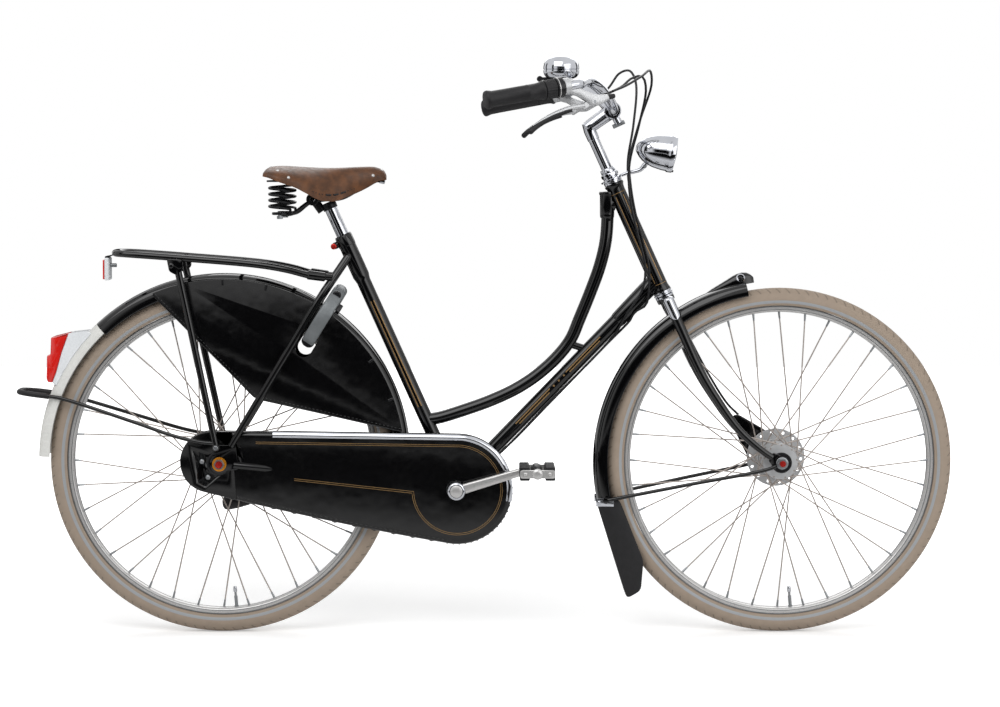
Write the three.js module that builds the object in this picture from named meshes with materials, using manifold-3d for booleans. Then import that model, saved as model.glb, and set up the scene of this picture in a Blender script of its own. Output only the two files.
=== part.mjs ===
// A classic Dutch city bicycle: sweeping top tube, full chaincase, coat guards, carrier and sprung saddle.
// Millimetres and degrees. X points forward, Y to the rider's left, Z up.
// While it is drawn, the origin is on the ground under the rear axle.
import * as THREE from 'three';
import { mergeVertices } from 'three/addons/utils/BufferGeometryUtils.js';
import loadManifold from 'manifold-3d';

const wasm = await loadManifold();
wasm.setup();
const radians = THREE.MathUtils.degToRad;

// Clearances and cutting
const fit = 0.3;
const overrun = 6;
const weldDistance = 0.0001;

// Wheels
const wheelbase = 1138;
const tyreRadius = 353;
const tyreWidth = 42;
const rimRadius = 317;
const rimDepth = 13;
const rimWidth = 26;
const spokeRadius = 1.1;
const spokeDish = 3;
const axleRadius = 5;
const wheelFacets = 48;
const spokeCount = 36;
const spokeLean = 73;
const spokeWeave = 1.5;
const frontHub = { flange: 36, shell: 17, neck: 13, right: -30, left: 20, rightEnd: -46, leftEnd: 27, disc: 5 };
const rearHub = { flange: 45, shell: 31, neck: 22, right: -26, left: 27, rightEnd: -31, leftEnd: 33, disc: 5 };

// Steering
const headAngle = 65.6;
const crownRoom = 52;
const forkLength = tyreRadius + crownRoom;
const forkRake = 75;
const headLength = 241;
const headRadius = 17;
const steererRadius = 12.7;
const headCup = { radius: 20, height: 6 };
const headset = { height: 34, radius: 19 };
const crown = { height: 20, depth: 30, halfWidth: 57 };
const blade = { side: 45, topRadius: 11, tipRadius: 7, tipSide: 57 };
const forkPlate = { thickness: 5, radius: 14 };
const quillRadius = 11;
const quillTop = 362;
const stemReach = 58;
const stemRise = 25;
const stemClamp = { radius: 18, width: 38 };

// Handlebar and its controls
const barRadius = 11.1;
const bar = { back: 256, side: 286, drop: -13, bendBack: 80, bendSide: 227, bendRise: 45 };
const grip = { radius: 17, flare: 19, wall: 5, length: 116, lip: 6 };
const twist = { length: 24, housing: 15, radius: 19 };
const lever = { depth: 14, web: 7, body: 16, pinRadius: 3, eye: 8 };
const bell = { radius: 34, height: 40, back: 95, side: 205, rise: 98 };

// Frame tubes
const bracketAhead = 478.5;
const bracketHeight = 299;
const bracketShell = { radius: 20, halfWidth: 34 };
const spindleRadius = 8.5;
const seatAngle = 65.7;
const seatTubeLength = 565;
const seatTubeRadius = 14.3;
const seatLug = { radius: 17, length: 95 };
const downTubeRadius = 15;
const topTubeRadius = 12.7;
const stayRadius = 8;
const dropout = { side: 62, thickness: 5, radius: 20, rise: 38 };
const seatStay = { below: 45, topSide: 18, kneeAhead: 206, kneeSide: 42.5, kneeRise: 341 };
const caseGap = 2.5;

// Guards
const guardRadius = 380;
const guardHalfWidth = 31;
const guardDrop = 20;
const guardWall = 1.4;
const coatGuard = { side: 31.6, thickness: 1.6, radius: 369 };
const tail = { from: 133, to: 179 };

// Drive
const pitch = 12.7;
const ringTeeth = 38;
const sprocketTeeth = 19;
const chainLine = 45;
const chainWidth = 9;
const chainHeight = 8;
const toothDepth = 3.5;
const crankLength = 168;
const crankAngle = 16.6;
const crankArm = { side: 68, thickness: 13, bossRadius: 18, width: 20, tipWidth: 15 };
const pedal = { width: 70, length: 94, height: 27, side: 88, pinRadius: 5, tube: 11 };
const chainCase = { rear: 63, front: 111.5, outer: 59.5, inner: 32, wall: 1.6, lip: 14, setBack: 19, rise: 2, sag: 6 };

// Saddle
const postRadius = 12.7;
const postShown = 67;
const postHidden = 170;
const postTravel = 46;
const saddle = { length: 244, halfWidth: 102, depth: 72, leather: 4.5 };
const spring = { radius: 21, wire: 2.75, height: 60, side: 65, curls: 4 };

// Luggage carrier, lock and stand
const carrierSize = { front: 226, length: 440, halfWidth: 60, height: 778, drop: 49, bar: 4.5 };
const reflectorSize = { depth: 8, halfWidth: 22, height: 56 };
const railRadius = 7;
const legRadius = 6;
const loopRadius = 4;
const rearLoopSize = { length: 408, rise: 99.5 };
const lock = { mean: 67.5, inner: 55, outer: 78, thickness: 27, gap: 35, bolt: 4.5, lever: 7, bore: 289 };
const stand = { length: 282, radius: 8, foot: 12, side: 58, ahead: 274, height: 287, lugSide: 40 };
const cableRadius = 2.5;

const finishes = {
  paint: { color: 0x0d0c0e, roughness: 0.15, metalness: 0 },
  lacquer: { color: 0x0a090a, roughness: 0.1, metalness: 0 },
  chrome: { color: 0xdcdde0, roughness: 0.08, metalness: 1 },
  aluminium: { color: 0xb9bbbe, roughness: 0.35, metalness: 1 },
  steel: { color: 0x8d8f92, roughness: 0.4, metalness: 1 },
  tyre: { color: 0x9b8b7b, roughness: 0.85, metalness: 0 },
  rubber: { color: 0x191819, roughness: 0.8, metalness: 0 },
  leather: { color: 0x7a4b2c, roughness: 0.5, metalness: 0 },
  whitePlastic: { color: 0xe8e9ea, roughness: 0.35, metalness: 0 },
  redPlastic: { color: 0xc8141c, roughness: 0.2, metalness: 0 },
  glass: { color: 0xdfe6ea, roughness: 0.05, metalness: 0 },
  greyPlastic: { color: 0x8b9194, roughness: 0.4, metalness: 0 },
};

// Points and directions
const at = (x, y, z) => new THREE.Vector3(x, y, z);
const flat = (x, y) => new THREE.Vector2(x, y);
const rearAxle = at(0, 0, tyreRadius);
const frontAxle = at(wheelbase, 0, tyreRadius);
const bracket = at(bracketAhead, 0, bracketHeight);
const steerUp = at(-Math.cos(radians(headAngle)), 0, Math.sin(radians(headAngle)));
const steerAhead = at(Math.sin(radians(headAngle)), 0, Math.cos(radians(headAngle)));
const seatUp = at(-Math.cos(radians(seatAngle)), 0, Math.sin(radians(seatAngle)));
const seatAhead = at(Math.sin(radians(seatAngle)), 0, Math.cos(radians(seatAngle)));
const sideways = at(0, 1, 0);
const leftOf = (point) => at(point.x, -point.y, point.z);

// A point on the steering axis's own grid: up the axis from the axle's foot, ahead of it and to the left.
function onSteering(up, ahead, left = 0) {
  return frontAxle.clone()
    .addScaledVector(steerUp, up)
    .addScaledVector(steerAhead, ahead - forkRake)
    .addScaledVector(sideways, left);
}
// A point on the seat tube's grid, counted from the bottom bracket.
function onSeatTube(up, ahead = 0, left = 0) {
  return bracket.clone()
    .addScaledVector(seatUp, up)
    .addScaledVector(seatAhead, ahead)
    .addScaledVector(sideways, left);
}
// A point round an axle, by distance and by angle above the forward direction.
function round(axle, distance, degrees, left = 0) {
  const turn = radians(degrees);
  return at(axle.x + distance * Math.cos(turn), left, axle.z + distance * Math.sin(turn));
}

// Solids
function welded(geometry) {
  const bare = geometry.clone();
  bare.deleteAttribute('normal');
  bare.deleteAttribute('uv');
  const shell = mergeVertices(bare, weldDistance);
  const corners = shell.index.array;
  const faces = [];
  for (let i = 0; i < corners.length; i += 3) {
    const [a, b, c] = [corners[i], corners[i + 1], corners[i + 2]];
    if (a !== b && b !== c && c !== a) faces.push(a, b, c);
  }
  shell.setIndex(faces);
  return facingOut(shell);
}
function facingOut(shell) {
  const corners = shell.index.array;
  const place = shell.attributes.position;
  const [p, q, r] = [at(0, 0, 0), at(0, 0, 0), at(0, 0, 0)];
  let volume = 0;
  for (let i = 0; i < corners.length; i += 3) {
    p.fromBufferAttribute(place, corners[i]);
    q.fromBufferAttribute(place, corners[i + 1]);
    r.fromBufferAttribute(place, corners[i + 2]);
    volume += p.dot(q.cross(r));
  }
  return volume < 0 ? reversed(shell) : shell;
}
function reversed(shell) {
  const corners = Array.from(shell.index.array);
  for (let i = 0; i < corners.length; i += 3) {
    [corners[i + 1], corners[i + 2]] = [corners[i + 2], corners[i + 1]];
  }
  shell.setIndex(corners);
  return shell;
}
function solid(geometry) {
  const shell = welded(geometry);
  return new wasm.Manifold(new wasm.Mesh({
    numProp: 3,
    vertProperties: new Float32Array(shell.attributes.position.array),
    triVerts: new Uint32Array(shell.index.array),
  }));
}
function geometryOf(body) {
  const mesh = body.getMesh();
  const geometry = new THREE.BufferGeometry();
  geometry.setAttribute('position', new THREE.BufferAttribute(mesh.vertProperties, 3));
  geometry.setIndex(new THREE.BufferAttribute(mesh.triVerts, 1));
  return geometry;
}
const joined = (...pieces) => geometryOf(pieces.map(solid).reduce((whole, piece) => whole.add(piece)));
function cut(piece, ...tools) {
  return geometryOf(tools.map(solid).reduce((whole, tool) => whole.subtract(tool), solid(piece)));
}
function mirrored(geometry) {
  return reversed(welded(geometry).applyMatrix4(new THREE.Matrix4().makeScale(1, -1, 1)));
}
const bothSides = (geometry) => [geometry, mirrored(geometry)];

// Basic shapes
function rod(from, to, radius, endRadius = radius, sides = 10) {
  const along = to.clone().sub(from);
  const turn = new THREE.Quaternion().setFromUnitVectors(sideways, along.clone().normalize());
  return new THREE.CylinderGeometry(endRadius, radius, along.length(), sides)
    .applyQuaternion(turn)
    .translate(...from.clone().addScaledVector(along, 1 / 2).toArray());
}
function crossRod(centre, nearSide, farSide, radius, sides = 12) {
  return rod(at(centre.x, nearSide, centre.z), at(centre.x, farSide, centre.z), radius, radius, sides);
}
function polygon(radius, sides) {
  const corners = [];
  for (let i = 0; i < sides; i += 1) {
    const turn = 2 * Math.PI * (i + 1 / 2) / sides;
    corners.push(flat(radius * Math.cos(turn), radius * Math.sin(turn)));
  }
  return new THREE.Shape(corners);
}
function tube(curve, radius, sides, steps) {
  return new THREE.ExtrudeGeometry(polygon(radius, sides), { extrudePath: curve, steps, bevelEnabled: false });
}
const smooth = (points) => new THREE.CatmullRomCurve3(points, false, 'centripetal');
function boxOver(low, high) {
  const size = high.clone().sub(low);
  return new THREE.BoxGeometry(size.x, size.y, size.z)
    .translate(...low.clone().add(high).multiplyScalar(1 / 2).toArray());
}
// A plate whose outline is drawn in X and Z.
function sidePlate(outline, lowSide, highSide, curveSegments = 8) {
  return new THREE.ExtrudeGeometry(outline, { depth: highSide - lowSide, bevelEnabled: false, curveSegments })
    .rotateX(Math.PI / 2)
    .translate(0, highSide, 0);
}
const outlineOf = (points) => new THREE.Shape(points.map((point) => flat(point.x, point.z)));
// A body of revolution about the line from one point towards another; the profile lists radius and distance.
function turned(profile, from, towards, sides = 16) {
  const turn = new THREE.Quaternion().setFromUnitVectors(sideways, towards.clone().sub(from).normalize());
  return new THREE.LatheGeometry(profile.map(([radius, along]) => flat(radius, along)), sides)
    .applyQuaternion(turn)
    .translate(...from.toArray());
}
// A skin over rings of equal counts, closed by a face at each end.
function skinned(rings, caps = null) {
  const count = rings[0].length;
  const places = rings.flat().flatMap((point) => point.toArray());
  const faces = [];
  for (let ring = 0; ring < rings.length - 1; ring += 1) {
    for (let i = 0; i < count; i += 1) {
      const next = (i + 1) % count;
      const [a, b] = [ring * count + i, ring * count + next];
      faces.push(a, b, b + count, a, b + count, a + count);
    }
  }
  const fan = caps ?? Array.from({ length: count - 2 }, (_, i) => [0, i + 1, i + 2]);
  const last = (rings.length - 1) * count;
  fan.forEach(([a, b, c]) => faces.push(a, c, b, last + a, last + b, last + c));
  const geometry = new THREE.BufferGeometry();
  geometry.setAttribute('position', new THREE.Float32BufferAttribute(places, 3));
  geometry.setIndex(faces);
  return geometry;
}
function ringAbout(centre, along, reference, radius, sides, squash = 1) {
  const across = reference.clone().addScaledVector(along, -reference.dot(along)).normalize();
  const other = along.clone().cross(across);
  return Array.from({ length: sides }, (_, i) => {
    const turn = 2 * Math.PI * (i + 1 / 2) / sides;
    return centre.clone()
      .addScaledVector(across, radius * squash * Math.cos(turn))
      .addScaledVector(other, radius * Math.sin(turn));
  });
}
// A tube that changes its radius along a smooth curve.
function tapered(points, radii, sides, steps, squash = 1) {
  const curve = smooth(points);
  const rings = Array.from({ length: steps + 1 }, (_, i) => {
    const share = i / steps;
    const radius = THREE.MathUtils.lerp(radii[0], radii[1], share);
    return ringAbout(curve.getPointAt(share), curve.getTangentAt(share), sideways, radius, sides, squash);
  });
  return skinned(rings);
}
// A section swept round an axle; its first coordinate runs to the right and its second away from the axle.
class GuardArc extends THREE.Curve {
  constructor(axle, radius, from, to) {
    super();
    Object.assign(this, { axle, radius, from, to });
  }
  getPoint(share) {
    return round(this.axle, this.radius, THREE.MathUtils.lerp(this.from, this.to, share));
  }
}
function sweptRound(section, axle, radius, from, to, steps) {
  return new THREE.ExtrudeGeometry(new THREE.Shape(section), {
    extrudePath: new GuardArc(axle, radius, from, to), steps, bevelEnabled: false,
  });
}
function guardSection(halfWidth, drop, wall) {
  const outer = [[1, -1], [0.9, -0.36], [0.4, -0.03], [-0.4, -0.03], [-0.9, -0.36], [-1, -1]];
  const inner = [...outer].reverse();
  const innerWidth = halfWidth - wall;
  return [
    ...outer.map(([side, down]) => flat(side * halfWidth, down * drop)),
    ...inner.map(([side, down]) => flat(side * innerWidth, down === -1 ? -drop : down * drop - wall)),
  ];
}

const bike = new THREE.Group();
function add(name, geometry, finish, parent = bike) {
  const mesh = new THREE.Mesh(welded(geometry), new THREE.MeshStandardMaterial(finishes[finish]));
  mesh.name = name;
  parent.add(mesh);
  return mesh;
}

// Wheels. Flat facets face the ground, so radii are those of the flats.
const facetReach = 1 / Math.cos(Math.PI / wheelFacets);
const hubFacets = 18;
const hubReach = 1 / Math.cos(Math.PI / hubFacets);
const rimInner = rimRadius - rimDepth;
function hoop(profile, facets = wheelFacets) {
  const reach = 1 / Math.cos(Math.PI / facets);
  const points = profile.map(([radius, side]) => flat(radius * reach, side));
  return new THREE.LatheGeometry([...points, points[0].clone()], facets, Math.PI / facets);
}
function tyre() {
  const sides = 5;
  const section = tyreWidth / 2;
  const centre = tyreRadius - section;
  const seat = rimRadius + fit;
  const turn = Math.acos((seat - centre) / section);
  const reach = 1 / Math.cos(turn / sides);
  const profile = Array.from({ length: sides + 1 }, (_, i) => {
    const angle = turn * (2 * i / sides - 1);
    return [Math.max(seat, centre + section * reach * Math.cos(angle)), section * Math.sin(angle)];
  });
  return hoop(profile);
}
function rim() {
  const half = rimWidth / 2;
  const waist = half * 0.45;
  return hoop([[rimRadius, -half], [rimRadius, half], [rimInner, waist], [rimInner, -waist]]);
}
function hubShell(hub) {
  const half = hub.disc / 2;
  const bore = (axleRadius + fit) * hubReach;
  const profile = [
    [bore, hub.rightEnd], [hub.neck, hub.rightEnd], [hub.neck, hub.right - half], [hub.flange, hub.right - half],
    [hub.flange, hub.right + half], [hub.shell, hub.right + half], [hub.shell, hub.left - half],
    [hub.flange, hub.left - half], [hub.flange, hub.left + half], [hub.neck, hub.left + half],
    [hub.neck, hub.leftEnd], [bore, hub.leftEnd],
  ];
  return hoop(profile, hubFacets);
}
function spokedHub(hub) {
  const centre = at(0, 0, 0);
  const step = 360 / spokeCount;
  const spokes = Array.from({ length: spokeCount }, (_, i) => {
    const side = i % 2 ? hub.left : hub.right;
    const family = Math.floor(i / 2) % 2 ? 1 : -1;
    const rimAngle = i * step;
    const root = round(centre, hub.flange - hub.disc / 2, rimAngle + family * spokeLean, side + family * spokeWeave);
    const tip = round(centre, rimInner - fit, rimAngle, Math.sign(side) * spokeDish + family * spokeWeave);
    return rod(root, tip, spokeRadius, spokeRadius, 3);
  });
  return joined(hubShell(hub), ...spokes);
}
function addWheel(name, hub, axle) {
  const wheel = new THREE.Group();
  wheel.position.copy(axle);
  add(`${name}_tyre`, tyre(), 'tyre', wheel);
  add(`${name}_rim`, rim(), 'aluminium', wheel);
  add(`${name}_hub_and_spokes`, spokedHub(hub), 'aluminium', wheel);
  bike.add(wheel);
}
addWheel('front', frontHub, frontAxle);
addWheel('rear', rearHub, rearAxle);

// Head tube with its bearing cups
const headBottom = forkLength + headCup.height;
const headTop = headBottom + headLength;
const steererBore = steererRadius + 2 * fit;
function headOutside(grow = 0) {
  const cup = headCup.radius + grow;
  return joined(
    rod(onSteering(headBottom, 0), onSteering(headTop, 0), headRadius + grow, headRadius + grow, 12),
    rod(onSteering(headBottom - headCup.height, 0), onSteering(headBottom + headCup.height, 0), cup, cup, 12),
    rod(onSteering(headTop - headCup.height, 0), onSteering(headTop + headCup.height, 0), cup, cup, 12),
  );
}
function headTube() {
  const cup = headCup.height;
  const profile = [
    [steererBore, -cup + fit], [headCup.radius - cup / 2, -cup + fit], [headCup.radius, -cup / 2],
    [headCup.radius, 0], [headRadius, cup], [headRadius, headLength - cup], [headCup.radius, headLength],
    [headCup.radius, headLength + cup / 2], [steererBore, headLength + cup / 2], [steererBore, -cup + fit],
  ];
  return turned(profile, onSteering(headBottom, 0), onSteering(headTop, 0), 12);
}
add('head_tube', headTube(), 'paint');

// Seat tube with its lug, binder and bottom bracket shell
const seatTop = onSeatTube(seatTubeLength);
function seatOutside(grow = 0) {
  const lugFoot = onSeatTube(seatTubeLength - seatLug.length);
  return joined(
    rod(bracket, seatTop, seatTubeRadius + grow, seatTubeRadius + grow, 12),
    rod(lugFoot, seatTop, seatLug.radius + grow, seatLug.radius + grow, 12),
    crossRod(bracket, -bracketShell.halfWidth, bracketShell.halfWidth, bracketShell.radius + grow),
  );
}
function seatTube() {
  const binder = { up: seatTubeLength - 14, behind: -26, ear: 7, bolt: 6, half: 12 };
  const ear = rod(onSeatTube(binder.up, 0), onSeatTube(binder.up, binder.behind), binder.ear, binder.ear, 8);
  const bolt = rod(
    onSeatTube(binder.up, binder.behind, -binder.half), onSeatTube(binder.up, binder.behind, binder.half),
    binder.bolt, binder.bolt, 8,
  );
  const bore = rod(
    onSeatTube(seatTubeLength - postHidden - postTravel), onSeatTube(seatTubeLength + overrun),
    (postRadius + fit) / Math.cos(Math.PI / 12), (postRadius + fit) / Math.cos(Math.PI / 12), 12,
  );
  const spindle = crossRod(
    bracket, -bracketShell.halfWidth - overrun, bracketShell.halfWidth + overrun,
    (spindleRadius + fit) / Math.cos(Math.PI / 16),
  );
  return cut(joined(seatOutside(), ear, bolt), bore, spindle);
}
add('seat_tube', seatTube(), 'paint');

// Main tubes
const downTop = onSteering(headBottom + 29, 0);
function downTubeOutside(grow = 0) {
  return rod(bracket, downTop, downTubeRadius + grow, downTubeRadius + grow, 12);
}
const topTubeStart = onSteering(headTop - 26, 0);
const topTubeEnd = onSeatTube(150, 0);
// Places on the top tube, as shares of the run from its end to its start, forward and up.
const topTubeShares = [
  [0.065, 0.008], [0.214, 0.048], [0.341, 0.088], [0.473, 0.142], [0.586, 0.208], [0.682, 0.285], [0.749, 0.361],
  [0.793, 0.45], [0.848, 0.567], [0.897, 0.684], [0.928, 0.795], [0.938, 0.905], [0.936, 1.018],
];
function topTubeCurve() {
  const run = topTubeStart.clone().sub(topTubeEnd);
  const between = topTubeShares.map(([ahead, up]) => at(
    topTubeEnd.x + run.x * ahead, 0, topTubeEnd.z + run.z * up,
  ));
  return smooth([topTubeEnd, ...between]);
}
function topTubeOutside(grow = 0) {
  return tube(topTubeCurve(), topTubeRadius + grow, 8, 22);
}
function strut() {
  const share = 0.66;
  const low = bracket.clone().lerp(downTop, share);
  const curve = topTubeCurve();
  const high = curve.getPointAt(0.5);
  return rod(low, high, downTubeRadius / 2, downTubeRadius / 2, 8);
}
function topTube() {
  const high = topTubeCurve().getPointAt(1);
  const sleeve = rod(high.clone().setZ(high.z - 34), high, topTubeRadius + 2, topTubeRadius + 2, 10);
  const web = rod(high.clone().setZ(high.z - 22), onSteering(headTop - 46, 0), topTubeRadius, topTubeRadius, 8);
  return cut(joined(topTubeOutside(), sleeve, web), headOutside(fit), seatOutside(fit));
}
add('top_tube', topTube(), 'paint');
add('down_tube', cut(
  joined(downTubeOutside(), strut()), headOutside(fit), seatOutside(fit), topTubeOutside(fit),
), 'paint');

const rearGuardAxle = at(4, 0, tyreRadius + 3);
const bridgeRadius = 6;
// Chainstays, with bridge, dropouts and the lug that carries the stand
const dropoutOuter = dropout.side + dropout.thickness;
const dropoutTop = tyreRadius + dropout.rise;
// Places on a stay: back from the bracket and up to the axle, and out to the dropout, as shares of those runs.
const chainstayShares = [
  [0.025, 0.04, 0.435], [0.164, 0.13, 0.484], [0.262, 0.24, 0.5], [0.4775, 0.463, 0.597], [0.749, 0.74, 0.806],
  [0.87, 0.87, 0.968], [0.9415, 0.944, 1.04],
];
function onChainstay([back, up, side]) {
  return at(bracketAhead * (1 - back), dropout.side * side, THREE.MathUtils.lerp(bracketHeight, tyreRadius, up));
}
function chainstay() {
  return tapered(chainstayShares.map(onChainstay), [stayRadius + 1, stayRadius - 1], 7, 7);
}
function dropoutPlate() {
  const outline = new THREE.Shape();
  outline.absarc(0, tyreRadius, dropout.radius, Math.PI * 0.75, Math.PI * 1.75, false);
  outline.lineTo(dropout.radius * 1.9, tyreRadius - dropout.radius * 0.6);
  outline.lineTo(dropout.radius * 1.65, dropoutTop);
  outline.lineTo(-dropout.radius * 0.7, dropoutTop);
  outline.closePath();
  return sidePlate(outline, dropout.side, dropoutOuter, 4);
}
const standPivot = at(stand.ahead, stand.side, stand.height);
const standAxis = at(0.274, -1, 0).normalize();
const standFace = stand.foot / 2;
function standLug() {
  const outer = standPivot.clone().addScaledVector(standAxis, standFace + fit);
  const inner = standPivot.clone().addScaledVector(standAxis, stand.side - stand.lugSide);
  const post = stand.radius - 1;
  return joined(
    rod(outer, inner, stand.foot, stand.foot, 12),
    rod(at(stand.ahead, stand.lugSide + 1.5, stand.height), at(stand.ahead, stand.lugSide - 4, bracketHeight + 20),
      post, post, 8),
  );
}
function chainstays() {
  const bridgeCentre = round(rearGuardAxle, guardRadius + bridgeRadius + fit, -7);
  const bridge = crossRod(bridgeCentre, -30, 30, bridgeRadius, 8);
  const stays = joined(...bothSides(chainstay()), ...bothSides(dropoutPlate()), bridge, standLug());
  const axle = crossRod(rearAxle, -dropoutOuter - overrun, dropoutOuter + overrun, (axleRadius + fit) * hubReach, 12);
  return cut(stays, axle, seatOutside(fit));
}
const chainstaysGeometry = chainstays();
add('chainstays', chainstaysGeometry, 'paint');

// Seat stays with their bridge
function seatStayPath() {
  return [
    onSeatTube(seatTubeLength - seatStay.below, -stayRadius, seatStay.topSide),
    at(seatStay.kneeAhead, seatStay.kneeSide, tyreRadius + seatStay.kneeRise),
    at(dropout.radius * 1.1, dropoutOuter, dropoutTop - dropout.thickness / 2),
  ];
}
function seatStays(grow = 0) {
  const [top, mid, foot] = seatStayPath();
  const high = mid;
  const radius = stayRadius - 1 + grow;
  const parts = [rod(top, mid, radius, radius, 8), rod(mid, foot, radius, radius, 8)];
  const side = joined(...parts);
  const bridgeCentre = round(rearGuardAxle, guardRadius + bridgeRadius + fit, 59);
  const bridge = crossRod(bridgeCentre, -high.y, high.y, bridgeRadius + grow, 8);
  const below = boxOver(
    at(-dropout.radius, dropout.side - 2 * overrun, dropoutTop - dropout.radius),
    at(3 * dropout.radius, dropout.side + 4 * overrun, dropoutTop + fit - grow),
  );
  return joined(...bothSides(cut(side, below)), bridge);
}
add('seatstays', cut(seatStays(), seatOutside(fit)), 'paint');

// Drive: chainring and cranks, chain and sprocket
const ringRadius = pitch * ringTeeth / (2 * Math.PI);
const sprocketRadius = pitch * sprocketTeeth / (2 * Math.PI);
function toothed(radius, teeth, axle, thickness) {
  const corners = [];
  for (let i = 0; i < 2 * teeth; i += 1) {
    const reach = i % 2 ? radius : radius - toothDepth;
    const turn = Math.PI * i / teeth;
    corners.push(flat(axle.x + reach * Math.cos(turn), axle.z + reach * Math.sin(turn)));
  }
  return sidePlate(new THREE.Shape(corners), -chainLine - thickness / 2, -chainLine + thickness / 2);
}
function beltOutline(rear, rearRadius, front, frontRadius, sag = 0) {
  const span = flat(front.x - rear.x, front.z - rear.z);
  const heading = span.angle();
  const lean = Math.acos((rearRadius - frontRadius) / span.length());
  const outline = new THREE.Shape();
  outline.absarc(rear.x, rear.z, rearRadius, heading + lean, heading - lean + 2 * Math.PI, false);
  if (sag) {
    const low = (front.z + rear.z - frontRadius - rearRadius) / 2;
    const turn = heading - lean;
    outline.quadraticCurveTo((rear.x + front.x) / 2, low - 2 * sag, front.x + frontRadius * Math.cos(turn),
      front.z + frontRadius * Math.sin(turn));
  }
  outline.absarc(front.x, front.z, frontRadius, heading - lean, heading + lean, false);
  return outline;
}
function chain() {
  const [low, high] = [-chainLine - chainWidth / 2, -chainLine + chainWidth / 2];
  const inside = fit * 2;
  const outer = beltOutline(rearAxle, sprocketRadius + chainHeight, bracket, ringRadius + chainHeight);
  const hollow = beltOutline(rearAxle, sprocketRadius + inside, bracket, ringRadius + inside);
  return cut(sidePlate(outer, low, high, 10), sidePlate(hollow, low - overrun, high + overrun, 10));
}
add('chain', chain(), 'steel');
function sprocket() {
  const hub = { radius: 17, inner: rearHub.rightEnd - fit, outer: -54 };
  const boss = crossRod(rearAxle, hub.outer, hub.inner, hub.radius);
  const bore = crossRod(rearAxle, hub.outer - overrun, hub.inner + overrun, (axleRadius + fit) * hubReach, 12);
  return cut(joined(toothed(sprocketRadius, sprocketTeeth, rearAxle, 2.4), boss), bore);
}
add('rear_sprocket', sprocket(), 'steel');

// Each crank is drawn about the bottom bracket, pointing forward, and its group turns it.
const origin = at(0, 0, 0);
const pedalOuter = pedal.side + pedal.length;
function crankArmShape() {
  const half = crankArm.width / 2;
  const tipHalf = crankArm.tipWidth / 2;
  const outline = new THREE.Shape();
  outline.moveTo(0, -half);
  outline.lineTo(crankLength, -tipHalf);
  outline.absarc(crankLength, 0, tipHalf, -Math.PI / 2, Math.PI / 2, false);
  outline.lineTo(0, half);
  return outline;
}
function crankArmSolid() {
  const outer = crankArm.side + crankArm.thickness;
  const arm = sidePlate(crankArmShape(), crankArm.side, outer, 6);
  const boss = crossRod(origin, crankArm.side - 4, outer + 4, crankArm.bossRadius);
  const pin = crossRod(at(crankLength, 0, 0), outer - overrun, pedalOuter - 4, pedal.pinRadius, 10);
  return joined(arm, boss, pin);
}
function rightCrank() {
  const ring = toothed(ringRadius, ringTeeth, origin, 2.4);
  const web = crossRod(origin, -crankArm.side, -chainLine + 1.2, crankArm.bossRadius);
  const bore = crossRod(origin, -crankArm.side - 4, -chainLine + overrun, (spindleRadius + fit) * hubReach, 12);
  const windows = Array.from({ length: 5 }, (_, i) => {
    const centre = round(origin, ringRadius * 0.58, 360 * i / 5);
    return crossRod(centre, -chainLine - overrun, -chainLine + overrun, ringRadius * 0.22, 6);
  });
  return cut(joined(cut(ring, ...windows), web, mirrored(crankArmSolid())), bore);
}
function leftCrank() {
  const spindle = crossRod(origin, -crankArm.side - 3, crankArm.side, spindleRadius, 12);
  return joined(crankArmSolid(), spindle);
}
const crankset = new THREE.Group();
crankset.position.copy(bracket);
crankset.rotation.y = -radians(crankAngle);
const leftTurn = new THREE.Group();
leftTurn.rotation.y = Math.PI;
crankset.add(leftTurn);
bike.add(crankset);
add('right_crank', rightCrank(), 'aluminium', crankset);
add('left_crank', leftCrank(), 'aluminium', leftTurn);

// Pedals lie level on their pins
function pedalBody() {
  const [low, high] = [pedal.side, pedalOuter];
  const half = pedal.height / 2;
  const gap = pedal.tube + 4;
  const block = boxOver(at(gap, low + 5, -half), at(pedal.width / 2, high - 6, half));
  const otherBlock = boxOver(at(-pedal.width / 2, low + 5, -half), at(-gap, high - 6, half));
  const plateHalf = half * 0.62;
  const innerPlate = boxOver(at(-pedal.width / 2, low, -plateHalf), at(pedal.width / 2, low + 6, plateHalf));
  const outerPlate = boxOver(at(-pedal.width / 2, high - 8, -plateHalf), at(pedal.width / 2, high - 5, plateHalf));
  const tubeBody = crossRod(origin, low + 2, high - 2, pedal.tube, 10);
  const bore = crossRod(origin, low - overrun, high - 3, (pedal.pinRadius + fit) * hubReach, 10);
  return cut(joined(block, otherBlock, innerPlate, outerPlate, tubeBody), bore);
}
const pedalReach = round(bracket, crankLength, crankAngle);
const otherReach = round(bracket, crankLength, crankAngle + 180);
add('left_pedal', pedalBody(), 'rubber').position.copy(otherReach);
add('right_pedal', mirrored(pedalBody()), 'rubber').position.copy(pedalReach);

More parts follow.
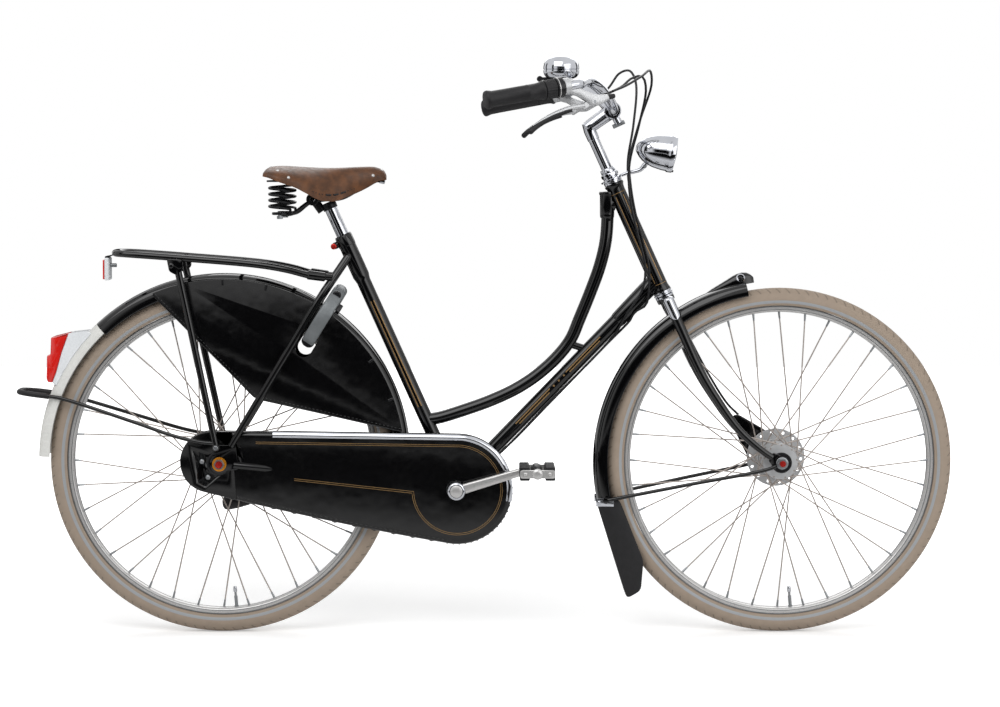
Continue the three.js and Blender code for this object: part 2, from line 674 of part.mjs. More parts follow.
// Chaincase: a tray open to the wheel, pierced by the stay, the axle and the crank
function chaincase() {
  const rear = at(-chainCase.setBack, 0, tyreRadius + chainCase.rise);
  const front = bracket.clone().add(at(1.5, 0, 0));
  const shape = (inset) => beltOutline(rear, chainCase.rear - inset, front, chainCase.front - inset, chainCase.sag);
  const { outer, inner, wall, lip } = chainCase;
  const shell = cut(
    sidePlate(shape(0), -outer, -inner, 6),
    sidePlate(shape(wall), -outer + wall, -inner - wall, 6),
    sidePlate(shape(lip), -inner - wall - overrun, -inner + overrun, 6),
  );
  const crankHole = crossRod(bracket, -outer - overrun, -outer + overrun, crankArm.bossRadius + caseGap);
  const axleHole = crossRod(rearAxle, -outer - overrun, -outer + overrun, 16);
  const stayHole = mirrored(tapered(
    [...chainstayShares.slice(3, -1), [0.958, 0.944, 1.05]].map(onChainstay),
    [stayRadius + caseGap, stayRadius + caseGap], 8, 8,
  ));
  return cut(shell, crankHole, axleHole, stayHole, seatStays(fit));
}
add('chaincase', chaincase(), 'lacquer');

// Rear axle with nuts and roller brake
function hexNut(centre, inner, outer, radius) {
  return crossRod(centre, inner, outer, radius, 6);
}
function rearAxleSolid() {
  const seat = dropoutOuter + fit;
  const brake = { radius: 44, inner: rearHub.leftEnd + fit, outer: 52, armEnd: 200 };
  const rodBody = crossRod(rearAxle, -seat - 17, seat + 15, axleRadius, 12);
  const washers = [crossRod(rearAxle, -seat - 3, -seat, 13, 12), crossRod(rearAxle, seat, seat + 3, 12, 12)];
  const nuts = [hexNut(rearAxle, -seat - 12, -seat - 2, 10), hexNut(rearAxle, seat + 2, seat + 12, 10)];
  const spacer = crossRod(rearAxle, dropout.side - fit, brake.inner + 2, axleRadius + 6, 12);
  const cone = crossRod(rearAxle, -dropout.side + fit, -54 - fit, axleRadius + 5, 12);
  const drum = crossRod(rearAxle, brake.inner, brake.outer, brake.radius, 16);
  const arm = tapered(
    [at(20, 49, tyreRadius - 30), at(90, 42.5, 322), at(brake.armEnd, 36, 304)], [6, 4], 6, 6,
  );
  return joined(rodBody, ...washers, ...nuts, spacer, cone, drum, arm);
}
add('rear_axle', rearAxleSolid(), 'steel');

// Rear mudguard, its white tail and the coat guards
const shallow = guardSection(guardHalfWidth, guardDrop, guardWall);
const mudguardFront = -4;
function rearMudguard() {
  const arc = sweptRound(shallow, rearGuardAxle, guardRadius, mudguardFront, tail.from, 20);
  const [from, to] = [radians(-9), radians(mudguardFront + 2)];
  const outline = new THREE.Shape();
  outline.absarc(rearGuardAxle.x, rearGuardAxle.z, guardRadius - 0.5, from, to, false);
  outline.absarc(rearGuardAxle.x, rearGuardAxle.z, guardRadius - guardWall - 0.6, to, from, true);
  return joined(arc, sidePlate(outline, -10, 10, 3));
}
add('rear_mudguard', rearMudguard(), 'paint');
add('rear_mudguard_tail', sweptRound(shallow, rearGuardAxle, guardRadius, tail.from + 0.06, tail.to, 8),
  'whitePlastic');

const lockUp = at(0.528, 0, 0.849).normalize();
const lockAhead = at(lockUp.z, 0, -lockUp.x);
const lockCentre = rearAxle.clone().addScaledVector(at(203, 0, 287).normalize(), lock.bore + lock.mean);
function coatGuardPanel() {
  const outline = new THREE.Shape();
  const [from, to] = [radians(9), radians(113)];
  outline.absarc(rearGuardAxle.x, rearGuardAxle.z, coatGuard.radius, from, to, false);
  outline.lineTo(66, 484);
  outline.lineTo(86, 477);
  const slotLow = lockCentre.clone().addScaledVector(lockUp, -lock.outer + 6);
  const slotHigh = lockCentre.clone().addScaledVector(lockUp, -lock.inner + 10);
  const half = lock.thickness / 2 + 3;
  const panel = sidePlate(outline, coatGuard.side, coatGuard.side + coatGuard.thickness, 16);
  const slotEnds = [slotLow, slotHigh].map(
    (centre) => crossRod(centre, guardHalfWidth - overrun, guardHalfWidth + overrun, half),
  );
  const slotSides = [
    slotLow.clone().addScaledVector(lockAhead, -half), slotLow.clone().addScaledVector(lockAhead, half),
    slotHigh.clone().addScaledVector(lockAhead, half), slotHigh.clone().addScaledVector(lockAhead, -half),
  ];
  const slotMiddle = sidePlate(outlineOf(slotSides), guardHalfWidth - overrun, guardHalfWidth + overrun);
  return cut(panel, ...slotEnds, slotMiddle);
}
add('left_coat_guard', coatGuardPanel(), 'lacquer');
add('right_coat_guard', mirrored(coatGuardPanel()), 'lacquer');

// Rear lamp on the tail
function lampOutline(points) {
  return outlineOf(points.map(([distance, degrees]) => round(rearGuardAxle, guardRadius + distance, degrees)));
}
const lampHalf = 30;
const housing = [[-3, 133.6], [2, 133.6], [20, 138], [22, 150], [9, 157.5], [-3, 157.5]];
const lens = [[21, 139], [40, 141.5], [47, 147], [32, 151.5], [14, 156.4], [22.6, 150]];
const rearGuardOutside = sweptRound(
  guardSection(guardHalfWidth + fit, guardDrop + fit, guardDrop), rearGuardAxle, guardRadius + fit, tail.from + 0.06,
  tail.to, 8,
);
const rearGuardAbove = sweptRound(
  guardSection(guardHalfWidth + fit, guardDrop + fit, guardDrop), rearGuardAxle, guardRadius + fit, 120, tail.from + 0.1, 3,
);
add('rear_lamp', cut(sidePlate(lampOutline(housing), -lampHalf, lampHalf), rearGuardOutside, rearGuardAbove), 'whitePlastic');
add('rear_lamp_lens', sidePlate(lampOutline(lens), -lampHalf + 3, lampHalf - 3), 'redPlastic');

const carrierFoot = at(-dropout.radius * 0.3, dropoutOuter + legRadius + 4 * fit, dropoutTop - dropout.thickness + 1);
// Places on the carrier: back along it, out from its middle and down from its back, as shares of its sizes.
const carrierShares = [
  [0, 0.667, 1], [0.05, 0.733, 0.96], [0.105, 0.85, 0.9], [0.2, 0.967, 0.673], [0.33, 1, 0.47], [0.695, 1, 0.184],
  [0.9, 0.983, 0.05], [0.975, 0.833, 0.01], [1, 0.5, 0],
];
const carrierLegShares = [0.7136, 1, 0.204];
const carrierBarShares = [[0.15, 0.9, 0.816], [0.4227, 1, 0.388], [0.6955, 1, 0.184]];
function onCarrier([back, side, down]) {
  return at(carrierSize.front - carrierSize.length * back, carrierSize.halfWidth * side,
    carrierSize.height - carrierSize.drop * down);
}
function carrierLeg(grow = 0) {
  return rod(onCarrier(carrierLegShares), carrierFoot, legRadius + grow, legRadius + grow, 8);
}

// The rear stay loops round the tail
const tailSide = guardHalfWidth + loopRadius + fit;
// Places on the stay: back along it, up it, and out from the tail's side to the dropout's, as shares of those runs.
const rearLoopShares = [
  [0, 0, 1], [0.083, 0.03, 0.91], [0.206, 0.14, 0.77], [0.419, 0.42, 0.42], [0.787, 0.885, 0], [0.843, 0.92, 0],
  [0.929, 0.965, -0.01], [0.993, 0.995, -0.34],
];
function rearLoop() {
  const start = at(carrierFoot.x, dropoutOuter + 2 * loopRadius, carrierFoot.z + loopRadius * 2);
  const reach = (back, up) => [start.x - rearLoopSize.length * back, start.z + rearLoopSize.rise * up];
  const side = rearLoopShares.map(([back, up, out]) => {
    const [x, z] = reach(back, up);
    return at(x, THREE.MathUtils.lerp(tailSide, start.y, out), z);
  });
  const other = side.map((point) => at(point.x, -point.y, point.z)).reverse();
  const [endX, endZ] = reach(1, 1);
  const loop = tube(smooth([...side, at(endX, 0, endZ), ...other]), loopRadius, 6, 28);
  return cut(loop, ...bothSides(carrierLeg(fit)));
}
add('rear_stay', rearLoop(), 'paint');

// Carrier: rails, cross bars, legs and a reflector bracket
function carrierRail() {
  const side = carrierShares.map(onCarrier);
  const other = side.map((point) => at(point.x, -point.y, point.z)).reverse();
  return tube(smooth([...side, ...other]), railRadius, 6, 28);
}
function carrier() {
  const bars = carrierBarShares.map((place) => {
    const end = onCarrier(place);
    return rod(end, leftOf(end), carrierSize.bar, carrierSize.bar, 8);
  });
  const foot = carrierFoot;
  const leg = carrierLeg();
  const eyeEnd = at(foot.x, foot.y + legRadius + 2, foot.z);
  const eye = rod(at(foot.x, dropoutOuter + fit, foot.z), eyeEnd, legRadius, legRadius, 8);
  const back = carrierSize.front - carrierSize.length;
  const { depth, halfWidth: half, height: tall } = reflectorSize;
  const reflector = boxOver(
    at(back - 3 * depth, -half, carrierSize.height - tall), at(back - 2 * depth, half, carrierSize.height - depth),
  );
  const tongue = boxOver(
    at(back - 3 * depth, -half * 0.64, carrierSize.height - depth * 1.25),
    at(back + depth, half * 0.64, carrierSize.height - 2),
  );
  const whole = joined(carrierRail(), ...bars, ...bothSides(leg), ...bothSides(eye), reflector, tongue);
  return cut(whole, seatStays(fit));
}
add('carrier', carrier(), 'paint');

// Ring lock round the wheel, with its bolt
const lockFrame = new THREE.Matrix4().makeBasis(sideways, lockUp, sideways.clone().cross(lockUp))
  .setPosition(lockCentre);
function ringSector(inner, outer, from, to, low, high) {
  const outline = new THREE.Shape();
  outline.absarc(0, 0, outer, radians(from), radians(to), false);
  outline.absarc(0, 0, inner, radians(to), radians(from), true);
  return new THREE.ExtrudeGeometry(outline, { depth: high - low, bevelEnabled: false, curveSegments: 8 })
    .translate(0, 0, low);
}
// Angles run from the left, through the top, to the right and down to the gap.
const lockEnd = 270 - lock.gap;
const boltSwing = 2 * lock.gap + 6;
const boltStart = lockEnd - 92;
function lockBody() {
  const half = lock.thickness / 2;
  const room = lock.bolt + fit;
  const ring = ringSector(lock.inner, lock.outer, -90 + lock.gap, lockEnd, -half, half);
  const channel = ringSector(lock.mean - room, lock.mean + room, boltStart - 1, lockEnd + lock.gap, -room, room);
  const slot = ringSector(
    lock.mean - lock.lever / 2 - fit, lock.mean + lock.lever / 2 + fit,
    boltStart - 1, boltStart + 10 + boltSwing, lock.bolt - fit, half + overrun,
  );
  const socket = ringSector(lock.mean - room, lock.mean + room, -90 + lock.gap - 1, -90 + lock.gap + 8, -room, room);
  const lugs = bothSides(boxOver(at(40, -8, -half - 14), at(62, 8, -half + 2)));
  return cut(joined(ring, ...lugs), channel, slot, socket).applyMatrix4(lockFrame);
}
function lockBolt() {
  const half = lock.thickness / 2;
  const { mean, bolt } = lock;
  const bow = ringSector(mean - bolt, mean + bolt, boltStart, lockEnd - 2, -bolt, bolt);
  const shank = ringSector(mean - lock.lever / 2, mean + lock.lever / 2, boltStart, boltStart + 8, 0, half + 4);
  const thumb = ringSector(mean - 8, mean + 8, boltStart - 3, boltStart + 12, half + 1, half + 10);
  return joined(bow, shank, thumb).applyMatrix4(lockFrame);
}
add('wheel_lock', cut(lockBody(), seatStays(fit)), 'greyPlastic');
add('lock_bolt', lockBolt(), 'steel');

// Stand, folded along the left side
function standSolid() {
  const pivot = standPivot;
  const foot = at(stand.ahead - stand.length * 0.993, stand.side + 6, stand.height - stand.length * 0.118);
  const head = rod(
    pivot.clone().addScaledVector(standAxis, standFace), pivot.clone().addScaledVector(standAxis, -standFace),
    stand.foot, stand.foot, 12,
  );
  const leg = rod(pivot, foot, stand.radius, stand.radius - 1, 10);
  const shoeTop = pivot.clone().lerp(foot, 0.86);
  const shoe = rod(shoeTop, foot, stand.radius + 1, stand.foot + 1, 10);
  return cut(joined(head, leg, shoe), rod(
    pivot.clone().addScaledVector(standAxis, standFace),
    pivot.clone().addScaledVector(standAxis, stand.side / 2), 2 * stand.foot, 2 * stand.foot, 12,
  ));
}
add('kickstand', standSolid(), 'paint');

// Fork: steerer, crown, blades and dropouts
const headsetTop = headTop + headCup.height / 2 + headset.height;
function bladePath() {
  const side = blade.side;
  const tip = blade.tipSide - forkPlate.thickness / 2;
  return [
    onSteering(forkLength - crown.height / 2, 1, side), onSteering(forkLength * 0.83, 1, side),
    onSteering(forkLength * 0.59, 1, side + 1), onSteering(forkLength * 0.44, forkRake * 0.1, side + 2),
    onSteering(forkLength * 0.23, forkRake * 0.33, tip - 4), onSteering(forkLength * 0.1, forkRake * 0.64, tip),
    onSteering(forkLength * 0.045, forkRake * 0.82, tip),
  ];
}
function fork() {
  const steerer = rod(
    onSteering(forkLength - crown.height, 0), onSteering(headsetTop - fit, 0), steererRadius, steererRadius, 12,
  );
  const crownBar = rod(
    onSteering(forkLength - crown.height / 2, 0, -crown.halfWidth),
    onSteering(forkLength - crown.height / 2, 0, crown.halfWidth), crown.height / 2, crown.height / 2, 10,
  );
  const race = rod(onSteering(forkLength - crown.height / 2, 0), onSteering(forkLength, 0), 18, 18, 12);
  const legs = bothSides(tapered(bladePath(), [blade.topRadius, blade.tipRadius], 8, 8));
  const tongue = outlineOf([
    onSteering(-forkPlate.radius, forkRake), onSteering(6, forkRake + forkPlate.radius - 2),
    onSteering(28, forkRake - 8), onSteering(14, forkRake - 24), onSteering(-8, forkRake - 10),
  ]);
  const [plateIn, plateOut] = [blade.tipSide - forkPlate.thickness, blade.tipSide];
  const plates = bothSides(joined(
    crossRod(frontAxle, plateIn, plateOut, forkPlate.radius, 12), sidePlate(tongue, plateIn, plateOut),
  ));
  const axle = crossRod(frontAxle, -crown.halfWidth - overrun, crown.halfWidth + overrun,
    (axleRadius + fit) * hubReach, 12);
  return cut(joined(steerer, crownBar, race, ...legs, ...plates), axle);
}
add('fork', fork(), 'paint');

function headsetNuts() {
  const start = headTop + headCup.height / 2 + fit;
  const tall = headset.height - fit;
  const bore = (steererRadius + fit) / Math.cos(Math.PI / 12);
  const profile = [
    [bore, 0], [headset.radius - 2, 0], [headset.radius, 4], [headset.radius, 10], [headset.radius - 3, 12],
    [headset.radius - 3, 16], [headset.radius - 1, 18], [headset.radius - 1, 22], [headset.radius - 4, 24],
    [headset.radius - 4, tall], [bore, tall], [bore, 0],
  ];
  return turned(profile, onSteering(start, 0), onSteering(headsetTop, 0), 12);
}
add('headset', headsetNuts(), 'chrome');

// Stem and handlebar
const quillEnd = forkLength + quillTop;
const barCentre = onSteering(quillEnd + stemRise, stemReach);
function stem() {
  const quill = rod(onSteering(headsetTop + fit, 0), onSteering(quillEnd, 0), quillRadius, quillRadius, 12);
  const neck = tapered(
    [onSteering(quillEnd - 4, 0), onSteering(quillEnd + 14, 2), onSteering(quillEnd + 26, 22), barCentre],
    [quillRadius + 1, stemClamp.radius - 4], 10, 8,
  );
  const clampRing = crossRod(barCentre, -stemClamp.width / 2, stemClamp.width / 2, stemClamp.radius);
  const boltEar = rod(barCentre, onSteering(quillEnd - 4, stemReach + 2), 8, 8, 8);
  const bolt = rod(onSteering(quillEnd - 6, stemReach - 12), onSteering(quillEnd - 6, stemReach + 14), 5, 5, 6);
  const bore = crossRod(barCentre, -stemClamp.width, stemClamp.width, (barRadius + fit) * hubReach);
  return cut(joined(quill, neck, clampRing, boltEar, bolt), bore);
}
add('stem', stem(), 'chrome');

const barEnd = barCentre.clone().add(at(-bar.back, -bar.side, -bar.drop));
const barBend = barCentre.clone().add(at(-bar.bendBack, -bar.bendSide, bar.bendRise));
// Places between the clamp and the bend, as shares of the bend's offsets back, sideways and up.
const barShares = [[0.71, 0.73, 1.2], [0.33, 0.51, 0.8], [0.07, 0.31, 0.22], [0, 0.19, 0]];
function handlebar(grow = 0) {
  const between = barShares.map(([back, side, up]) => barCentre.clone().add(
    at(-bar.bendBack * back, -bar.bendSide * side, bar.bendRise * up),
  ));
  const clampEnd = barCentre.clone().addScaledVector(sideways, -stemClamp.width * 0.6);
  const half = [barBend, ...between, clampEnd];
  const path = new THREE.CurvePath();
  path.add(new THREE.LineCurve3(barEnd, barBend));
  path.add(smooth(half));
  path.add(new THREE.LineCurve3(clampEnd, leftOf(clampEnd)));
  path.add(smooth([...half].reverse().map(leftOf)));
  path.add(new THREE.LineCurve3(leftOf(barBend), leftOf(barEnd)));
  return tube(path, barRadius + grow, 8, 32);
}
add('handlebar', handlebar(), 'chrome');

const barFacets = 10;
const slideBore = (barRadius + fit) / Math.cos(Math.PI / barFacets);
const gripInward = barBend.clone().sub(barEnd).normalize();
const alongGrip = (distance) => barEnd.clone().addScaledVector(gripInward, distance);
function gripSolid(length) {
  const { radius, flare, wall, lip } = grip;
  return turned([
    [0, -wall], [radius - 3, -wall], [radius + 1, -wall / 2], [radius + 1, 3], [radius - 1, lip * 2],
    [radius - 1, length - 3 * lip], [flare, length - lip], [flare, length], [slideBore, length],
    [slideBore, -2 * fit], [0, -2 * fit],
  ], barEnd, barBend, barFacets);
}
function sleeve(from, to, outerRadius, edge = 2) {
  return turned([
    [slideBore, from], [outerRadius - edge, from], [outerRadius, from + edge], [outerRadius, to - edge],
    [outerRadius - edge, to], [slideBore, to], [slideBore, from],
  ], barEnd, barBend, barFacets);
}
const twistStart = grip.length + fit;
const housingStart = twistStart + twist.length + fit;
const clampStart = housingStart + twist.housing + fit;
add('right_grip', gripSolid(grip.length), 'rubber');
add('left_grip', mirrored(gripSolid(clampStart - fit)), 'rubber');
add('gear_twist_grip', sleeve(twistStart, twistStart + twist.length, twist.radius), 'rubber');
add('gear_housing', sleeve(housingStart, housingStart + twist.housing, twist.radius + 1), 'rubber');

// Brake lever and its body, in the upright plane through the grip: distance inboard and height over its axis
const clampLength = 14;
const controlUp = at(0, 0, 1).addScaledVector(gripInward, -gripInward.z).normalize();
const controlSide = controlUp.clone().cross(gripInward);
const controlFrame = new THREE.Matrix4().makeBasis(gripInward, controlUp, gripInward.clone().cross(controlUp))
  .setPosition(barEnd);
const pivotPlace = flat(clampStart + 58, -38);
function controlPlate(points, width) {
  const outline = new THREE.Shape(points.map(([along, up]) => flat(pivotPlace.x + along, pivotPlace.y + up)));
  return new THREE.ExtrudeGeometry(outline, { depth: width, bevelEnabled: false }).translate(0, 0, -width / 2);
}
function controlPin(radius, width) {
  return new THREE.CylinderGeometry(radius, radius, width, 10).rotateX(Math.PI / 2)
    .translate(pivotPlace.x, pivotPlace.y, 0);
}
function leverBody() {
  const body = controlPlate([
    [-58, 33], [-44, 52], [-36, 54], [-16, 26], [8, 12], [32, 10], [34, -2], [8, -9], [-9, -6], [-12, 8],
    [-30, 26], [-44, 22],
  ], lever.body);
  const ring = sleeve(clampStart, clampStart + clampLength, slideBore + 5)
    .applyMatrix4(controlFrame.clone().invert());
  const slot = controlPlate([[-24, -14], [9, -14], [9, 7.5], [-9, 11.5], [-24, 11.5]], lever.web + 2 * fit);
  const barRoom = handlebar(2 * fit).applyMatrix4(controlFrame.clone().invert());
  const pin = controlPin(lever.pinRadius, lever.body);
  return joined(cut(joined(body, ring), slot, barRoom), pin).applyMatrix4(controlFrame);
}
function leverBlade() {
  const eye = controlPlate([[-24, -13], [-8, -7], [0, -8], [7, -4], [7, 3], [0, 7], [-8, 6], [-24, -2]], lever.web);
  const blade = controlPlate([
    [-22, -12.5], [-50, -10], [-90, -20], [-124, -32], [-140, -44], [-144, -40], [-136, -28], [-126, -23],
    [-90, -11], [-50, -1.5], [-22, -3],
  ], lever.depth);
  const hole = controlPin(lever.pinRadius + fit, lever.body + overrun);
  return cut(joined(eye, blade), hole).applyMatrix4(controlFrame);
}
add('right_brake_body', leverBody(), 'aluminium');
add('left_brake_body', cut(mirrored(leverBody()), handlebar(2 * fit)), 'aluminium');
add('right_brake_lever', leverBlade(), 'aluminium');
add('left_brake_lever', mirrored(leverBlade()), 'aluminium');

// Bell on the left of the bar, with its thumb lever
const bellCentre = barCentre.clone().add(at(-bell.back, bell.side, bell.rise));
function bellDome() {
  const { radius, height } = bell;
  const base = bellCentre.clone().addScaledVector(at(0, 0, 1), -height / 2);
  return turned([
    [0, 0], [radius * 0.94, 0], [radius, height * 0.22], [radius, height * 0.5], [radius * 0.86, height * 0.8],
    [radius * 0.45, height * 0.97], [0, height],
  ], base, bellCentre, 16);
}
function bellBase() {
  const low = bellCentre.z - bell.height / 2;
  const foot = at(bellCentre.x, bellCentre.y, low);
  const under = at(bellCentre.x + 6, bellCentre.y - 3, low - bell.height);
  return rod(foot.clone().setZ(low + 1), under, 9, 11, 10);
}
add('bell', cut(joined(bellDome(), bellBase()), handlebar(2 * fit)), 'chrome');
function bellLever() {
  const low = bellCentre.z - bell.height / 2;
  const arm = boxOver(at(bellCentre.x - 44, bellCentre.y - 5, low - 7), at(bellCentre.x - 12, bellCentre.y + 5, low - fit));
  const knob = crossRod(at(bellCentre.x - 46, 0, low - 4), bellCentre.y - 8, bellCentre.y + 8, 6, 10);
  return joined(arm, knob);
}
add('bell_lever', cut(bellLever(), bellBase()), 'rubber');

// Headlamp and its bracket
const lampAxis = steerAhead.clone().applyAxisAngle(sideways, radians(34.1)).normalize();
const lampRim = onSteering(headTop + 7, 138);
const lamp = { radius: 36.5, length: 79, wall: 2, rim: 6 };
function lampShell() {
  const back = lampRim.clone().addScaledVector(lampAxis, -lamp.length);
  const { radius, length, wall } = lamp;
  const outer = [[0, 0], [0.36, 0.06], [0.62, 0.2], [0.84, 0.45], [0.96, 0.75], [1, 0.9], [1, 1]];
  const hollow = [[1, 1], [1, 0.9], [0.84, 0.45], [0.5, 0.2], [0, 0.12]];
  return turned([
    ...outer.map(([wide, far]) => [radius * wide, length * far]),
    ...hollow.map(([wide, far]) => [Math.max(0, radius * wide - (wide ? wall : 0)), length * far]),
  ], back, lampRim, 12);
}
function lampLens() {
  const inner = lamp.radius - lamp.wall - 2 * fit;
  return turned([
    [0, -lamp.rim], [inner, -lamp.rim], [inner, -1], [inner * 0.6, 3], [0, 4],
  ], lampRim, lampRim.clone().add(lampAxis), 12);
}
add('headlamp', lampShell(), 'chrome');
add('headlamp_lens', lampLens(), 'glass');
function lampBracket() {
  const level = headTop + headCup.height / 2 + 8;
  const ring = rod(onSteering(level, 0), onSteering(level + 3, 0), headset.radius + 4, headset.radius + 4, 12);
  const arm = rod(onSteering(level + 1.5, headset.radius), onSteering(level - 4, 60), 3.5, 3.5, 6);
  const post = rod(onSteering(level - 6, 54), onSteering(level + 5, 92), 6, 6, 8);
  return cut(joined(ring, arm, post), lampOutside(), headsetOutside());
}
function lampOutside() {
  const back = lampRim.clone().addScaledVector(lampAxis, -lamp.length - fit);
  const { radius, length } = lamp;
  const outer = [[0, 0], [0.36, 0.06], [0.62, 0.2], [0.84, 0.45], [0.96, 0.75], [1, 0.9], [1, 1.02], [0, 1.02]];
  return turned(outer.map(([wide, far]) => [(radius + fit) * wide, (length + fit) * far]), back, lampRim, 12);
}
function headsetOutside() {
  const reach = headset.radius + fit;
  return rod(onSteering(headTop, 0), onSteering(headsetTop + 10, 0), reach, reach, 12);
}
add('headlamp_bracket', lampBracket(), 'chrome');

// Front mudguard, ornament, flap and stay
const frontGuard = { from: 101, to: 193.3, ring: 381 };
const flap = { height: 204, depth: 48, run: 64, wall: 2.5 };
const guardSteps = 16;
const stayEnd = round(frontAxle, frontGuard.ring - 16.5, frontGuard.to - 0.8);
function ornament() {
  const place = (distance, degrees) => round(frontAxle, frontGuard.ring + distance, degrees);
  const outline = outlineOf([
    place(-2, 113), place(3, 110), place(9, 106), place(12, 102.5), place(9, 100), place(-2, 98.8), place(-7, 99.4),
    place(-2, 101.5),
  ]);
  return sidePlate(outline, -11, 11);
}
function frontMudguard() {
  const section = guardSection(guardHalfWidth, guardDrop, guardWall);
  const arc = sweptRound(section, frontAxle, frontGuard.ring, frontGuard.from, frontGuard.to, guardSteps);
  return cut(joined(arc, ornament()), crossRod(stayEnd, -guardHalfWidth - overrun, guardHalfWidth + overrun, 3, 6));
}
add('front_mudguard', frontMudguard(), 'paint');
// Places on the flap, forward and down from its top, as shares of its depth, its run and its height.
const flapTop = round(frontAxle, frontGuard.ring + fit + flap.wall, frontGuard.to - 1.8);
const flapOutline = outlineOf([
  flapTop, flapTop.clone().add(at(flap.depth, 0, 0)),
  flapTop.clone().add(at(flap.depth + flap.run * 0.78, 0, -flap.height * 0.62)),
  flapTop.clone().add(at(flap.depth * 0.6 + flap.run, 0, -flap.height * 0.92)),
  flapTop.clone().add(at(flap.run, 0, -flap.height)),
]);
function mudFlap() {
  const half = guardHalfWidth + fit + flap.wall;
  const slope = at(flap.run, 0, -flap.height).normalize();
  const inside = outlineOf([
    flapTop.clone().addScaledVector(slope, -overrun), flapTop.clone().addScaledVector(slope, flap.height * 2),
    flapTop.clone().add(at(flap.height * 2, 0, -flap.height)), flapTop.clone().add(at(flap.height * 2, 0, overrun)),
  ]);
  const hollow = sidePlate(inside, -half + flap.wall, half - flap.wall).translate(flap.wall * 1.1, 0, 0);
  return cut(sidePlate(flapOutline, -half, half), hollow, frontGuardOutside, crossRod(stayEnd, -half * 2, half * 2, 3, 6));
}
const frontGuardOutside = sweptRound(
  guardSection(guardHalfWidth + fit, guardDrop + fit, guardDrop), frontAxle, frontGuard.ring + fit,
  frontGuard.from - 1, frontGuard.to + 1, guardSteps,
);
add('mud_flap', mudFlap(), 'rubber');
function frontStay() {
  const end = stayEnd;
  const start = at(frontAxle.x - 30, blade.tipSide + 5, frontAxle.z - 12);
  const flapSide = guardHalfWidth + flap.wall + loopRadius + 2 * fit;
  const side = rod(start, at(end.x, flapSide, end.z), loopRadius, loopRadius, 8);
  const eye = crossRod(start, blade.tipSide + fit, blade.tipSide + 9, 6, 8);
  const arm = rod(start, at(frontAxle.x - 10, blade.tipSide + 4.6, frontAxle.z - 4), loopRadius, loopRadius, 8);
  const across = rod(
    at(end.x, -flapSide, end.z), at(end.x, flapSide, end.z), 2.4, 2.4, 6,
  );
  return joined(cut(joined(...bothSides(joined(side, eye, arm))), frontNut, frontGuardOutside), across);
}
const frontNut = crossRod(frontAxle, -90, 90, 14, 12);
add('front_stay', frontStay(), 'paint');

// Front axle with roller brake
function frontAxleSolid() {
  const seat = blade.tipSide + fit;
  const inner = blade.tipSide - forkPlate.thickness - fit;
  const rodBody = crossRod(frontAxle, -seat - 15, seat + 13, axleRadius, 12);
  const nuts = [hexNut(frontAxle, -seat - 10, -seat, 10), hexNut(frontAxle, seat, seat + 9, 10)];
  const drum = crossRod(frontAxle, frontHub.leftEnd + fit, 42, 40, 12);
  const disc = crossRod(frontAxle, 38, 41, 60, 16);
  const spacer = crossRod(frontAxle, 40, inner, axleRadius + 6, 12);
  const cone = crossRod(frontAxle, -inner, frontHub.rightEnd - fit, axleRadius + 5, 12);
  const arm = rod(round(frontAxle, 20, 125, 44), round(frontAxle, 118, 127, 44), 4.5, 4.5, 6);
  return joined(rodBody, ...nuts, drum, disc, spacer, cone, arm);
}
const forkOutside = joined(
  ...bothSides(tapered(bladePath(), [blade.topRadius + fit, blade.tipRadius + fit], 8, 8)),
);
add('front_axle', cut(frontAxleSolid(), forkOutside), 'steel');

// Seatpost and saddle
const postTop = onSeatTube(seatTubeLength + postShown);
add('seatpost', rod(
  onSeatTube(seatTubeLength - postHidden), postTop, postRadius, postRadius, 12,
), 'chrome');

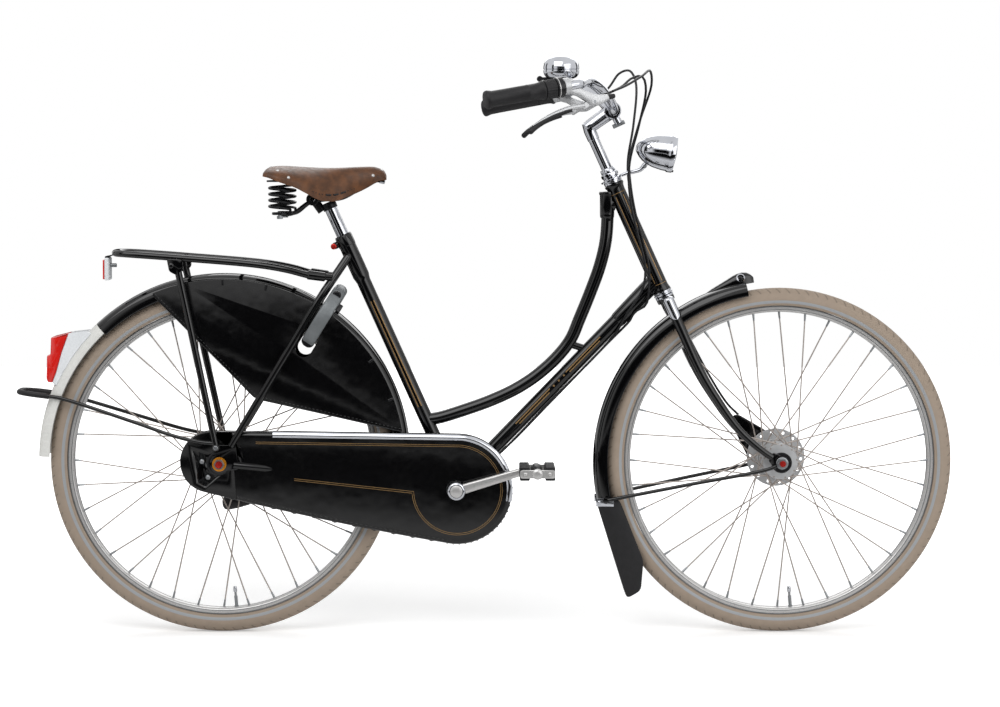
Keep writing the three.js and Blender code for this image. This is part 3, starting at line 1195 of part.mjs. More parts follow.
const saddleNose = postTop.clone().add(at(117, 0, 59));
const crownHeight = saddleNose.z + 21;
const saddleHinge = at(saddleNose.x - 20, 0, crownHeight - 9.3);
const springFoot = at(postTop.x - 95, spring.side, saddleNose.z - 72);
const springHead = springFoot.z + spring.height;
const springReach = spring.radius + spring.wire;
function saddleFrame() {
  const rail = tapered([
    at(saddleNose.x - 18, 9, saddleNose.z - 8), at(saddleNose.x - 52, 16, saddleNose.z - 24),
    at(postTop.x + 26, 21, postTop.z + 14), at(postTop.x - 8, 22, postTop.z + 11), at(postTop.x - 38, 25, postTop.z + 6),
    at(postTop.x - 70, 46, springFoot.z - 3), at(springFoot.x, spring.side, springFoot.z - 6),
  ], [4, 4], 5, 9);
  const sleeveBody = rod(onSeatTube(seatTubeLength + postShown - 20), onSeatTube(seatTubeLength + postShown + 6), 17, 17, 12);
  const clampCentre = postTop.clone().add(at(-32, 0, 12));
  const clampBar = crossRod(clampCentre, -30, 30, 13, 12);
  const clampArm = rod(onSeatTube(seatTubeLength + postShown - 6), clampCentre, 10, 10, 8);
  const socket = rod(
    onSeatTube(seatTubeLength + postShown - 20 - overrun), onSeatTube(seatTubeLength + postShown + fit),
    (postRadius + fit) / Math.cos(Math.PI / 12), (postRadius + fit) / Math.cos(Math.PI / 12), 12,
  );
  const cup = rod(at(springFoot.x, spring.side, springFoot.z - 6), at(springFoot.x, spring.side, springFoot.z - fit), 16, 16, 12);
  const padFoot = at(springFoot.x + spring.radius, spring.side, springFoot.z - 5);
  const pad = rod(padFoot, padFoot.clone().setZ(springFoot.z - fit), 6, 6, 8);
  const padArm = rod(padFoot, at(springFoot.x, spring.side, springFoot.z - 5), 3, 3, 6);
  const post = rod(at(springFoot.x, spring.side, springFoot.z - 14), at(springFoot.x, spring.side, springFoot.z - 2), 7, 7, 8);
  const backBar = rod(
    at(springFoot.x, -spring.side, springFoot.z - 6), at(springFoot.x, spring.side, springFoot.z - 6), 4, 4, 6,
  );
  const nose = boxOver(at(saddleNose.x - 30, -13, saddleNose.z - 13), at(saddleNose.x - 12, 13, saddleNose.z - 7));
  const nosePost = rod(at(saddleHinge.x, 0, saddleNose.z - 10), saddleHinge, 4, 4, 6);
  return cut(joined(...bothSides(joined(rail, cup, post, pad, padArm)), sleeveBody, clampBar, clampArm, backBar, nose, nosePost), socket);
}
add('saddle_frame', saddleFrame(), 'paint');

// One unbroken wire: up, round in curls of eight steps, and up again.
function springWire() {
  const stepsPerCurl = 8;
  const count = spring.curls * stepsPerCurl;
  const lead = 2 * spring.wire;
  const rise = spring.height - 2 * lead;
  const centres = [at(spring.radius, 0, 0)];
  for (let i = 0; i <= count; i += 1) {
    const turn = 2 * Math.PI * i / stepsPerCurl;
    centres.push(at(spring.radius * Math.cos(turn), spring.radius * Math.sin(turn), lead + rise * i / count));
  }
  centres.push(centres[centres.length - 1].clone().add(at(0, 0, lead)));
  return centres;
}
function springSolid() {
  const centres = springWire();
  const rings = centres.map((centre, i) => {
    const before = centres[Math.max(0, i - 1)];
    const after = centres[Math.min(centres.length - 1, i + 1)];
    const along = after.clone().sub(before).normalize();
    const outward = at(centre.x, centre.y, 0).normalize();
    const end = i === 0 || i === centres.length - 1;
    return ringAbout(centre, end ? at(0, 0, 1) : along, outward, spring.wire, 5);
  });
  return skinned(rings);
}
function springGap() {
  const centres = springWire();
  const halfCurl = 4;
  let least = Infinity;
  centres.forEach((here, i) => centres.slice(i + halfCurl).forEach((there) => {
    least = Math.min(least, here.distanceTo(there) - 2 * spring.wire);
  }));
  return least;
}
console.log(`least gap between the saddle springs' curls: ${springGap().toFixed(2)} mm`);
for (const [name, side] of [['left', 1], ['right', -1]]) {
  const wire = side > 0 ? springSolid() : mirrored(springSolid());
  add(`${name}_saddle_spring`, wire, 'paint').position.set(springFoot.x, side * spring.side, springFoot.z);
}

// Leather top. Each station: place from nose to tail, half width, top below the crown, skirt below the crown,
// as shares of the saddle's length, half width and depth.
const saddleShares = [
  [0, 0.08, 0.26, 0.4], [0.05, 0.2, 0.08, 0.42], [0.1, 0.25, 0.03, 0.5], [0.23, 0.27, 0.03, 0.74],
  [0.32, 0.31, 0.045, 0.87], [0.4, 0.4, 0.055, 0.98], [0.47, 0.52, 0.06, 1], [0.55, 0.68, 0.055, 0.95],
  [0.64, 0.84, 0.04, 0.78], [0.74, 0.95, 0.02, 0.6], [0.86, 1, 0, 0.46], [0.95, 0.98, 0.02, 0.34],
  [1, 0.9, 0.14, 0.3],
];
function saddleTop() {
  const archSteps = 8;
  const arch = (station, inset) => {
    const [along, wide, top, skirt] = station;
    const x = saddleNose.x - saddle.length * along;
    const half = saddle.halfWidth * wide - inset;
    const high = crownHeight - saddle.depth * top - inset;
    const low = crownHeight - saddle.depth * skirt;
    return Array.from({ length: archSteps + 1 }, (_, i) => {
      const turn = Math.PI * (i / archSteps - 1 / 2);
      const up = Math.max(0, Math.cos(turn)) ** 0.7;
      return at(x, half * Math.sin(turn), low + (high - low) * (i % archSteps ? up : 0));
    });
  };
  const rings = saddleShares.map((station) => [
    ...arch(station, 0), ...arch(station, saddle.leather).reverse(),
  ]);
  const caps = [];
  const last = 2 * archSteps + 1;
  for (let i = 0; i < archSteps; i += 1) caps.push([i, i + 1, last - i - 1], [i, last - i - 1, last - i]);
  const plate = boxOver(
    at(springFoot.x - springReach, -saddle.halfWidth + 7, springHead + fit),
    at(springFoot.x + springReach, saddle.halfWidth - 7, springHead + fit + 4),
  );
  return joined(skinned(rings, caps), plate);
}
add('saddle_leather', saddleTop(), 'leather');

// Cables, each from its lever or twist grip to what it works
function cable(points, steps) {
  return tube(smooth(points), cableRadius, 5, steps);
}
const downRun = downTop.clone().sub(bracket).normalize();
const downUnder = at(downRun.z, 0, -downRun.x);
// A place beside the down tube: its distance from the bracket, and its turn from the underside to the left.
function besideDownTube(distance, degrees, gap = 6 * fit) {
  const clear = downTubeRadius + cableRadius + gap;
  return bracket.clone().addScaledVector(downRun, distance)
    .addScaledVector(downUnder, clear * Math.cos(radians(degrees)))
    .addScaledVector(sideways, clear * Math.sin(radians(degrees)));
}
const byHead = (x, y, z) => onSteering(headTop, 0).add(at(x, y, z));
const byFrontAxle = (x, y, z) => frontAxle.clone().add(at(x, y, z));
const byBracket = (x, y, z) => bracket.clone().add(at(x, y, z));
add('gear_cable', cable([
  byHead(-100.4, -205, 180.2), byHead(-44.4, -168, 176.2), byHead(3.6, -122, 194.2), byHead(29.6, -84, 214.2), byHead(51.6, -66, 218.2),
  byHead(59.6, -56, 194.2), byHead(47.6, -42, 124.2), byHead(29.6, -32, 49.2), byHead(27.6, -29, 4.2), byHead(35.6, -28, -55.8),
  byHead(50.6, -27, -115.8), byHead(61.6, -26.4, -165.8), byHead(56.6, -26, -210.8), besideDownTube(492, -78), besideDownTube(455, -42),
  besideDownTube(415, -26), besideDownTube(260, -26, 3 * fit), besideDownTube(120, -30), besideDownTube(85, -44),
  byBracket(31.5, -30, -19), byBracket(11.5, -34, -35), byBracket(-23.5, -36.8, -41), at(380, -36.8, 266), at(220, -36.8, 292),
  at(90, -36.8, 313), at(40, -36.8, 325),
], 46), 'rubber');
add('rear_brake_cable', cable([
  byHead(-16.4, -204, 184.2), byHead(11.6, -170, 196.2), byHead(45.6, -120, 216.2), byHead(67.6, -66, 229.2), byHead(71.6, -46, 202.2),
  byHead(49.6, -26, 129.2), byHead(29.6, -18, 49.2), byHead(31.6, -19, 4.2), byHead(41.6, -21, -55.8), byHead(57.6, -21, -115.8),
  byHead(69.6, -20.8, -165.8), byHead(69.6, -20.8, -210.8), byHead(63.6, -20.6, -243.8), besideDownTube(510, -50), besideDownTube(490, -18),
  besideDownTube(470, 2), besideDownTube(430, 12), besideDownTube(260, 12), besideDownTube(120, 24),
  besideDownTube(80, 60), byBracket(16.5, 26, 29), byBracket(-28.5, 29, 25), at(380, 42, 322), at(330, 47, 331), at(250, 50, 344),
  at(150, 57, 359), at(60, 57, 367),
], 46), 'rubber');
add('front_brake_cable', cable([
  byHead(-16.4, 204, 184.2), byHead(1.6, 160, 208.2), byHead(17.6, 110, 232.2), byHead(37.6, 66, 234.2), byHead(47.6, 50, 208.2),
  byHead(41.6, 36, 124.2), byHead(29.6, 28, 49.2), byHead(31.6, 27, 4.2), byHead(43.6, 30, -55.8), byHead(67.6, 38, -125.8), byHead(93.6, 54, -195.8),
  byFrontAxle(-218, 62, 327), byFrontAxle(-188, 62, 267), byFrontAxle(-138, 62, 172), byFrontAxle(-98, 60, 109), byFrontAxle(-76, 50, 87),
], 34), 'rubber');

bike.userData.pivots = {
  frontAxle, rearAxle, bracket, pedalReach, otherReach, lockCentre, saddleHinge, bellCentre, barEnd, steerUp,
  steeringPoint: onSteering(headBottom, 0), gripInward, controlSide, seatUp, standAxis,
  standPivot, lockAhead,
  leverPivot: at(pivotPlace.x, pivotPlace.y, 0).applyMatrix4(controlFrame), postTop, springFoot,
};

// The finished bicycle stands on its origin, at the middle of its own length.
const extent = new THREE.Box3().setFromObject(bike);
bike.position.x = -(extent.min.x + extent.max.x) / 2;

export default bike;
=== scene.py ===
from math import acos, atan2, copysign, cos, degrees, pi, radians, sin, sqrt

import bmesh
import bpy
from bpy.props import FloatProperty, FloatVectorProperty, IntProperty, PointerProperty
from mathutils import Matrix, Vector


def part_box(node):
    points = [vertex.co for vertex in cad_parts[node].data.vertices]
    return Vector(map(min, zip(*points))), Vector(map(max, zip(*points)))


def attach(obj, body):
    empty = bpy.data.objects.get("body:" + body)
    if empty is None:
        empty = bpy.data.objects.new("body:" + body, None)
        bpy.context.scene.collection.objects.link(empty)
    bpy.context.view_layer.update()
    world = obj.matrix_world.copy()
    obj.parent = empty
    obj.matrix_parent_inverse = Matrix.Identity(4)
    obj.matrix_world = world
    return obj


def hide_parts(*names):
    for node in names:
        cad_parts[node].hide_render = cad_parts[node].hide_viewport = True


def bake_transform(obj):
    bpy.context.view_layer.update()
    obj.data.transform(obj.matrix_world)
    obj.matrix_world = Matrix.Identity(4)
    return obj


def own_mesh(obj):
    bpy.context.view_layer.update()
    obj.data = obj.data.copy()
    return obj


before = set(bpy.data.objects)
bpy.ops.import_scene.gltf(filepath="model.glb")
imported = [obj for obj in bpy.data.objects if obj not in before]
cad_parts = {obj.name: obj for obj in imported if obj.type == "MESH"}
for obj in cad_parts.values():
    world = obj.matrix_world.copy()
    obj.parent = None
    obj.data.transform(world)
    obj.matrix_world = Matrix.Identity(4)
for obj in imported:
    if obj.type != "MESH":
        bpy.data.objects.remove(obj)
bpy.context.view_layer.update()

bl_info = {
    "name": "City bicycle",
    "version": (1, 0, 0),
    "blender": (4, 5, 0),
    "location": "View3D > Sidebar > Bicycle",
    "description": "Builds the finish and the fine shapes of an upright city bicycle",
    "category": "Object",
}

# Every place is drawn in millimetres with the ground under the rear axle as its start:
# X forward, Y to the rider's left, Z up.
REAR_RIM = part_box("rear_rim")
AXLE_PLACE = (REAR_RIM[0].x + REAR_RIM[1].x) / 2
MILLIMETRE = 0.001


def linear(hex_colour):
    """A colour written as sRGB hex, as the linear values that the nodes take."""
    parts = [int(hex_colour[i:i + 2], 16) / 255 for i in (0, 2, 4)]
    return tuple(c / 12.92 if c <= 0.04045 else ((c + 0.055) / 1.055) ** 2.4 for c in parts)


class BicycleSettings(bpy.types.PropertyGroup):
    """Sizes and colours that a user would change."""
    paint_colour: FloatVectorProperty(
        name="Enamel", description="Colour of the frame's enamel", subtype="COLOR", size=3, min=0, max=1,
        default=linear("060607"))
    lining_colour: FloatVectorProperty(
        name="Lining", description="Colour of the thin painted lines", subtype="COLOR", size=3, min=0, max=1,
        default=linear("94754A"))
    leather_colour: FloatVectorProperty(
        name="Leather", description="Colour of the saddle's leather", subtype="COLOR", size=3, min=0, max=1,
        default=linear("6A4122"))
    tyre_colour: FloatVectorProperty(
        name="Tyre", description="Colour of the tyre's rubber", subtype="COLOR", size=3, min=0, max=1,
        default=linear("9C8D7E"))
    stripe_colour: FloatVectorProperty(
        name="Reflective stripe", description="Colour of the band on the tyre's wall", subtype="COLOR", size=3,
        min=0, max=1, default=linear("96999C"))
    lamp_colour: FloatVectorProperty(
        name="Rear lamp", description="Colour of the rear lamp's lens", subtype="COLOR", size=3, min=0, max=1,
        default=linear("D11A12"))
    spoke_radius: FloatProperty(
        name="Spoke radius", description="Half the thickness of a spoke", default=0.0014, min=0.0008, max=0.0016,
        unit="LENGTH", precision=5)
    lining_width: FloatProperty(
        name="Lining width", description="Width of a painted line", default=0.001, min=0.0006, max=0.004,
        unit="LENGTH", precision=5)
    tread_nicks: IntProperty(
        name="Tread nicks", description="Nicks round each shoulder of a tyre", default=110, min=40, max=300)


def at(x, y, z):
    return Vector((x, y, z))


def lerp(a, b, share):
    return a + (b - a) * share


def turned_place(centre, distance, angle, side=0.0):
    """A place round an axle, by distance and by angle above the forward direction."""
    turn = radians(angle)
    return at(centre.x + distance * cos(turn), side, centre.z + distance * sin(turn))


def flipped(point):
    return at(point.x, -point.y, point.z)


def mirrored(path, *middle):
    """A path on one side, its places in the middle, and the way back on the other side."""
    return [*path, *middle, *(flipped(p) for p in reversed(path))]


def circle(sides):
    """Cosine and sine of each step round a full turn."""
    return [(cos(2 * pi * k / sides), sin(2 * pi * k / sides)) for k in range(sides)]


def smooth_path(points, steps):
    """Even places along a centripetal spline through the points."""
    ends = [points[0] * 2 - points[1], *points, points[-1] * 2 - points[-2]]
    dense = []
    for i in range(1, len(ends) - 2):
        p0, p1, p2, p3 = ends[i - 1:i + 3]
        t1 = max((p1 - p0).length, 1e-6) ** 0.5
        t2 = t1 + max((p2 - p1).length, 1e-6) ** 0.5
        t3 = t2 + max((p3 - p2).length, 1e-6) ** 0.5
        for j in range(16):
            t = t1 + (t2 - t1) * j / 16
            a1 = p0 * ((t1 - t) / t1) + p1 * (t / t1)
            a2 = p1 * ((t2 - t) / (t2 - t1)) + p2 * ((t - t1) / (t2 - t1))
            a3 = p2 * ((t3 - t) / (t3 - t2)) + p3 * ((t - t2) / (t3 - t2))
            b1 = a1 * ((t2 - t) / t2) + a2 * (t / t2)
            b2 = a2 * ((t3 - t) / (t3 - t1)) + a3 * ((t - t1) / (t3 - t1))
            dense.append(b1 * ((t2 - t) / (t2 - t1)) + b2 * ((t - t1) / (t2 - t1)))
    dense.append(points[-1].copy())
    return even_path(dense, steps)


def even_path(dense, steps):
    lengths = [0.0]
    for a, b in zip(dense, dense[1:]):
        lengths.append(lengths[-1] + (b - a).length)
    out, k = [], 0
    for i in range(steps + 1):
        want = lengths[-1] * i / steps
        while k < len(dense) - 2 and lengths[k + 1] < want:
            k += 1
        span = lengths[k + 1] - lengths[k]
        out.append(lerp(dense[k], dense[k + 1], (want - lengths[k]) / span if span > 1e-9 else 0))
    return out


def across_of(direction):
    """Two directions square to the given one."""
    reference = at(0, 1, 0) if abs(direction.y) < 0.9 else at(1, 0, 0)
    first = (reference - direction * reference.dot(direction)).normalized()
    return first, direction.cross(first)


def carried(path):
    """Each place of a path, with two directions square to it that don't twist on the way."""
    first = None
    for i, place in enumerate(path):
        along = (path[min(i + 1, len(path) - 1)] - path[max(i - 1, 0)]).normalized()
        if first is None:
            first, _ = across_of(along)
        first = (first - along * first.dot(along)).normalized()
        yield place, first, along.cross(first)


def rolled(near, far, edge):
    """Inset and place across at each step of a plate with rounded edges."""
    return [(edge, near), (edge * 0.3, near + edge * 0.3), (0, near + edge), (0, far - edge),
            (edge * 0.3, far - edge * 0.3), (edge, far)]


class Form:
    """Collects the faces of one piece, in millimetres, with a finish for each."""

    def __init__(self, finish="stove_enamel_black"):
        self.points, self.faces, self.marks = [], [], []
        self.finishes = [finish]
        self.mark = 0

    def use(self, finish):
        if finish not in self.finishes:
            self.finishes.append(finish)
        self.mark = self.finishes.index(finish)
        return self

    def join(self, other):
        """Takes over the faces of another form with their finishes."""
        start = len(self.points)
        self.points += other.points
        self.faces += [[start + i for i in face] for face in other.faces]
        self.marks += [self.use(other.finishes[mark]).mark for mark in other.marks]
        return self

    def loft(self, rings, ends=True, loop=False, marks=None):
        """A skin over rings of equal counts."""
        n, start = len(rings[0]), len(self.points)
        self.points += [p for ring in rings for p in ring]
        count = len(rings) if loop else len(rings) - 1
        for r in range(count):
            s = (r + 1) % len(rings)
            for i in range(n):
                j = (i + 1) % n
                self.faces.append([start + r * n + i, start + r * n + j, start + s * n + j, start + s * n + i])
                self.marks.append(marks[i] if marks else self.mark)
        if ends and not loop:
            self.faces.append([start + i for i in range(n)][::-1])
            self.faces.append([start + (len(rings) - 1) * n + i for i in range(n)])
            self.marks += [self.mark] * 2
        return self

    def tube(self, path, radius, sides=18, squash=1.0):
        """A round bar along places; radius is one number or one for each place."""
        radii = radius if isinstance(radius, list) else [radius] * len(path)
        return self.loft([
            [place + first * (r * squash * c) + second * (r * s) for c, s in circle(sides)]
            for r, (place, first, second) in zip(radii, carried(path))])

    def bend(self, points, radius, steps=40, sides=18):
        """A round bar along a smooth curve; two radii are its first and its last."""
        if isinstance(radius, tuple):
            radius = [radius[0] + (radius[1] - radius[0]) * i / steps for i in range(steps + 1)]
        return self.tube(smooth_path(points, steps), radius, sides)

    def lathe(self, profile, start, towards, sides=32):
        """A turned shape; the profile lists radius and distance from the start."""
        along = (towards - start).normalized()
        first, second = across_of(along)
        return self.loft([
            [start + along * distance + first * (max(radius, 0.01) * c) + second * (max(radius, 0.01) * s)
             for c, s in circle(sides)] for radius, distance in profile])

    def turned(self, profile, centre, side, sides=32):
        """A shape turned round a line across the bicycle, on one side of its middle plane."""
        return self.lathe(profile, centre, centre + at(0, side, 0), sides)

    def rod(self, start, end, radius, sides=20, edge=0.0):
        """A straight round bar; two radii are its first and its last."""
        radius, end_radius = radius if isinstance(radius, tuple) else (radius, radius)
        length = (end - start).length
        profile = [(radius, 0), (end_radius, length)]
        if edge:
            profile = [(radius - edge, 0), (radius, edge), (end_radius, length - edge), (end_radius - edge, length)]
        return self.lathe(profile, start, end, sides)

    def cross(self, centre, near, far, radius, sides=24, edge=0.6):
        return self.rod(at(centre.x, near, centre.z), at(centre.x, far, centre.z), radius, sides, edge)

    def hoop(self, profile, centre, steps=120, start=0.0, end=360.0, marks=None):
        """A section of radius and side turned round an axle, wholly or from one angle to another."""
        whole = abs(end - start) >= 359.9
        rings = [[turned_place(centre, r, start + (end - start) * i / steps, side) for r, side in profile]
                 for i in range(steps if whole else steps + 1)]
        return self.loft(rings, ends=not whole, loop=whole, marks=marks)

    def slab(self, outline, levels):
        """A flat shape, drawn in X and Z, with its inset at each place across the bicycle."""
        return self.loft([[at(x, side, z) for x, z in inset_outline(outline, inset)] for inset, side in levels])

    def plate(self, outline, near, far, edge=0.0):
        """A flat plate whose outline is drawn in X and Z, with a small rounding when edge is given."""
        return self.slab(outline, rolled(near, far, edge) if edge else [(0, near), (0, far)])

    def block(self, low, high, edge=1.0):
        outline = [(low.x, low.z), (high.x, low.z), (high.x, high.z), (low.x, high.z)]
        return self.plate(round_corners(outline, edge * 1.5), low.y, high.y, edge)

    def dome(self, centre, up, radius, height, sides=16, steps=5):
        profile = [(radius * cos(pi / 2 * i / steps), height * sin(pi / 2 * i / steps))
                   for i in range(steps + 1)]
        return self.lathe(profile, centre, centre + up, sides)

    def band(self, path, radius, middle, half_angle=4.4):
        """A thin line laid along a round tube, at an angle round it counted from the left."""
        rings = []
        for place, first, second in carried(path):
            ring = []
            for turn, out in ((-1, -0.3), (-1, 0.16), (0, 0.2), (1, 0.16), (1, -0.3)):
                angle = radians(middle + turn * half_angle)
                ring.append(place + (first * cos(angle) + second * sin(angle)) * (radius + out))
            rings.append(ring)
        return self.loft(rings)

    def both_sides(self):
        """Adds the same faces on the other side of the middle plane."""
        n = len(self.points)
        self.points += [flipped(p) for p in self.points]
        self.faces += [[n + i for i in reversed(face)] for face in self.faces]
        self.marks += self.marks
        return self

    def moved(self, matrix):
        self.points = [matrix @ p for p in self.points]
        return self


def inset_outline(outline, distance):
    out, n = [], len(outline)
    area = sum(outline[i][0] * outline[(i + 1) % n][1] - outline[(i + 1) % n][0] * outline[i][1] for i in range(n))
    way = 1 if area > 0 else -1
    for i in range(n):
        (ax, az), (bx, bz), (cx, cz) = outline[i - 1], outline[i], outline[(i + 1) % n]
        u, v = Vector((bx - ax, bz - az)), Vector((cx - bx, cz - bz))
        if u.length < 1e-6 or v.length < 1e-6:
            out.append((bx, bz))
            continue
        u.normalize()
        v.normalize()
        normal = Vector((-(u.y + v.y), u.x + v.x)) * way
        if normal.length < 1e-6:
            out.append((bx, bz))
            continue
        normal.normalize()
        lean = max(0.5, normal.dot(Vector((-u.y, u.x)) * way))
        out.append((bx + normal.x * distance / lean, bz + normal.y * distance / lean))
    return out


def round_corners(outline, radius, steps=3):
    out, n = [], len(outline)
    for i in range(n):
        a, b, c = Vector(outline[i - 1]), Vector(outline[i]), Vector(outline[(i + 1) % n])
        r = min(radius, (a - b).length * 0.45, (c - b).length * 0.45)
        p, q = b + (a - b).normalized() * r, b + (c - b).normalized() * r
        for k in range(steps + 1):
            t = k / steps
            out.append(tuple(p * (1 - t) ** 2 + b * 2 * t * (1 - t) + q * t * t))
    return out


def arc_points(centre, radius, start, end, steps):
    return [(centre.x + radius * cos(radians(start + (end - start) * i / steps)),
             centre.z + radius * sin(radians(start + (end - start) * i / steps)))
            for i in range(steps + 1)]


def bore(centre, near, far, radius, sides):
    """What is cut away round a line across the bicycle."""
    return Form().cross(centre, near, far, radius, sides, 0)


def make(name, form, body, *nodes, slot=None, centre=None, crease=38, cutters=()):
    """The form as an object that moves with its body and stands for its nodes."""
    start = centre or at(0, 0, 0)
    mesh = bpy.data.meshes.new(name)
    mesh.from_pydata([(p - start) * MILLIMETRE for p in form.points], [], form.faces)
    for finish in form.finishes:
        mesh.materials.append(MATERIALS[finish])
    mesh.polygons.foreach_set("material_index", form.marks)
    mesh.validate()
    mesh.update()
    thing = bpy.data.objects.new(name, mesh)
    bpy.context.scene.collection.objects.link(thing)
    thing.location = start * MILLIMETRE + at(AXLE_PLACE, 0, 0)
    outward(mesh)
    for cutter in cutters:
        carve(thing, cutter)
    mesh = thing.data
    mesh.polygons.foreach_set("use_smooth", [True] * len(mesh.polygons))
    mesh.set_sharp_from_angle(angle=radians(crease))
    if nodes:
        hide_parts(*nodes)
    if body:
        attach(thing, body)
    return thing


def dress(node, form, body, slot, **rest):
    """The form as the finish of one solid."""
    return make(f"{node}_finish", form, body, node, slot=slot, **rest)


def outward(mesh):
    """Turns every face of a mesh to the outside."""
    work = bmesh.new()
    work.from_mesh(mesh)
    bmesh.ops.recalc_face_normals(work, faces=work.faces)
    work.to_mesh(mesh)
    work.free()


def carve(thing, form):
    """Cuts a form out of an object and leaves no modifier on it."""
    mesh = bpy.data.meshes.new("cutter")
    mesh.from_pydata([p * MILLIMETRE + at(AXLE_PLACE, 0, 0) for p in form.points], [], form.faces)
    outward(mesh)
    tool = bpy.data.objects.new("cutter", mesh)
    bpy.context.scene.collection.objects.link(tool)
    step = thing.modifiers.new("cut", "BOOLEAN")
    step.operation, step.object, step.solver = "DIFFERENCE", tool, "EXACT"
    step.use_self = True
    bpy.context.view_layer.update()
    result = bpy.data.meshes.new_from_object(thing.evaluated_get(bpy.context.evaluated_depsgraph_get()))
    thing.modifiers.clear()
    thing.data = result
    bpy.data.objects.remove(tool)


MATERIALS = {}


def put(tree, kind, inputs=None, **settings):
    """Adds a node with its settings; each input is a value or the socket that feeds it."""
    node = tree.nodes.new(kind)
    for name, value in settings.items():
        setattr(node, name, value)
    for name, value in (inputs or {}).items():
        if isinstance(value, bpy.types.NodeSocket):
            tree.links.new(value, node.inputs[name])
        else:
            node.inputs[name].default_value = value
    return node


def per(millimetres):
    """Texture scale of a pattern whose features are that many millimetres wide."""
    return 1 / (millimetres * MILLIMETRE)


def darker(colour, share):
    return tuple(c * share for c in colour)


def finish(name, tones, gloss, grain=None, stretch=(1, 1, 1), **values):
    """A material whose tone, gloss and grain wander between two ends over a real size in millimetres."""
    material = bpy.data.materials.new(name)
    material.use_nodes = True
    tree = material.node_tree
    tree.nodes.clear()
    shader = put(tree, "ShaderNodeBsdfPrincipled", {key.replace("_", " "): value for key, value in values.items()})
    put(tree, "ShaderNodeOutputMaterial", {"Surface": shader.outputs["BSDF"]})
    place = put(tree, "ShaderNodeTexCoord").outputs["Object"]
    drawn = put(tree, "ShaderNodeMapping", {"Vector": place, "Scale": stretch}).outputs["Vector"]
    dark, light, size = tones
    cloud = put(tree, "ShaderNodeTexNoise", {"Vector": place, "Scale": per(size), "Detail": 4.0})
    tone = put(tree, "ShaderNodeMix", {0: cloud.outputs["Fac"], 6: (*dark, 1), 7: (*light, 1)}, data_type="RGBA")
    tree.links.new(tone.outputs[2], shader.inputs["Base Color"])
    low, high, size = gloss
    smear = put(tree, "ShaderNodeTexNoise", {"Vector": drawn, "Scale": per(size), "Detail": 3.0})
    rough = put(tree, "ShaderNodeMapRange", {
        "Value": smear.outputs["Fac"], "From Min": 0.25, "From Max": 0.75, "To Min": low, "To Max": high})
    tree.links.new(rough.outputs["Result"], shader.inputs["Roughness"])
    if grain:
        size, depth, strength = grain
        fine = put(tree, "ShaderNodeTexNoise", {"Vector": drawn, "Scale": per(size), "Detail": 2.0})
        bump = put(tree, "ShaderNodeBump", {
            "Height": fine.outputs["Fac"], "Distance": depth * MILLIMETRE, "Strength": strength})
        tree.links.new(bump.outputs["Normal"], shader.inputs["Normal"])
    MATERIALS[name] = material
    return tree, shader, place, tone


def enamels(settings):
    black = tuple(settings.paint_colour)
    # Stove enamel flows out almost flat, so its reflections are sharp, with a faint orange peel.
    finish("stove_enamel_black", (darker(black, 0.8), darker(black, 1.3), 60), (0.05, 0.11, 9), (2.2, 0.02, 0.5),
           IOR=1.5, Specular_IOR_Level=0.5)
    # White enamel on the mudguard's tail: paler and softer where road dust has settled.
    finish("stove_enamel_white", (linear("CDCDC9"), linear("DEDEDA"), 40), (0.2, 0.34, 7), (3, 0.01, 0.4), IOR=1.5)
    # White moulded ABS of the rear lamp: cooler and a little glossier than the enamel beside it.
    finish("moulded_abs_white", (linear("D3D6D9"), linear("E2E5E8"), 25), (0.22, 0.34, 4), (1.2, 0.01, 0.3), IOR=1.53)
    gold = tuple(settings.lining_colour)
    # Lining paint, brushed on by hand, so that its tone varies along the line.
    finish("lining_paint", (darker(gold, 0.75), gold, 12), (0.25, 0.42, 4), IOR=1.5, Metallic=0.35)
    # Red anodising on caps and nuts: metal that shows through a clear red skin.
    finish("anodised_red", (linear("8E1512"), linear("C02A1E"), 5), (0.22, 0.36, 2), IOR=1.5, Metallic=0.6)
    # Orange anodising on the gear hub's locking ring.
    finish("anodised_orange", (linear("B06A10"), linear("D9901E"), 4), (0.22, 0.36, 2), IOR=1.5, Metallic=0.6)


def metals():
    # Chrome plate over polished steel: mirror-like, with faint cleaning smears.
    finish("chrome_plate", (linear("B0B2B8"), linear("CFD1D6"), 30), (0.05, 0.13, 6), None, (1, 3, 1), Metallic=1.0)
    # Aluminium castings and rims, polished and then anodised, with fine drawn lines.
    finish("anodised_aluminium", (linear("B4B3B2"), linear("C6C5C4"), 30), (0.25, 0.36, 4), (1.2, 0.01, 0.2),
           (1, 1, 6), Metallic=0.6)
    # Bead-blasted aluminium of hub shells and lever bodies: matt, so it keeps one pale tone all round.
    finish("bead_blasted_aluminium", (linear("AEAFB1"), linear("C6C7C8"), 12), (0.34, 0.5, 2), (0.8, 0.02, 0.5),
           Metallic=0.6, IOR=1.5)
    # Zinc plate on nuts, bolts and stays: duller, with a cloudy bloom.
    finish("zinc_plated_steel", (linear("77797C"), linear("9DA0A2"), 5), (0.3, 0.48, 3), Metallic=1.0)
    # Drawn stainless wire of the spokes: its gloss changes along the wire.
    finish("stainless_wire", (linear("8F8680"), linear("A9A19B"), 8), (0.4, 0.55, 2), Metallic=0.5)
    # Grey powder coat of the lock's case: a fine even grain.
    finish("powder_coat_grey", (linear("5F6365"), linear("787C7E"), 10), (0.36, 0.5, 1.2), (0.9, 0.03, 0.5),
           Metallic=0.35, IOR=1.5)
    # Blackened steel of the saddle's springs and rails and of the stand: oiled, so a little uneven in gloss.
    finish("blackened_steel", (linear("0C0C0E"), linear("1C1C1F"), 8), (0.24, 0.4, 3), Metallic=0.4, IOR=1.5,
           Specular_IOR_Level=0.3)


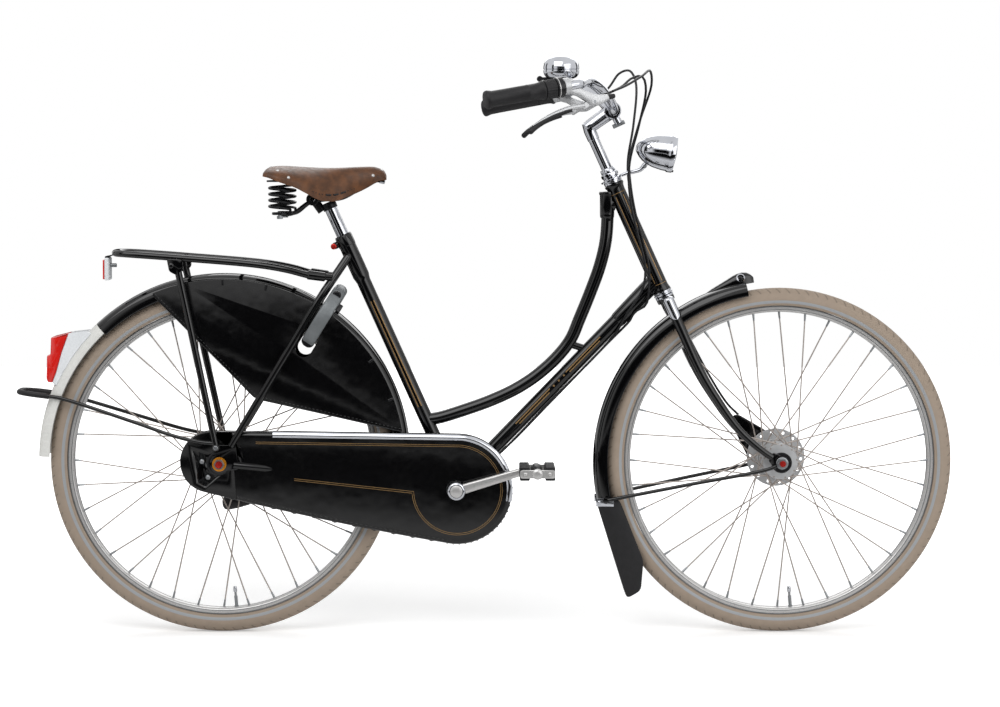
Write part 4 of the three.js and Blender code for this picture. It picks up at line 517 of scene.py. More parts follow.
def rubbers(settings):
    # Black moulded rubber of grips, pedals and flap: matt, faintly blotched by handling.
    finish("moulded_rubber_black", (linear("101012"), linear("1E1D1F"), 12), (0.42, 0.62, 3), (1.1, 0.04, 0.5),
           IOR=1.52, Specular_IOR_Level=0.3)
    # Black injection-moulded ABS of caps, levers and housings: satin, with a spark-eroded grain.
    finish("moulded_abs_black", (linear("0C0C0E"), linear("161619"), 12), (0.24, 0.38, 2.5), (1.0, 0.015, 0.4),
           IOR=1.53, Specular_IOR_Level=0.3)
    # Extruded PVC of the cable covers: smooth, with a soft shine along it.
    finish("extruded_pvc_black", (linear("0B0B0D"), linear("171719"), 20), (0.28, 0.42, 6), IOR=1.53,
           Specular_IOR_Level=0.3)
    stripe = tuple(settings.stripe_colour)
    # Glass-bead tape moulded into the tyre's wall: pale and sandy under a near look.
    finish("glass_bead_tape", (darker(stripe, 0.88), stripe, 3), (0.35, 0.5, 1.0), (0.8, 0.02, 0.5), IOR=1.5)
    tyre_rubber(settings)


def tyre_rubber(settings):
    # Tan tyre rubber: matt and dusty, with nicks moulded across the shoulders of its tread.
    tan = tuple(settings.tyre_colour)
    tread_radius, tread_middle, nick_slant, nick_edge = 0.343, 0.007, 260.0, 0.86
    tree, shader, place, tone = finish(
        "tyre_rubber", (darker(tan, 0.8), tan, 14), (0.62, 0.8, 5), IOR=1.52, Specular_IOR_Level=0.3)
    split = put(tree, "ShaderNodeSeparateXYZ", {"Vector": place})
    flat = put(tree, "ShaderNodeVectorMath", {0: place, 1: (1, 0, 1)}, operation="MULTIPLY")
    reach = put(tree, "ShaderNodeVectorMath", {0: flat.outputs["Vector"]}, operation="LENGTH")
    side = put(tree, "ShaderNodeMath", {0: split.outputs["Y"]}, operation="ABSOLUTE")
    turn = put(tree, "ShaderNodeMath", {0: split.outputs["Z"], 1: split.outputs["X"]}, operation="ARCTAN2")
    slant = put(tree, "ShaderNodeMath", {0: side.outputs["Value"], 1: nick_slant}, operation="MULTIPLY")
    phase = put(tree, "ShaderNodeMath", {
        0: turn.outputs["Value"], 1: float(settings.tread_nicks), 2: slant.outputs["Value"]}, operation="MULTIPLY_ADD")
    wave = put(tree, "ShaderNodeMath", {0: phase.outputs["Value"]}, operation="SINE")
    nick = put(tree, "ShaderNodeMath", {0: wave.outputs["Value"], 1: nick_edge}, operation="GREATER_THAN")
    tread = put(tree, "ShaderNodeMath", {0: reach.outputs["Value"], 1: tread_radius}, operation="GREATER_THAN")
    shoulder = put(tree, "ShaderNodeMath", {0: side.outputs["Value"], 1: tread_middle}, operation="GREATER_THAN")
    there = put(tree, "ShaderNodeMath", {0: tread.outputs["Value"], 1: shoulder.outputs["Value"]}, operation="MULTIPLY")
    nicks = put(tree, "ShaderNodeMath", {0: nick.outputs["Value"], 1: there.outputs["Value"]}, operation="MULTIPLY")
    # The nicks are painted a darker tan: painted shade in the grooves, over the bump that shapes them.
    nick_shade = put(tree, "ShaderNodeMix", {
        0: nicks.outputs["Value"], 6: tone.outputs[2], 7: (*darker(tan, 0.62), 1)}, data_type="RGBA")
    tree.links.new(nick_shade.outputs[2], shader.inputs["Base Color"])
    fine = put(tree, "ShaderNodeTexNoise", {"Vector": place, "Scale": per(1.5), "Detail": 2.0})
    height = put(tree, "ShaderNodeMath", {
        0: nicks.outputs["Value"], 1: -4.0, 2: fine.outputs["Fac"]}, operation="MULTIPLY_ADD")
    bump = put(tree, "ShaderNodeBump", {
        "Height": height.outputs["Value"], "Distance": 0.16 * MILLIMETRE, "Strength": 0.6})
    tree.links.new(bump.outputs["Normal"], shader.inputs["Normal"])


def cloths(settings):
    # Lacquered cloth of chaincase and coat guards: a glossy skin over a weave that sags softly.
    tree, shader, place, _ = finish(
        "lacquered_cloth", (linear("050506"), linear("0A0A0B"), 45), (0.08, 0.16, 10), IOR=1.5, Specular_IOR_Level=0.45)
    sag = put(tree, "ShaderNodeTexNoise", {"Vector": place, "Scale": per(70), "Detail": 2.0})
    # The real threads are 0.4 mm apart; they are drawn 1 mm apart so that they show.
    weave = put(tree, "ShaderNodeTexWave", {"Vector": place, "Scale": per(1.0) / 6.3, "Distortion": 0.6})
    height = put(tree, "ShaderNodeMath", {
        0: sag.outputs["Fac"], 1: 60.0, 2: weave.outputs["Fac"]}, operation="MULTIPLY_ADD")
    bump = put(tree, "ShaderNodeBump", {
        "Height": height.outputs["Value"], "Distance": 0.03 * MILLIMETRE, "Strength": 0.7})
    tree.links.new(bump.outputs["Normal"], shader.inputs["Normal"])
    # Waxed thread of the seams: a twisted cord, a little paler than the cloth.
    finish("waxed_thread", (linear("1B1B1C"), linear("3A3A3B"), 3), (0.45, 0.6, 1), IOR=1.5)
    leather(settings)


def leather(settings):
    # Vegetable tanned leather, moulded wet and waxed: warm, mottled, with fine pores.
    hide = tuple(settings.leather_colour)
    tree, shader, place, tone = finish(
        "waxed_saddle_leather", (darker(hide, 0.22), darker(hide, 1.15), 26), (0.36, 0.55, 9), IOR=1.48,
        Specular_IOR_Level=0.35)
    # Wax and wear leave darker blotches a finger wide.
    blotches = put(tree, "ShaderNodeTexNoise", {"Vector": place, "Scale": per(16), "Detail": 5.0})
    wear = put(tree, "ShaderNodeMapRange", {
        "Value": blotches.outputs["Fac"], "From Min": 0.36, "From Max": 0.64, "To Min": 0.62, "To Max": 1.08})
    worn = put(tree, "ShaderNodeMix", {0: 1.0, 6: tone.outputs[2], 7: wear.outputs["Result"]}, data_type="RGBA",
               blend_type="MULTIPLY")
    tree.links.new(worn.outputs[2], shader.inputs["Base Color"])
    # Real pores are 0.6 mm apart; they are drawn 1.6 mm apart so that they show.
    pores = put(tree, "ShaderNodeTexVoronoi", {"Vector": place, "Scale": per(1.6)})
    bump = put(tree, "ShaderNodeBump", {
        "Height": pores.outputs["Distance"], "Distance": 0.05 * MILLIMETRE, "Strength": 0.5})
    tree.links.new(bump.outputs["Normal"], shader.inputs["Normal"])


def clear_plastics(settings):
    lamp = tuple(settings.lamp_colour)
    # Red polycarbonate of the rear lamp, moulded over small prisms that sparkle; a faint red glow is painted into it,
    # with no lamp lit behind it.
    tree, shader, place, _ = finish(
        "polycarbonate_red", (darker(lamp, 0.75), lamp, 20), (0.08, 0.2, 8), IOR=1.585, Coat_Weight=0.3,
        Coat_Roughness=0.04, Emission_Color=(*lamp, 1), Emission_Strength=0.1)
    prisms = put(tree, "ShaderNodeTexChecker", {"Vector": place, "Scale": per(2.5)})
    bump = put(tree, "ShaderNodeBump", {
        "Height": prisms.outputs["Fac"], "Distance": 0.1 * MILLIMETRE, "Strength": 0.3})
    tree.links.new(bump.outputs["Normal"], shader.inputs["Normal"])
    # Clear polycarbonate of the headlamp's lens, ribbed upright to spread the light.
    tree, shader, place, _ = finish(
        "polycarbonate_clear", (linear("E4E9EC"), linear("F4F7F8"), 20), (0.02, 0.08, 8), IOR=1.585,
        Transmission_Weight=0.85)
    ribs = put(tree, "ShaderNodeTexWave", {"Vector": place, "Scale": per(5) / 6.3}, bands_direction="Y")
    bump = put(tree, "ShaderNodeBump", {
        "Height": ribs.outputs["Fac"], "Distance": 0.4 * MILLIMETRE, "Strength": 0.6})
    tree.links.new(bump.outputs["Normal"], shader.inputs["Normal"])


def make_finishes(settings):
    MATERIALS.clear()
    enamels(settings)
    metals()
    rubbers(settings)
    cloths(settings)
    clear_plastics(settings)


TYRE_RADIUS = 353
REAR_AXLE = at(0, 0, TYRE_RADIUS)
FRONT_AXLE = at(1138, 0, TYRE_RADIUS)
BRACKET = at(478.5, 0, 299)
HEAD_ANGLE, SEAT_ANGLE = radians(65.6), radians(65.7)
STEER_UP = at(-cos(HEAD_ANGLE), 0, sin(HEAD_ANGLE))
STEER_AHEAD = at(sin(HEAD_ANGLE), 0, cos(HEAD_ANGLE))
SEAT_UP = at(-cos(SEAT_ANGLE), 0, sin(SEAT_ANGLE))
SEAT_AHEAD = at(sin(SEAT_ANGLE), 0, cos(SEAT_ANGLE))
FORK_LENGTH, FORK_RAKE = 405, 75
HEAD_BOTTOM = FORK_LENGTH + 6
HEAD_TOP = HEAD_BOTTOM + 241
HEADSET_TOP = HEAD_TOP + 3 + 34
QUILL_END = FORK_LENGTH + 362
SEAT_TUBE_LENGTH, POST_SHOWN = 565, 67
GUARD_CENTRE = at(4, 0, TYRE_RADIUS + 3)
GUARD_RADIUS, GUARD_HALF = 380, 31
CRANK_ANGLE, CRANK_LENGTH = 16.6, 168
TYRE_HALF, SPOKES, CABLE_RADIUS, COIL_RADIUS, COILS = 21, 36, 2.45, 21, 4
CHAINRING_TEETH, CHAIN_PITCH = 38, 12.7
LOCK_UP = at(0.528, 0, 0.849).normalized()
LOCK_AHEAD = at(LOCK_UP.z, 0, -LOCK_UP.x)
LOCK_CENTRE = REAR_AXLE + at(203, 0, 287).normalized() * (289 + 67.5)


def on_steering(up, ahead, left=0):
    return FRONT_AXLE + STEER_UP * up + STEER_AHEAD * (ahead - FORK_RAKE) + at(0, left, 0)


def on_seat_tube(up, ahead=0, left=0):
    return BRACKET + SEAT_UP * up + SEAT_AHEAD * ahead + at(0, left, 0)


# The bar's right end and the bend where its straight end starts.
BAR_CENTRE = on_steering(QUILL_END + 25, 58)
BAR_END = BAR_CENTRE + at(-256, -286, 13)
BAR_BEND = BAR_CENTRE + at(-80, -227, 45)
GRIP_WAY = (BAR_BEND - BAR_END).normalized()
# The saddle stands on its post, and its springs on the frame behind it.
POST_TOP = on_seat_tube(SEAT_TUBE_LENGTH + POST_SHOWN)
SADDLE_NOSE = POST_TOP + at(117, 0, 59)
CROWN_HEIGHT = SADDLE_NOSE.z + 21
SPRING_FOOT = at(POST_TOP.x - 95, 65, SADDLE_NOSE.z - 72)
DOWN_TOP = on_steering(HEAD_BOTTOM + 29, 0)
# One blade of the fork, from its crown to its end.
BLADE = [on_steering(*place) for place in (
    (395, 1, 45), (336, 1, 45), (239, 1, 46), (178, 7.5, 47), (93, 24.75, 50.5), (40.5, 48, 54.5), (18.2, 61.5, 54.5))]
# The handlebar's right half as shares of its reach back, out and up, from its bend to its middle.
BAR_SHARES = ((1, 1, 1), (0.71, 0.73, 1.2), (0.33, 0.51, 0.8), (0.07, 0.31, 0.22), (0, 0.19, 0))
BAR_HALF = [BAR_CENTRE + at(-80 * back, -227 * out, 45 * up) for back, out, up in BAR_SHARES]
# The top tube's curve as shares of the way from the seat tube to the head, forward and up.
TOP_START, TOP_END = on_steering(HEAD_TOP - 26, 0), on_seat_tube(150)
TOP_SHARES = [
    (0.065, 0.008), (0.214, 0.048), (0.341, 0.088), (0.473, 0.142), (0.586, 0.208), (0.682, 0.285), (0.749, 0.361),
    (0.793, 0.45), (0.848, 0.567), (0.897, 0.684), (0.928, 0.795), (0.938, 0.905), (0.936, 1.018)]
TOP_PATH = smooth_path(
    [TOP_END] + [at(TOP_END.x + (TOP_START.x - TOP_END.x) * x, 0, TOP_END.z + (TOP_START.z - TOP_END.z) * z)
                 for x, z in TOP_SHARES], 90)


def tyres(settings):
    profile = []
    for i in range(33):
        turn = radians(-134 + 268 * i / 32)
        profile.append((TYRE_RADIUS - TYRE_HALF + TYRE_HALF * cos(turn), TYRE_HALF * sin(turn)))
    # The stripe lies low on both walls; the last mark is the flat between the tyre's beads.
    marks = [int(322.5 < (a[0] + b[0]) / 2 < 329.0) for a, b in zip(profile, profile[1:])] + [0]
    for name, axle in (("front", FRONT_AXLE), ("rear", REAR_AXLE)):
        form = Form("tyre_rubber").use("glass_bead_tape").hoop(profile, axle, 160, marks=marks)
        dress(f"{name}_tyre", form, f"{name}_wheel", "tyre", centre=axle)


def wheels(settings):
    fronthub = [(15, -46), (17, -44.5), (17, -34), (35, -33.2), (36.5, -31), (36, -28.2), (20, -26.5), (17.5, -22),
                (17, 12), (20, 16), (36, 17.5), (36.5, 20), (35, 22.5), (22, 24), (18, 26.7), (7, 26.7), (6, -46)]
    rearhub = [(20, -31), (26, -30), (43, -29), (45.5, -27), (45, -24.5), (34, -23), (31.5, -19), (31, 20), (34, 24),
               (45, 25), (45.5, 27.5), (43, 29.5), (30, 31), (24, 33), (7, 33), (6, -31)]
    half = [(303.4, 0), (303.8, 5), (305, 9.5), (307.5, 12.4), (308.3, 12.6), (308.6, 12.0), (309.2, 12.0),
            (309.5, 12.9), (314.2, 13.2), (314.6, 12.3), (316.6, 12.5), (317, 11.6)]
    track = half + [(r, -y) for r, y in reversed(half[1:])]
    # The faces inside the rim's grooves wear the darker zinc_plated_steel finish: painted shade in the grooves.
    shaded_groove_faces = (4, 5, 6, 9, 13, 16, 17, 18)
    for name, axle, hub, flange, right, left in (
            ("front", FRONT_AXLE, fronthub, 36, -30, 20), ("rear", REAR_AXLE, rearhub, 45, -26, 27)):
        body = f"{name}_wheel"
        rim = Form("anodised_aluminium").use("zinc_plated_steel")
        rim.hoop(track, axle, 160, marks=[int(i in shaded_groove_faces) for i in range(len(track))])
        dress(f"{name}_rim", rim, body, "aluminium", centre=axle)
        form = Form("bead_blasted_aluminium").hoop(hub, axle, 48)
        if name == "rear":
            # The gear hub's red seal shows beside the right flange.
            form.use("anodised_red").hoop([(24, -31), (29, -30.6), (29, -29.6), (24, -29.4)], axle, 48)
        spokes(form, axle, flange, right, left, settings.spoke_radius / MILLIMETRE)
        make(f"{name}_spokes_finish", form, body, f"{name}_hub_and_spokes", slot="steel", centre=axle)


def spokes(form, axle, flange, right, left, radius):
    """Laced in crossing pairs, each with its nipple in the rim, and the valve between two of them."""
    for i in range(SPOKES):
        side = left if i % 2 else right
        family = 1 if (i // 2) % 2 else -1
        rim_angle = 360 / SPOKES * i
        root = turned_place(axle, flange - 2.5, rim_angle + family * 73, side + family * 1.5)
        tip = turned_place(axle, 304, rim_angle, copysign(3, side) + family * 1.5)
        way = (tip - root).normalized()
        form.use("stainless_wire").rod(root, tip - way * 8, radius, 8)
        head = at(0, 2.2 * family, 0)
        form.rod(root - head, root + head, 1.9, 8)
        form.use("zinc_plated_steel").rod(tip - way * 14, tip, (1.9, 2.4), 8)
    valve, inner = turned_place(axle, 304, 275), turned_place(axle, 262, 275)
    form.use("zinc_plated_steel").lathe(
        [(4.5, -1), (4.5, 2), (3.4, 3), (3.4, 22), (2.4, 23), (2.4, 31)], valve, inner, 14)
    form.use("chrome_plate").lathe([(3.2, 30), (3.9, 31), (3.9, 38), (3.0, 41.5), (0.4, 42)], valve, inner, 14)


def frame_tubes(settings):
    lining = settings.lining_width / MILLIMETRE
    head = Form()
    low, high = on_steering(HEAD_BOTTOM, 0), on_steering(HEAD_TOP, 0)
    head.lathe([(17, 3), (18.6, 3.4), (19, 5), (17.8, 9), (17, 14), (17, 229), (17.6, 234), (18.6, 238), (20, 240),
                (20, 243.5), (19, 244), (13, 244)], low, high, 40)
    head.use("chrome_plate").lathe(
        [(13, -5.7), (18, -5.7), (19.6, -4.6), (19.9, -2), (18.4, -1), (18.2, 0.4), (19.4, 1.2), (19.4, 3), (17, 3.6)],
        low, high, 40)
    head.use("lining_paint")
    for height in (19, 223):
        head.lathe([(16.5, height), (17.2, height), (17.2, height + lining), (16.5, height + lining)], low, high, 40)
    path = [lerp(low, high, 0.1 + 0.8 * i / 20) for i in range(21)]
    for angle in (152, 208):
        head.band(path, 17, angle, 3.2)
    dress("head_tube", head, "frame", "black_paint")

    seat = Form()
    top = on_seat_tube(SEAT_TUBE_LENGTH)
    seat.lathe([(14.3, 0), (14.3, 462), (15.6, 468), (17, 474), (17, 562), (16.6, 564), (16.6, 565), (13, 565),
                (13, 500)], BRACKET, top, 36)
    seat.cross(BRACKET, -34, 34, 21, 36, 1.5)
    seat.lathe([(17, 540), (17.8, 541), (17.8, 562), (17.2, 563.5), (16.4, 564)], BRACKET, top, 36)
    seat.rod(on_seat_tube(551, 0), on_seat_tube(551, -26), 7, 20, 1)
    seat.rod(on_seat_tube(551, -26, -9), on_seat_tube(551, -26, 12), 6.2, 20, 1)
    seat.use("anodised_red").lathe([(5.6, 0), (5.8, 1), (5.8, 3), (4.6, 3.6), (0.3, 3.8)],
                                   on_seat_tube(551, -26, -8.8), on_seat_tube(551, -26, -12), 20)
    seat.use("lining_paint")
    path = [lerp(BRACKET, top, 0.32 + 0.42 * i / 12) for i in range(13)]
    for angle in (166, 194):
        seat.band(path, 14.3, angle)
    dress("seat_tube", seat, "frame", "black_paint")

    bar = Form().tube(TOP_PATH, 12.7, 28)
    end = TOP_PATH[-1]
    # A lug with a rolled rim joins the top tube to the head tube.
    bar.lathe([(12.9, -52), (14.2, -50), (14.7, -44), (14.9, -6), (16, -4), (16.6, -1.5), (16, 1), (14, 2), (0.3, 2)],
              end, end + at(0, 0, 1), 32)
    web = on_steering(HEAD_TOP - 46, 0)
    bar.rod(at(end.x, 0, end.z - 22), at(web.x - 10, 0, web.z + 2), 12.9, 24)
    dress("top_tube", bar, "frame", "black_paint",
          cutters=[Form().rod(low - STEER_UP * 20, high + STEER_UP * 20, 20.3, 40)])

    down = Form().rod(BRACKET, DOWN_TOP - (DOWN_TOP - BRACKET).normalized() * 13, 15, 32)
    run = (DOWN_TOP - BRACKET).length
    down.lathe([(15.2, run - 118), (16.4, run - 112), (17.4, run - 70), (18, run - 30), (18, run - 12)],
               BRACKET, DOWN_TOP, 32)
    down.rod(lerp(BRACKET, DOWN_TOP, 0.66), TOP_PATH[46], 7.5, 24)
    down.use("lining_paint")
    for start, stop, angle in ((0.30, 0.47, 168), (0.31, 0.46, 188), (0.55, 0.72, 168), (0.56, 0.71, 188)):
        down.band([lerp(BRACKET, DOWN_TOP, start + (stop - start) * i / 10) for i in range(11)], 15, angle)
    # Three rivets between the painted lines.
    for share in (0.485, 0.51, 0.535):
        centre = lerp(BRACKET, DOWN_TOP, share)
        down.rod(at(centre.x, -14.2, centre.z + 2), at(centre.x, -15.25, centre.z + 2), (2.2, 2.1), 16)
    dress("down_tube", down, "frame", "black_paint", cutters=[bore(BRACKET, -60, 60, 19.6, 40)])


STAND_PIVOT, STAND_AXIS = at(274, 58, 287), at(0.274, -1, 0).normalized()
CHAINSTAY_SHARES = [
    (0.025, 0.04, 0.435), (0.164, 0.13, 0.484), (0.262, 0.24, 0.5), (0.4775, 0.463, 0.597), (0.749, 0.74, 0.806),
    (0.87, 0.87, 0.968), (0.9415, 0.944, 1.04)]


def rear_stays(settings):
    form = Form()
    points = [at(478.5 * (1 - back), 62 * side, 299 + 54 * up) for back, up, side in CHAINSTAY_SHARES]
    form.bend(points, (9, 7), 40, 22)
    outline = arc_points(REAR_AXLE, 20, 135, 315, 16) + [(38, 341), (33, 391), (-14, 391)]
    form.plate(round_corners(outline, 5), 62, 67, 0.8)
    form.both_sides()
    form.cross(turned_place(GUARD_CENTRE, 386.3, -7), -30, 30, 6)
    form.rod(STAND_PIVOT + STAND_AXIS * 6.3, STAND_PIVOT + STAND_AXIS * 18, 12, 28, 1)
    form.rod(at(274, 41.5, 287), at(274, 36, 319), 7, 20)
    dress("chainstays", form, "frame", "black_paint",
          cutters=[bore(BRACKET, -60, 60, 21.3, 40), bore(REAR_AXLE, -90, 90, 5.4, 20)])
    form = Form()
    top, knee = on_seat_tube(520, -8, 18), at(206, 42.5, 694)
    foot = at(22, 67, 388.5)
    way = (foot - knee).normalized()
    path = [top, lerp(top, knee, 0.55), knee - (knee - top).normalized() * 12, knee + way * 14, lerp(knee, foot, 0.3),
            lerp(knee, foot, 0.65), foot]
    form.bend(path, (8, 6.8), 48, 22)
    form.lathe([(0.3, -7), (5, -6), (7.5, -2), (8, 2)], top, knee, 22)
    form.both_sides()
    form.cross(turned_place(GUARD_CENTRE, 386.3, 59), -42.5, 42.5, 6)
    dress("seatstays", form, "frame", "black_paint",
          cutters=[Form().rod(BRACKET, on_seat_tube(590), 17.3, 36),
                   Form().block(at(-20, -68, 340), at(60, 68, 391.4), 0.5)])


CASE_REAR, CASE_FRONT = at(-19, 0, 355), BRACKET + at(1.5, 0, 0)
CASE_REAR_RADIUS, CASE_FRONT_RADIUS, CASE_SAG = 63, 111.5, 6.0


def case_outline(inset):
    """The chaincase seen from the side: two arcs joined by its top run and its sagging lower run."""
    rear, front = CASE_REAR, CASE_FRONT
    r1, r2 = CASE_REAR_RADIUS - inset, CASE_FRONT_RADIUS - inset
    span = Vector((front.x - rear.x, front.z - rear.z))
    heading = degrees(atan2(span.y, span.x))
    lean = degrees(acos((r1 - r2) / span.length))
    points = arc_points(rear, r1, heading + lean, heading - lean + 360, 30)
    low = (front.z + rear.z - r2 - r1) / 2
    a, b = Vector(points[-1]), Vector((front.x + r2 * cos(radians(heading - lean)),
                                       front.z + r2 * sin(radians(heading - lean))))
    middle = Vector(((rear.x + front.x) / 2, low - 2 * CASE_SAG))
    points += [tuple(a * (1 - t) ** 2 + middle * 2 * t * (1 - t) + b * t * t) for t in (i / 24 for i in range(1, 24))]
    points += arc_points(front, r2, heading - lean, heading + lean, 60)
    c, d = Vector(points[-1]), Vector(points[0])
    points += [tuple(c.lerp(d, i / 12)) for i in range(1, 12)]
    return points


def ribbon(form, path, width, near, far):
    """A flat line of paint along places in X and Z."""
    rings = []
    for i, here in enumerate(path):
        a, b = Vector(path[max(i - 1, 0)]), Vector(path[min(i + 1, len(path) - 1)])
        way = (b - a).normalized()
        off = Vector((-way.y, way.x)) * (width / 2)
        p, q = Vector(here) + off, Vector(here) - off
        rings.append([at(p.x, near, p.y), at(p.x, far, p.y), at(q.x, far, q.y), at(q.x, near, q.y)])
    return form.loft(rings)


def chaincase(settings):
    skin, inside = (Form("lacquered_cloth").loft(
        [[at(x, side, z) for x, z in case_outline(inset)] for inset, side in steps]) for steps in (
            ((14, -32), (3, -32.2), (0.6, -33.6), (0, -36), (0, -51), (0.8, -54.5), (3, -57.4), (6.5, -59),
             (11, -59.5)),
            ((15, -20), (15, -33.7), (3, -33.8), (2, -50), (6, -56.5), (12, -57.9))))
    dress("chaincase", skin, "frame", "black_cloth",
          cutters=[inside, bore(BRACKET, -80, -40, 20.5, 40), bore(REAR_AXLE, -80, -40, 16, 32)])
    case_trim(settings)


def case_trim(settings):
    lining = settings.lining_width / MILLIMETRE
    form = Form("lining_paint")
    for inset in (20.0, 23.4):
        ring = case_outline(inset)
        # The front arc starts at this place of the outline.
        tangent = Vector(ring[113])
        heading = degrees(atan2(tangent.y - CASE_FRONT.z, tangent.x - CASE_FRONT.x))
        start = lerp(tangent, Vector(ring[0]), 0.82)
        path = [tuple(lerp(start, tangent, k / 12)) for k in range(12)]
        path += arc_points(CASE_FRONT, CASE_FRONT_RADIUS - inset, heading, -176 - (inset - 20) * 0.62, 72)
        last = Vector(path[-1])
        path += [tuple(lerp(last, Vector((150, last.y + 26)), k / 8)) for k in range(1, 9)]
        ribbon(form, path, lining, -59.3, -59.75)
    form.use("waxed_thread")
    seam = [at(x, -59.0, z) for x, z in case_outline(7.5)[30:61]]
    for start, end in zip(seam, seam[1:]):
        count = max(1, round((end - start).length / 8.5))
        for k in range(count):
            a, b = lerp(start, end, k / count), lerp(start, end, (k + 0.55) / count)
            form.tube([a, lerp(a, b, 0.5) - at(0, 0.5, 0), b], [0.35, 0.75, 0.35], 8)
    # The edge of the cloth is drawn over a cord, in small puckers between its stitches.
    form.use("lacquered_cloth")
    edge = [at(x, -47, z) for x, z in case_outline(0)]
    for a, b in zip(edge[32:90:2], edge[33:91:2]):
        form.tube([lerp(a, b, 0.2), lerp(a, b, 0.45), lerp(a, b, 0.7)], [1.2, 2.6, 1.2], 12)
    make("chaincase_lining", form, "frame", slot="black_cloth")
    strip = Form("chrome_plate")
    # From just under the crank's line, over the front arc and back along the top run, arched across.
    rings = []
    for o, d, n, m in list(zip(*(case_outline(inset) for inset in (-1.1, 13, 0.2, 12.6))))[82:]:
        if o[0] < 84:
            break
        arch = [(lerp(Vector(o), Vector(d), k / 8), 57.4 + 4 * sin(pi * k / 8)) for k in range(9)]
        rings.append([at(n[0], -38, n[1]), at(o[0], -38, o[1])] + [at(p.x, -side, p.y) for p, side in arch]
                     + [at(m[0], -56.9, m[1]), at(n[0], -56.9, n[1])])
    strip.loft(rings)
    make("chaincase_strip", strip, "frame", slot="chrome")
    cap = Form("lacquered_cloth")
    skin = [place for place in case_outline(1.5) if place[0] < 34]
    cap.plate(skin + [(45, 338), (48, 360), (43, 385)], -60.6, -58.6, 0.6)
    cap.use("moulded_abs_black").lathe([(22, 0), (24, 0.4), (24, 1.6), (22.5, 2.4), (19, 2.6), (17.5, 0.2), (17, 0)],
                                       at(-3, -60.4, 353), at(-3, -63, 353), 40)
    for x, z in ((-36, 357), (-24, 325)):
        cap.use("zinc_plated_steel").dome(at(x, -60.2, z), at(0, -1, 0), 5.4, 3.4, 20)
    make("chaincase_cap", cap, "frame", slot="black_plastic",
         cutters=[bore(REAR_AXLE, -90, -40, 16.2, 32)])


def crank_frame(angle):
    return Matrix.Translation(BRACKET) @ Matrix.Rotation(radians(-angle), 4, "Y")


def crank_arm(form, side):
    """A forged arm: wide and deep at its boss, slimmer at the pedal, with a hollow along its face."""
    rings = []
    for i in range(25):
        half = 10.5 - 3.2 * i / 24
        rings.append([
            at(CRANK_LENGTH * i / 24, side * (74.5 + 6.5 * copysign(abs(s) ** 0.45, s)),
               half * copysign(abs(c) ** 0.6, c)) for c, s in circle(20)])
    form.use("anodised_aluminium").loft(rings)
    boss, pedal = at(0, 0, 0), at(CRANK_LENGTH, 0, 0)
    form.turned([(8, 68), (9, 69), (9.2, 79), (8.4, 80.6), (6.5, 81)], pedal, side, 28)
    form.use("chrome_plate").turned(
        [(16, 64), (18.8, 65.5), (18.8, 79), (18, 82.5), (16, 84.6), (13.6, 85), (12.6, 83.4)], boss, side, 40)
    form.use("anodised_aluminium").turned([(12.6, 82.6), (12.6, 84.2), (11.8, 84.8), (0.3, 85)], boss, side, 36)
    form.use("zinc_plated_steel").cross(pedal, side * 79, side * 92, 5, 18, 0)
    form.turned([(7, 82), (8, 83), (8, 86), (7, 87)], pedal, side, 6)
    form.cross(pedal, side * 92, side * 176, 4.2, 14, 0)


def cranks(settings):
    right = Form("anodised_aluminium")
    crank_arm(right, -1)
    right.use("anodised_aluminium").turned([(9, 43.8), (17, 44), (18, 46), (18, 64), (9, 66)], at(0, 0, 0), -1, 36)
    radius = CHAIN_PITCH * CHAINRING_TEETH / (2 * pi)
    outline = []
    for i in range(CHAINRING_TEETH * 4):
        reach = radius - (0, 0, 3.4, 3.4)[i % 4]
        turn = 2 * pi * (i + 0.5) / (CHAINRING_TEETH * 4)
        outline.append((reach * cos(turn), reach * sin(turn)))
    right.use("zinc_plated_steel").plate(outline, -46.2, -43.8, 0.4)
    right.moved(crank_frame(CRANK_ANGLE))
    windows = [bore(turned_place(BRACKET, radius * 0.58, CRANK_ANGLE - 72 * k), -51, -40, 16.5, 24) for k in range(5)]
    dress("right_crank", right, "crankset", "aluminium", cutters=windows + [bore(BRACKET, -66, -40, 8.9, 24)])
    left = Form("anodised_aluminium")
    crank_arm(left, 1)
    left.use("zinc_plated_steel").cross(at(0, 0, 0), 66, -71, 8.4, 24, 0)
    left.moved(crank_frame(CRANK_ANGLE + 180))
    dress("left_crank", left, "crankset", "aluminium")


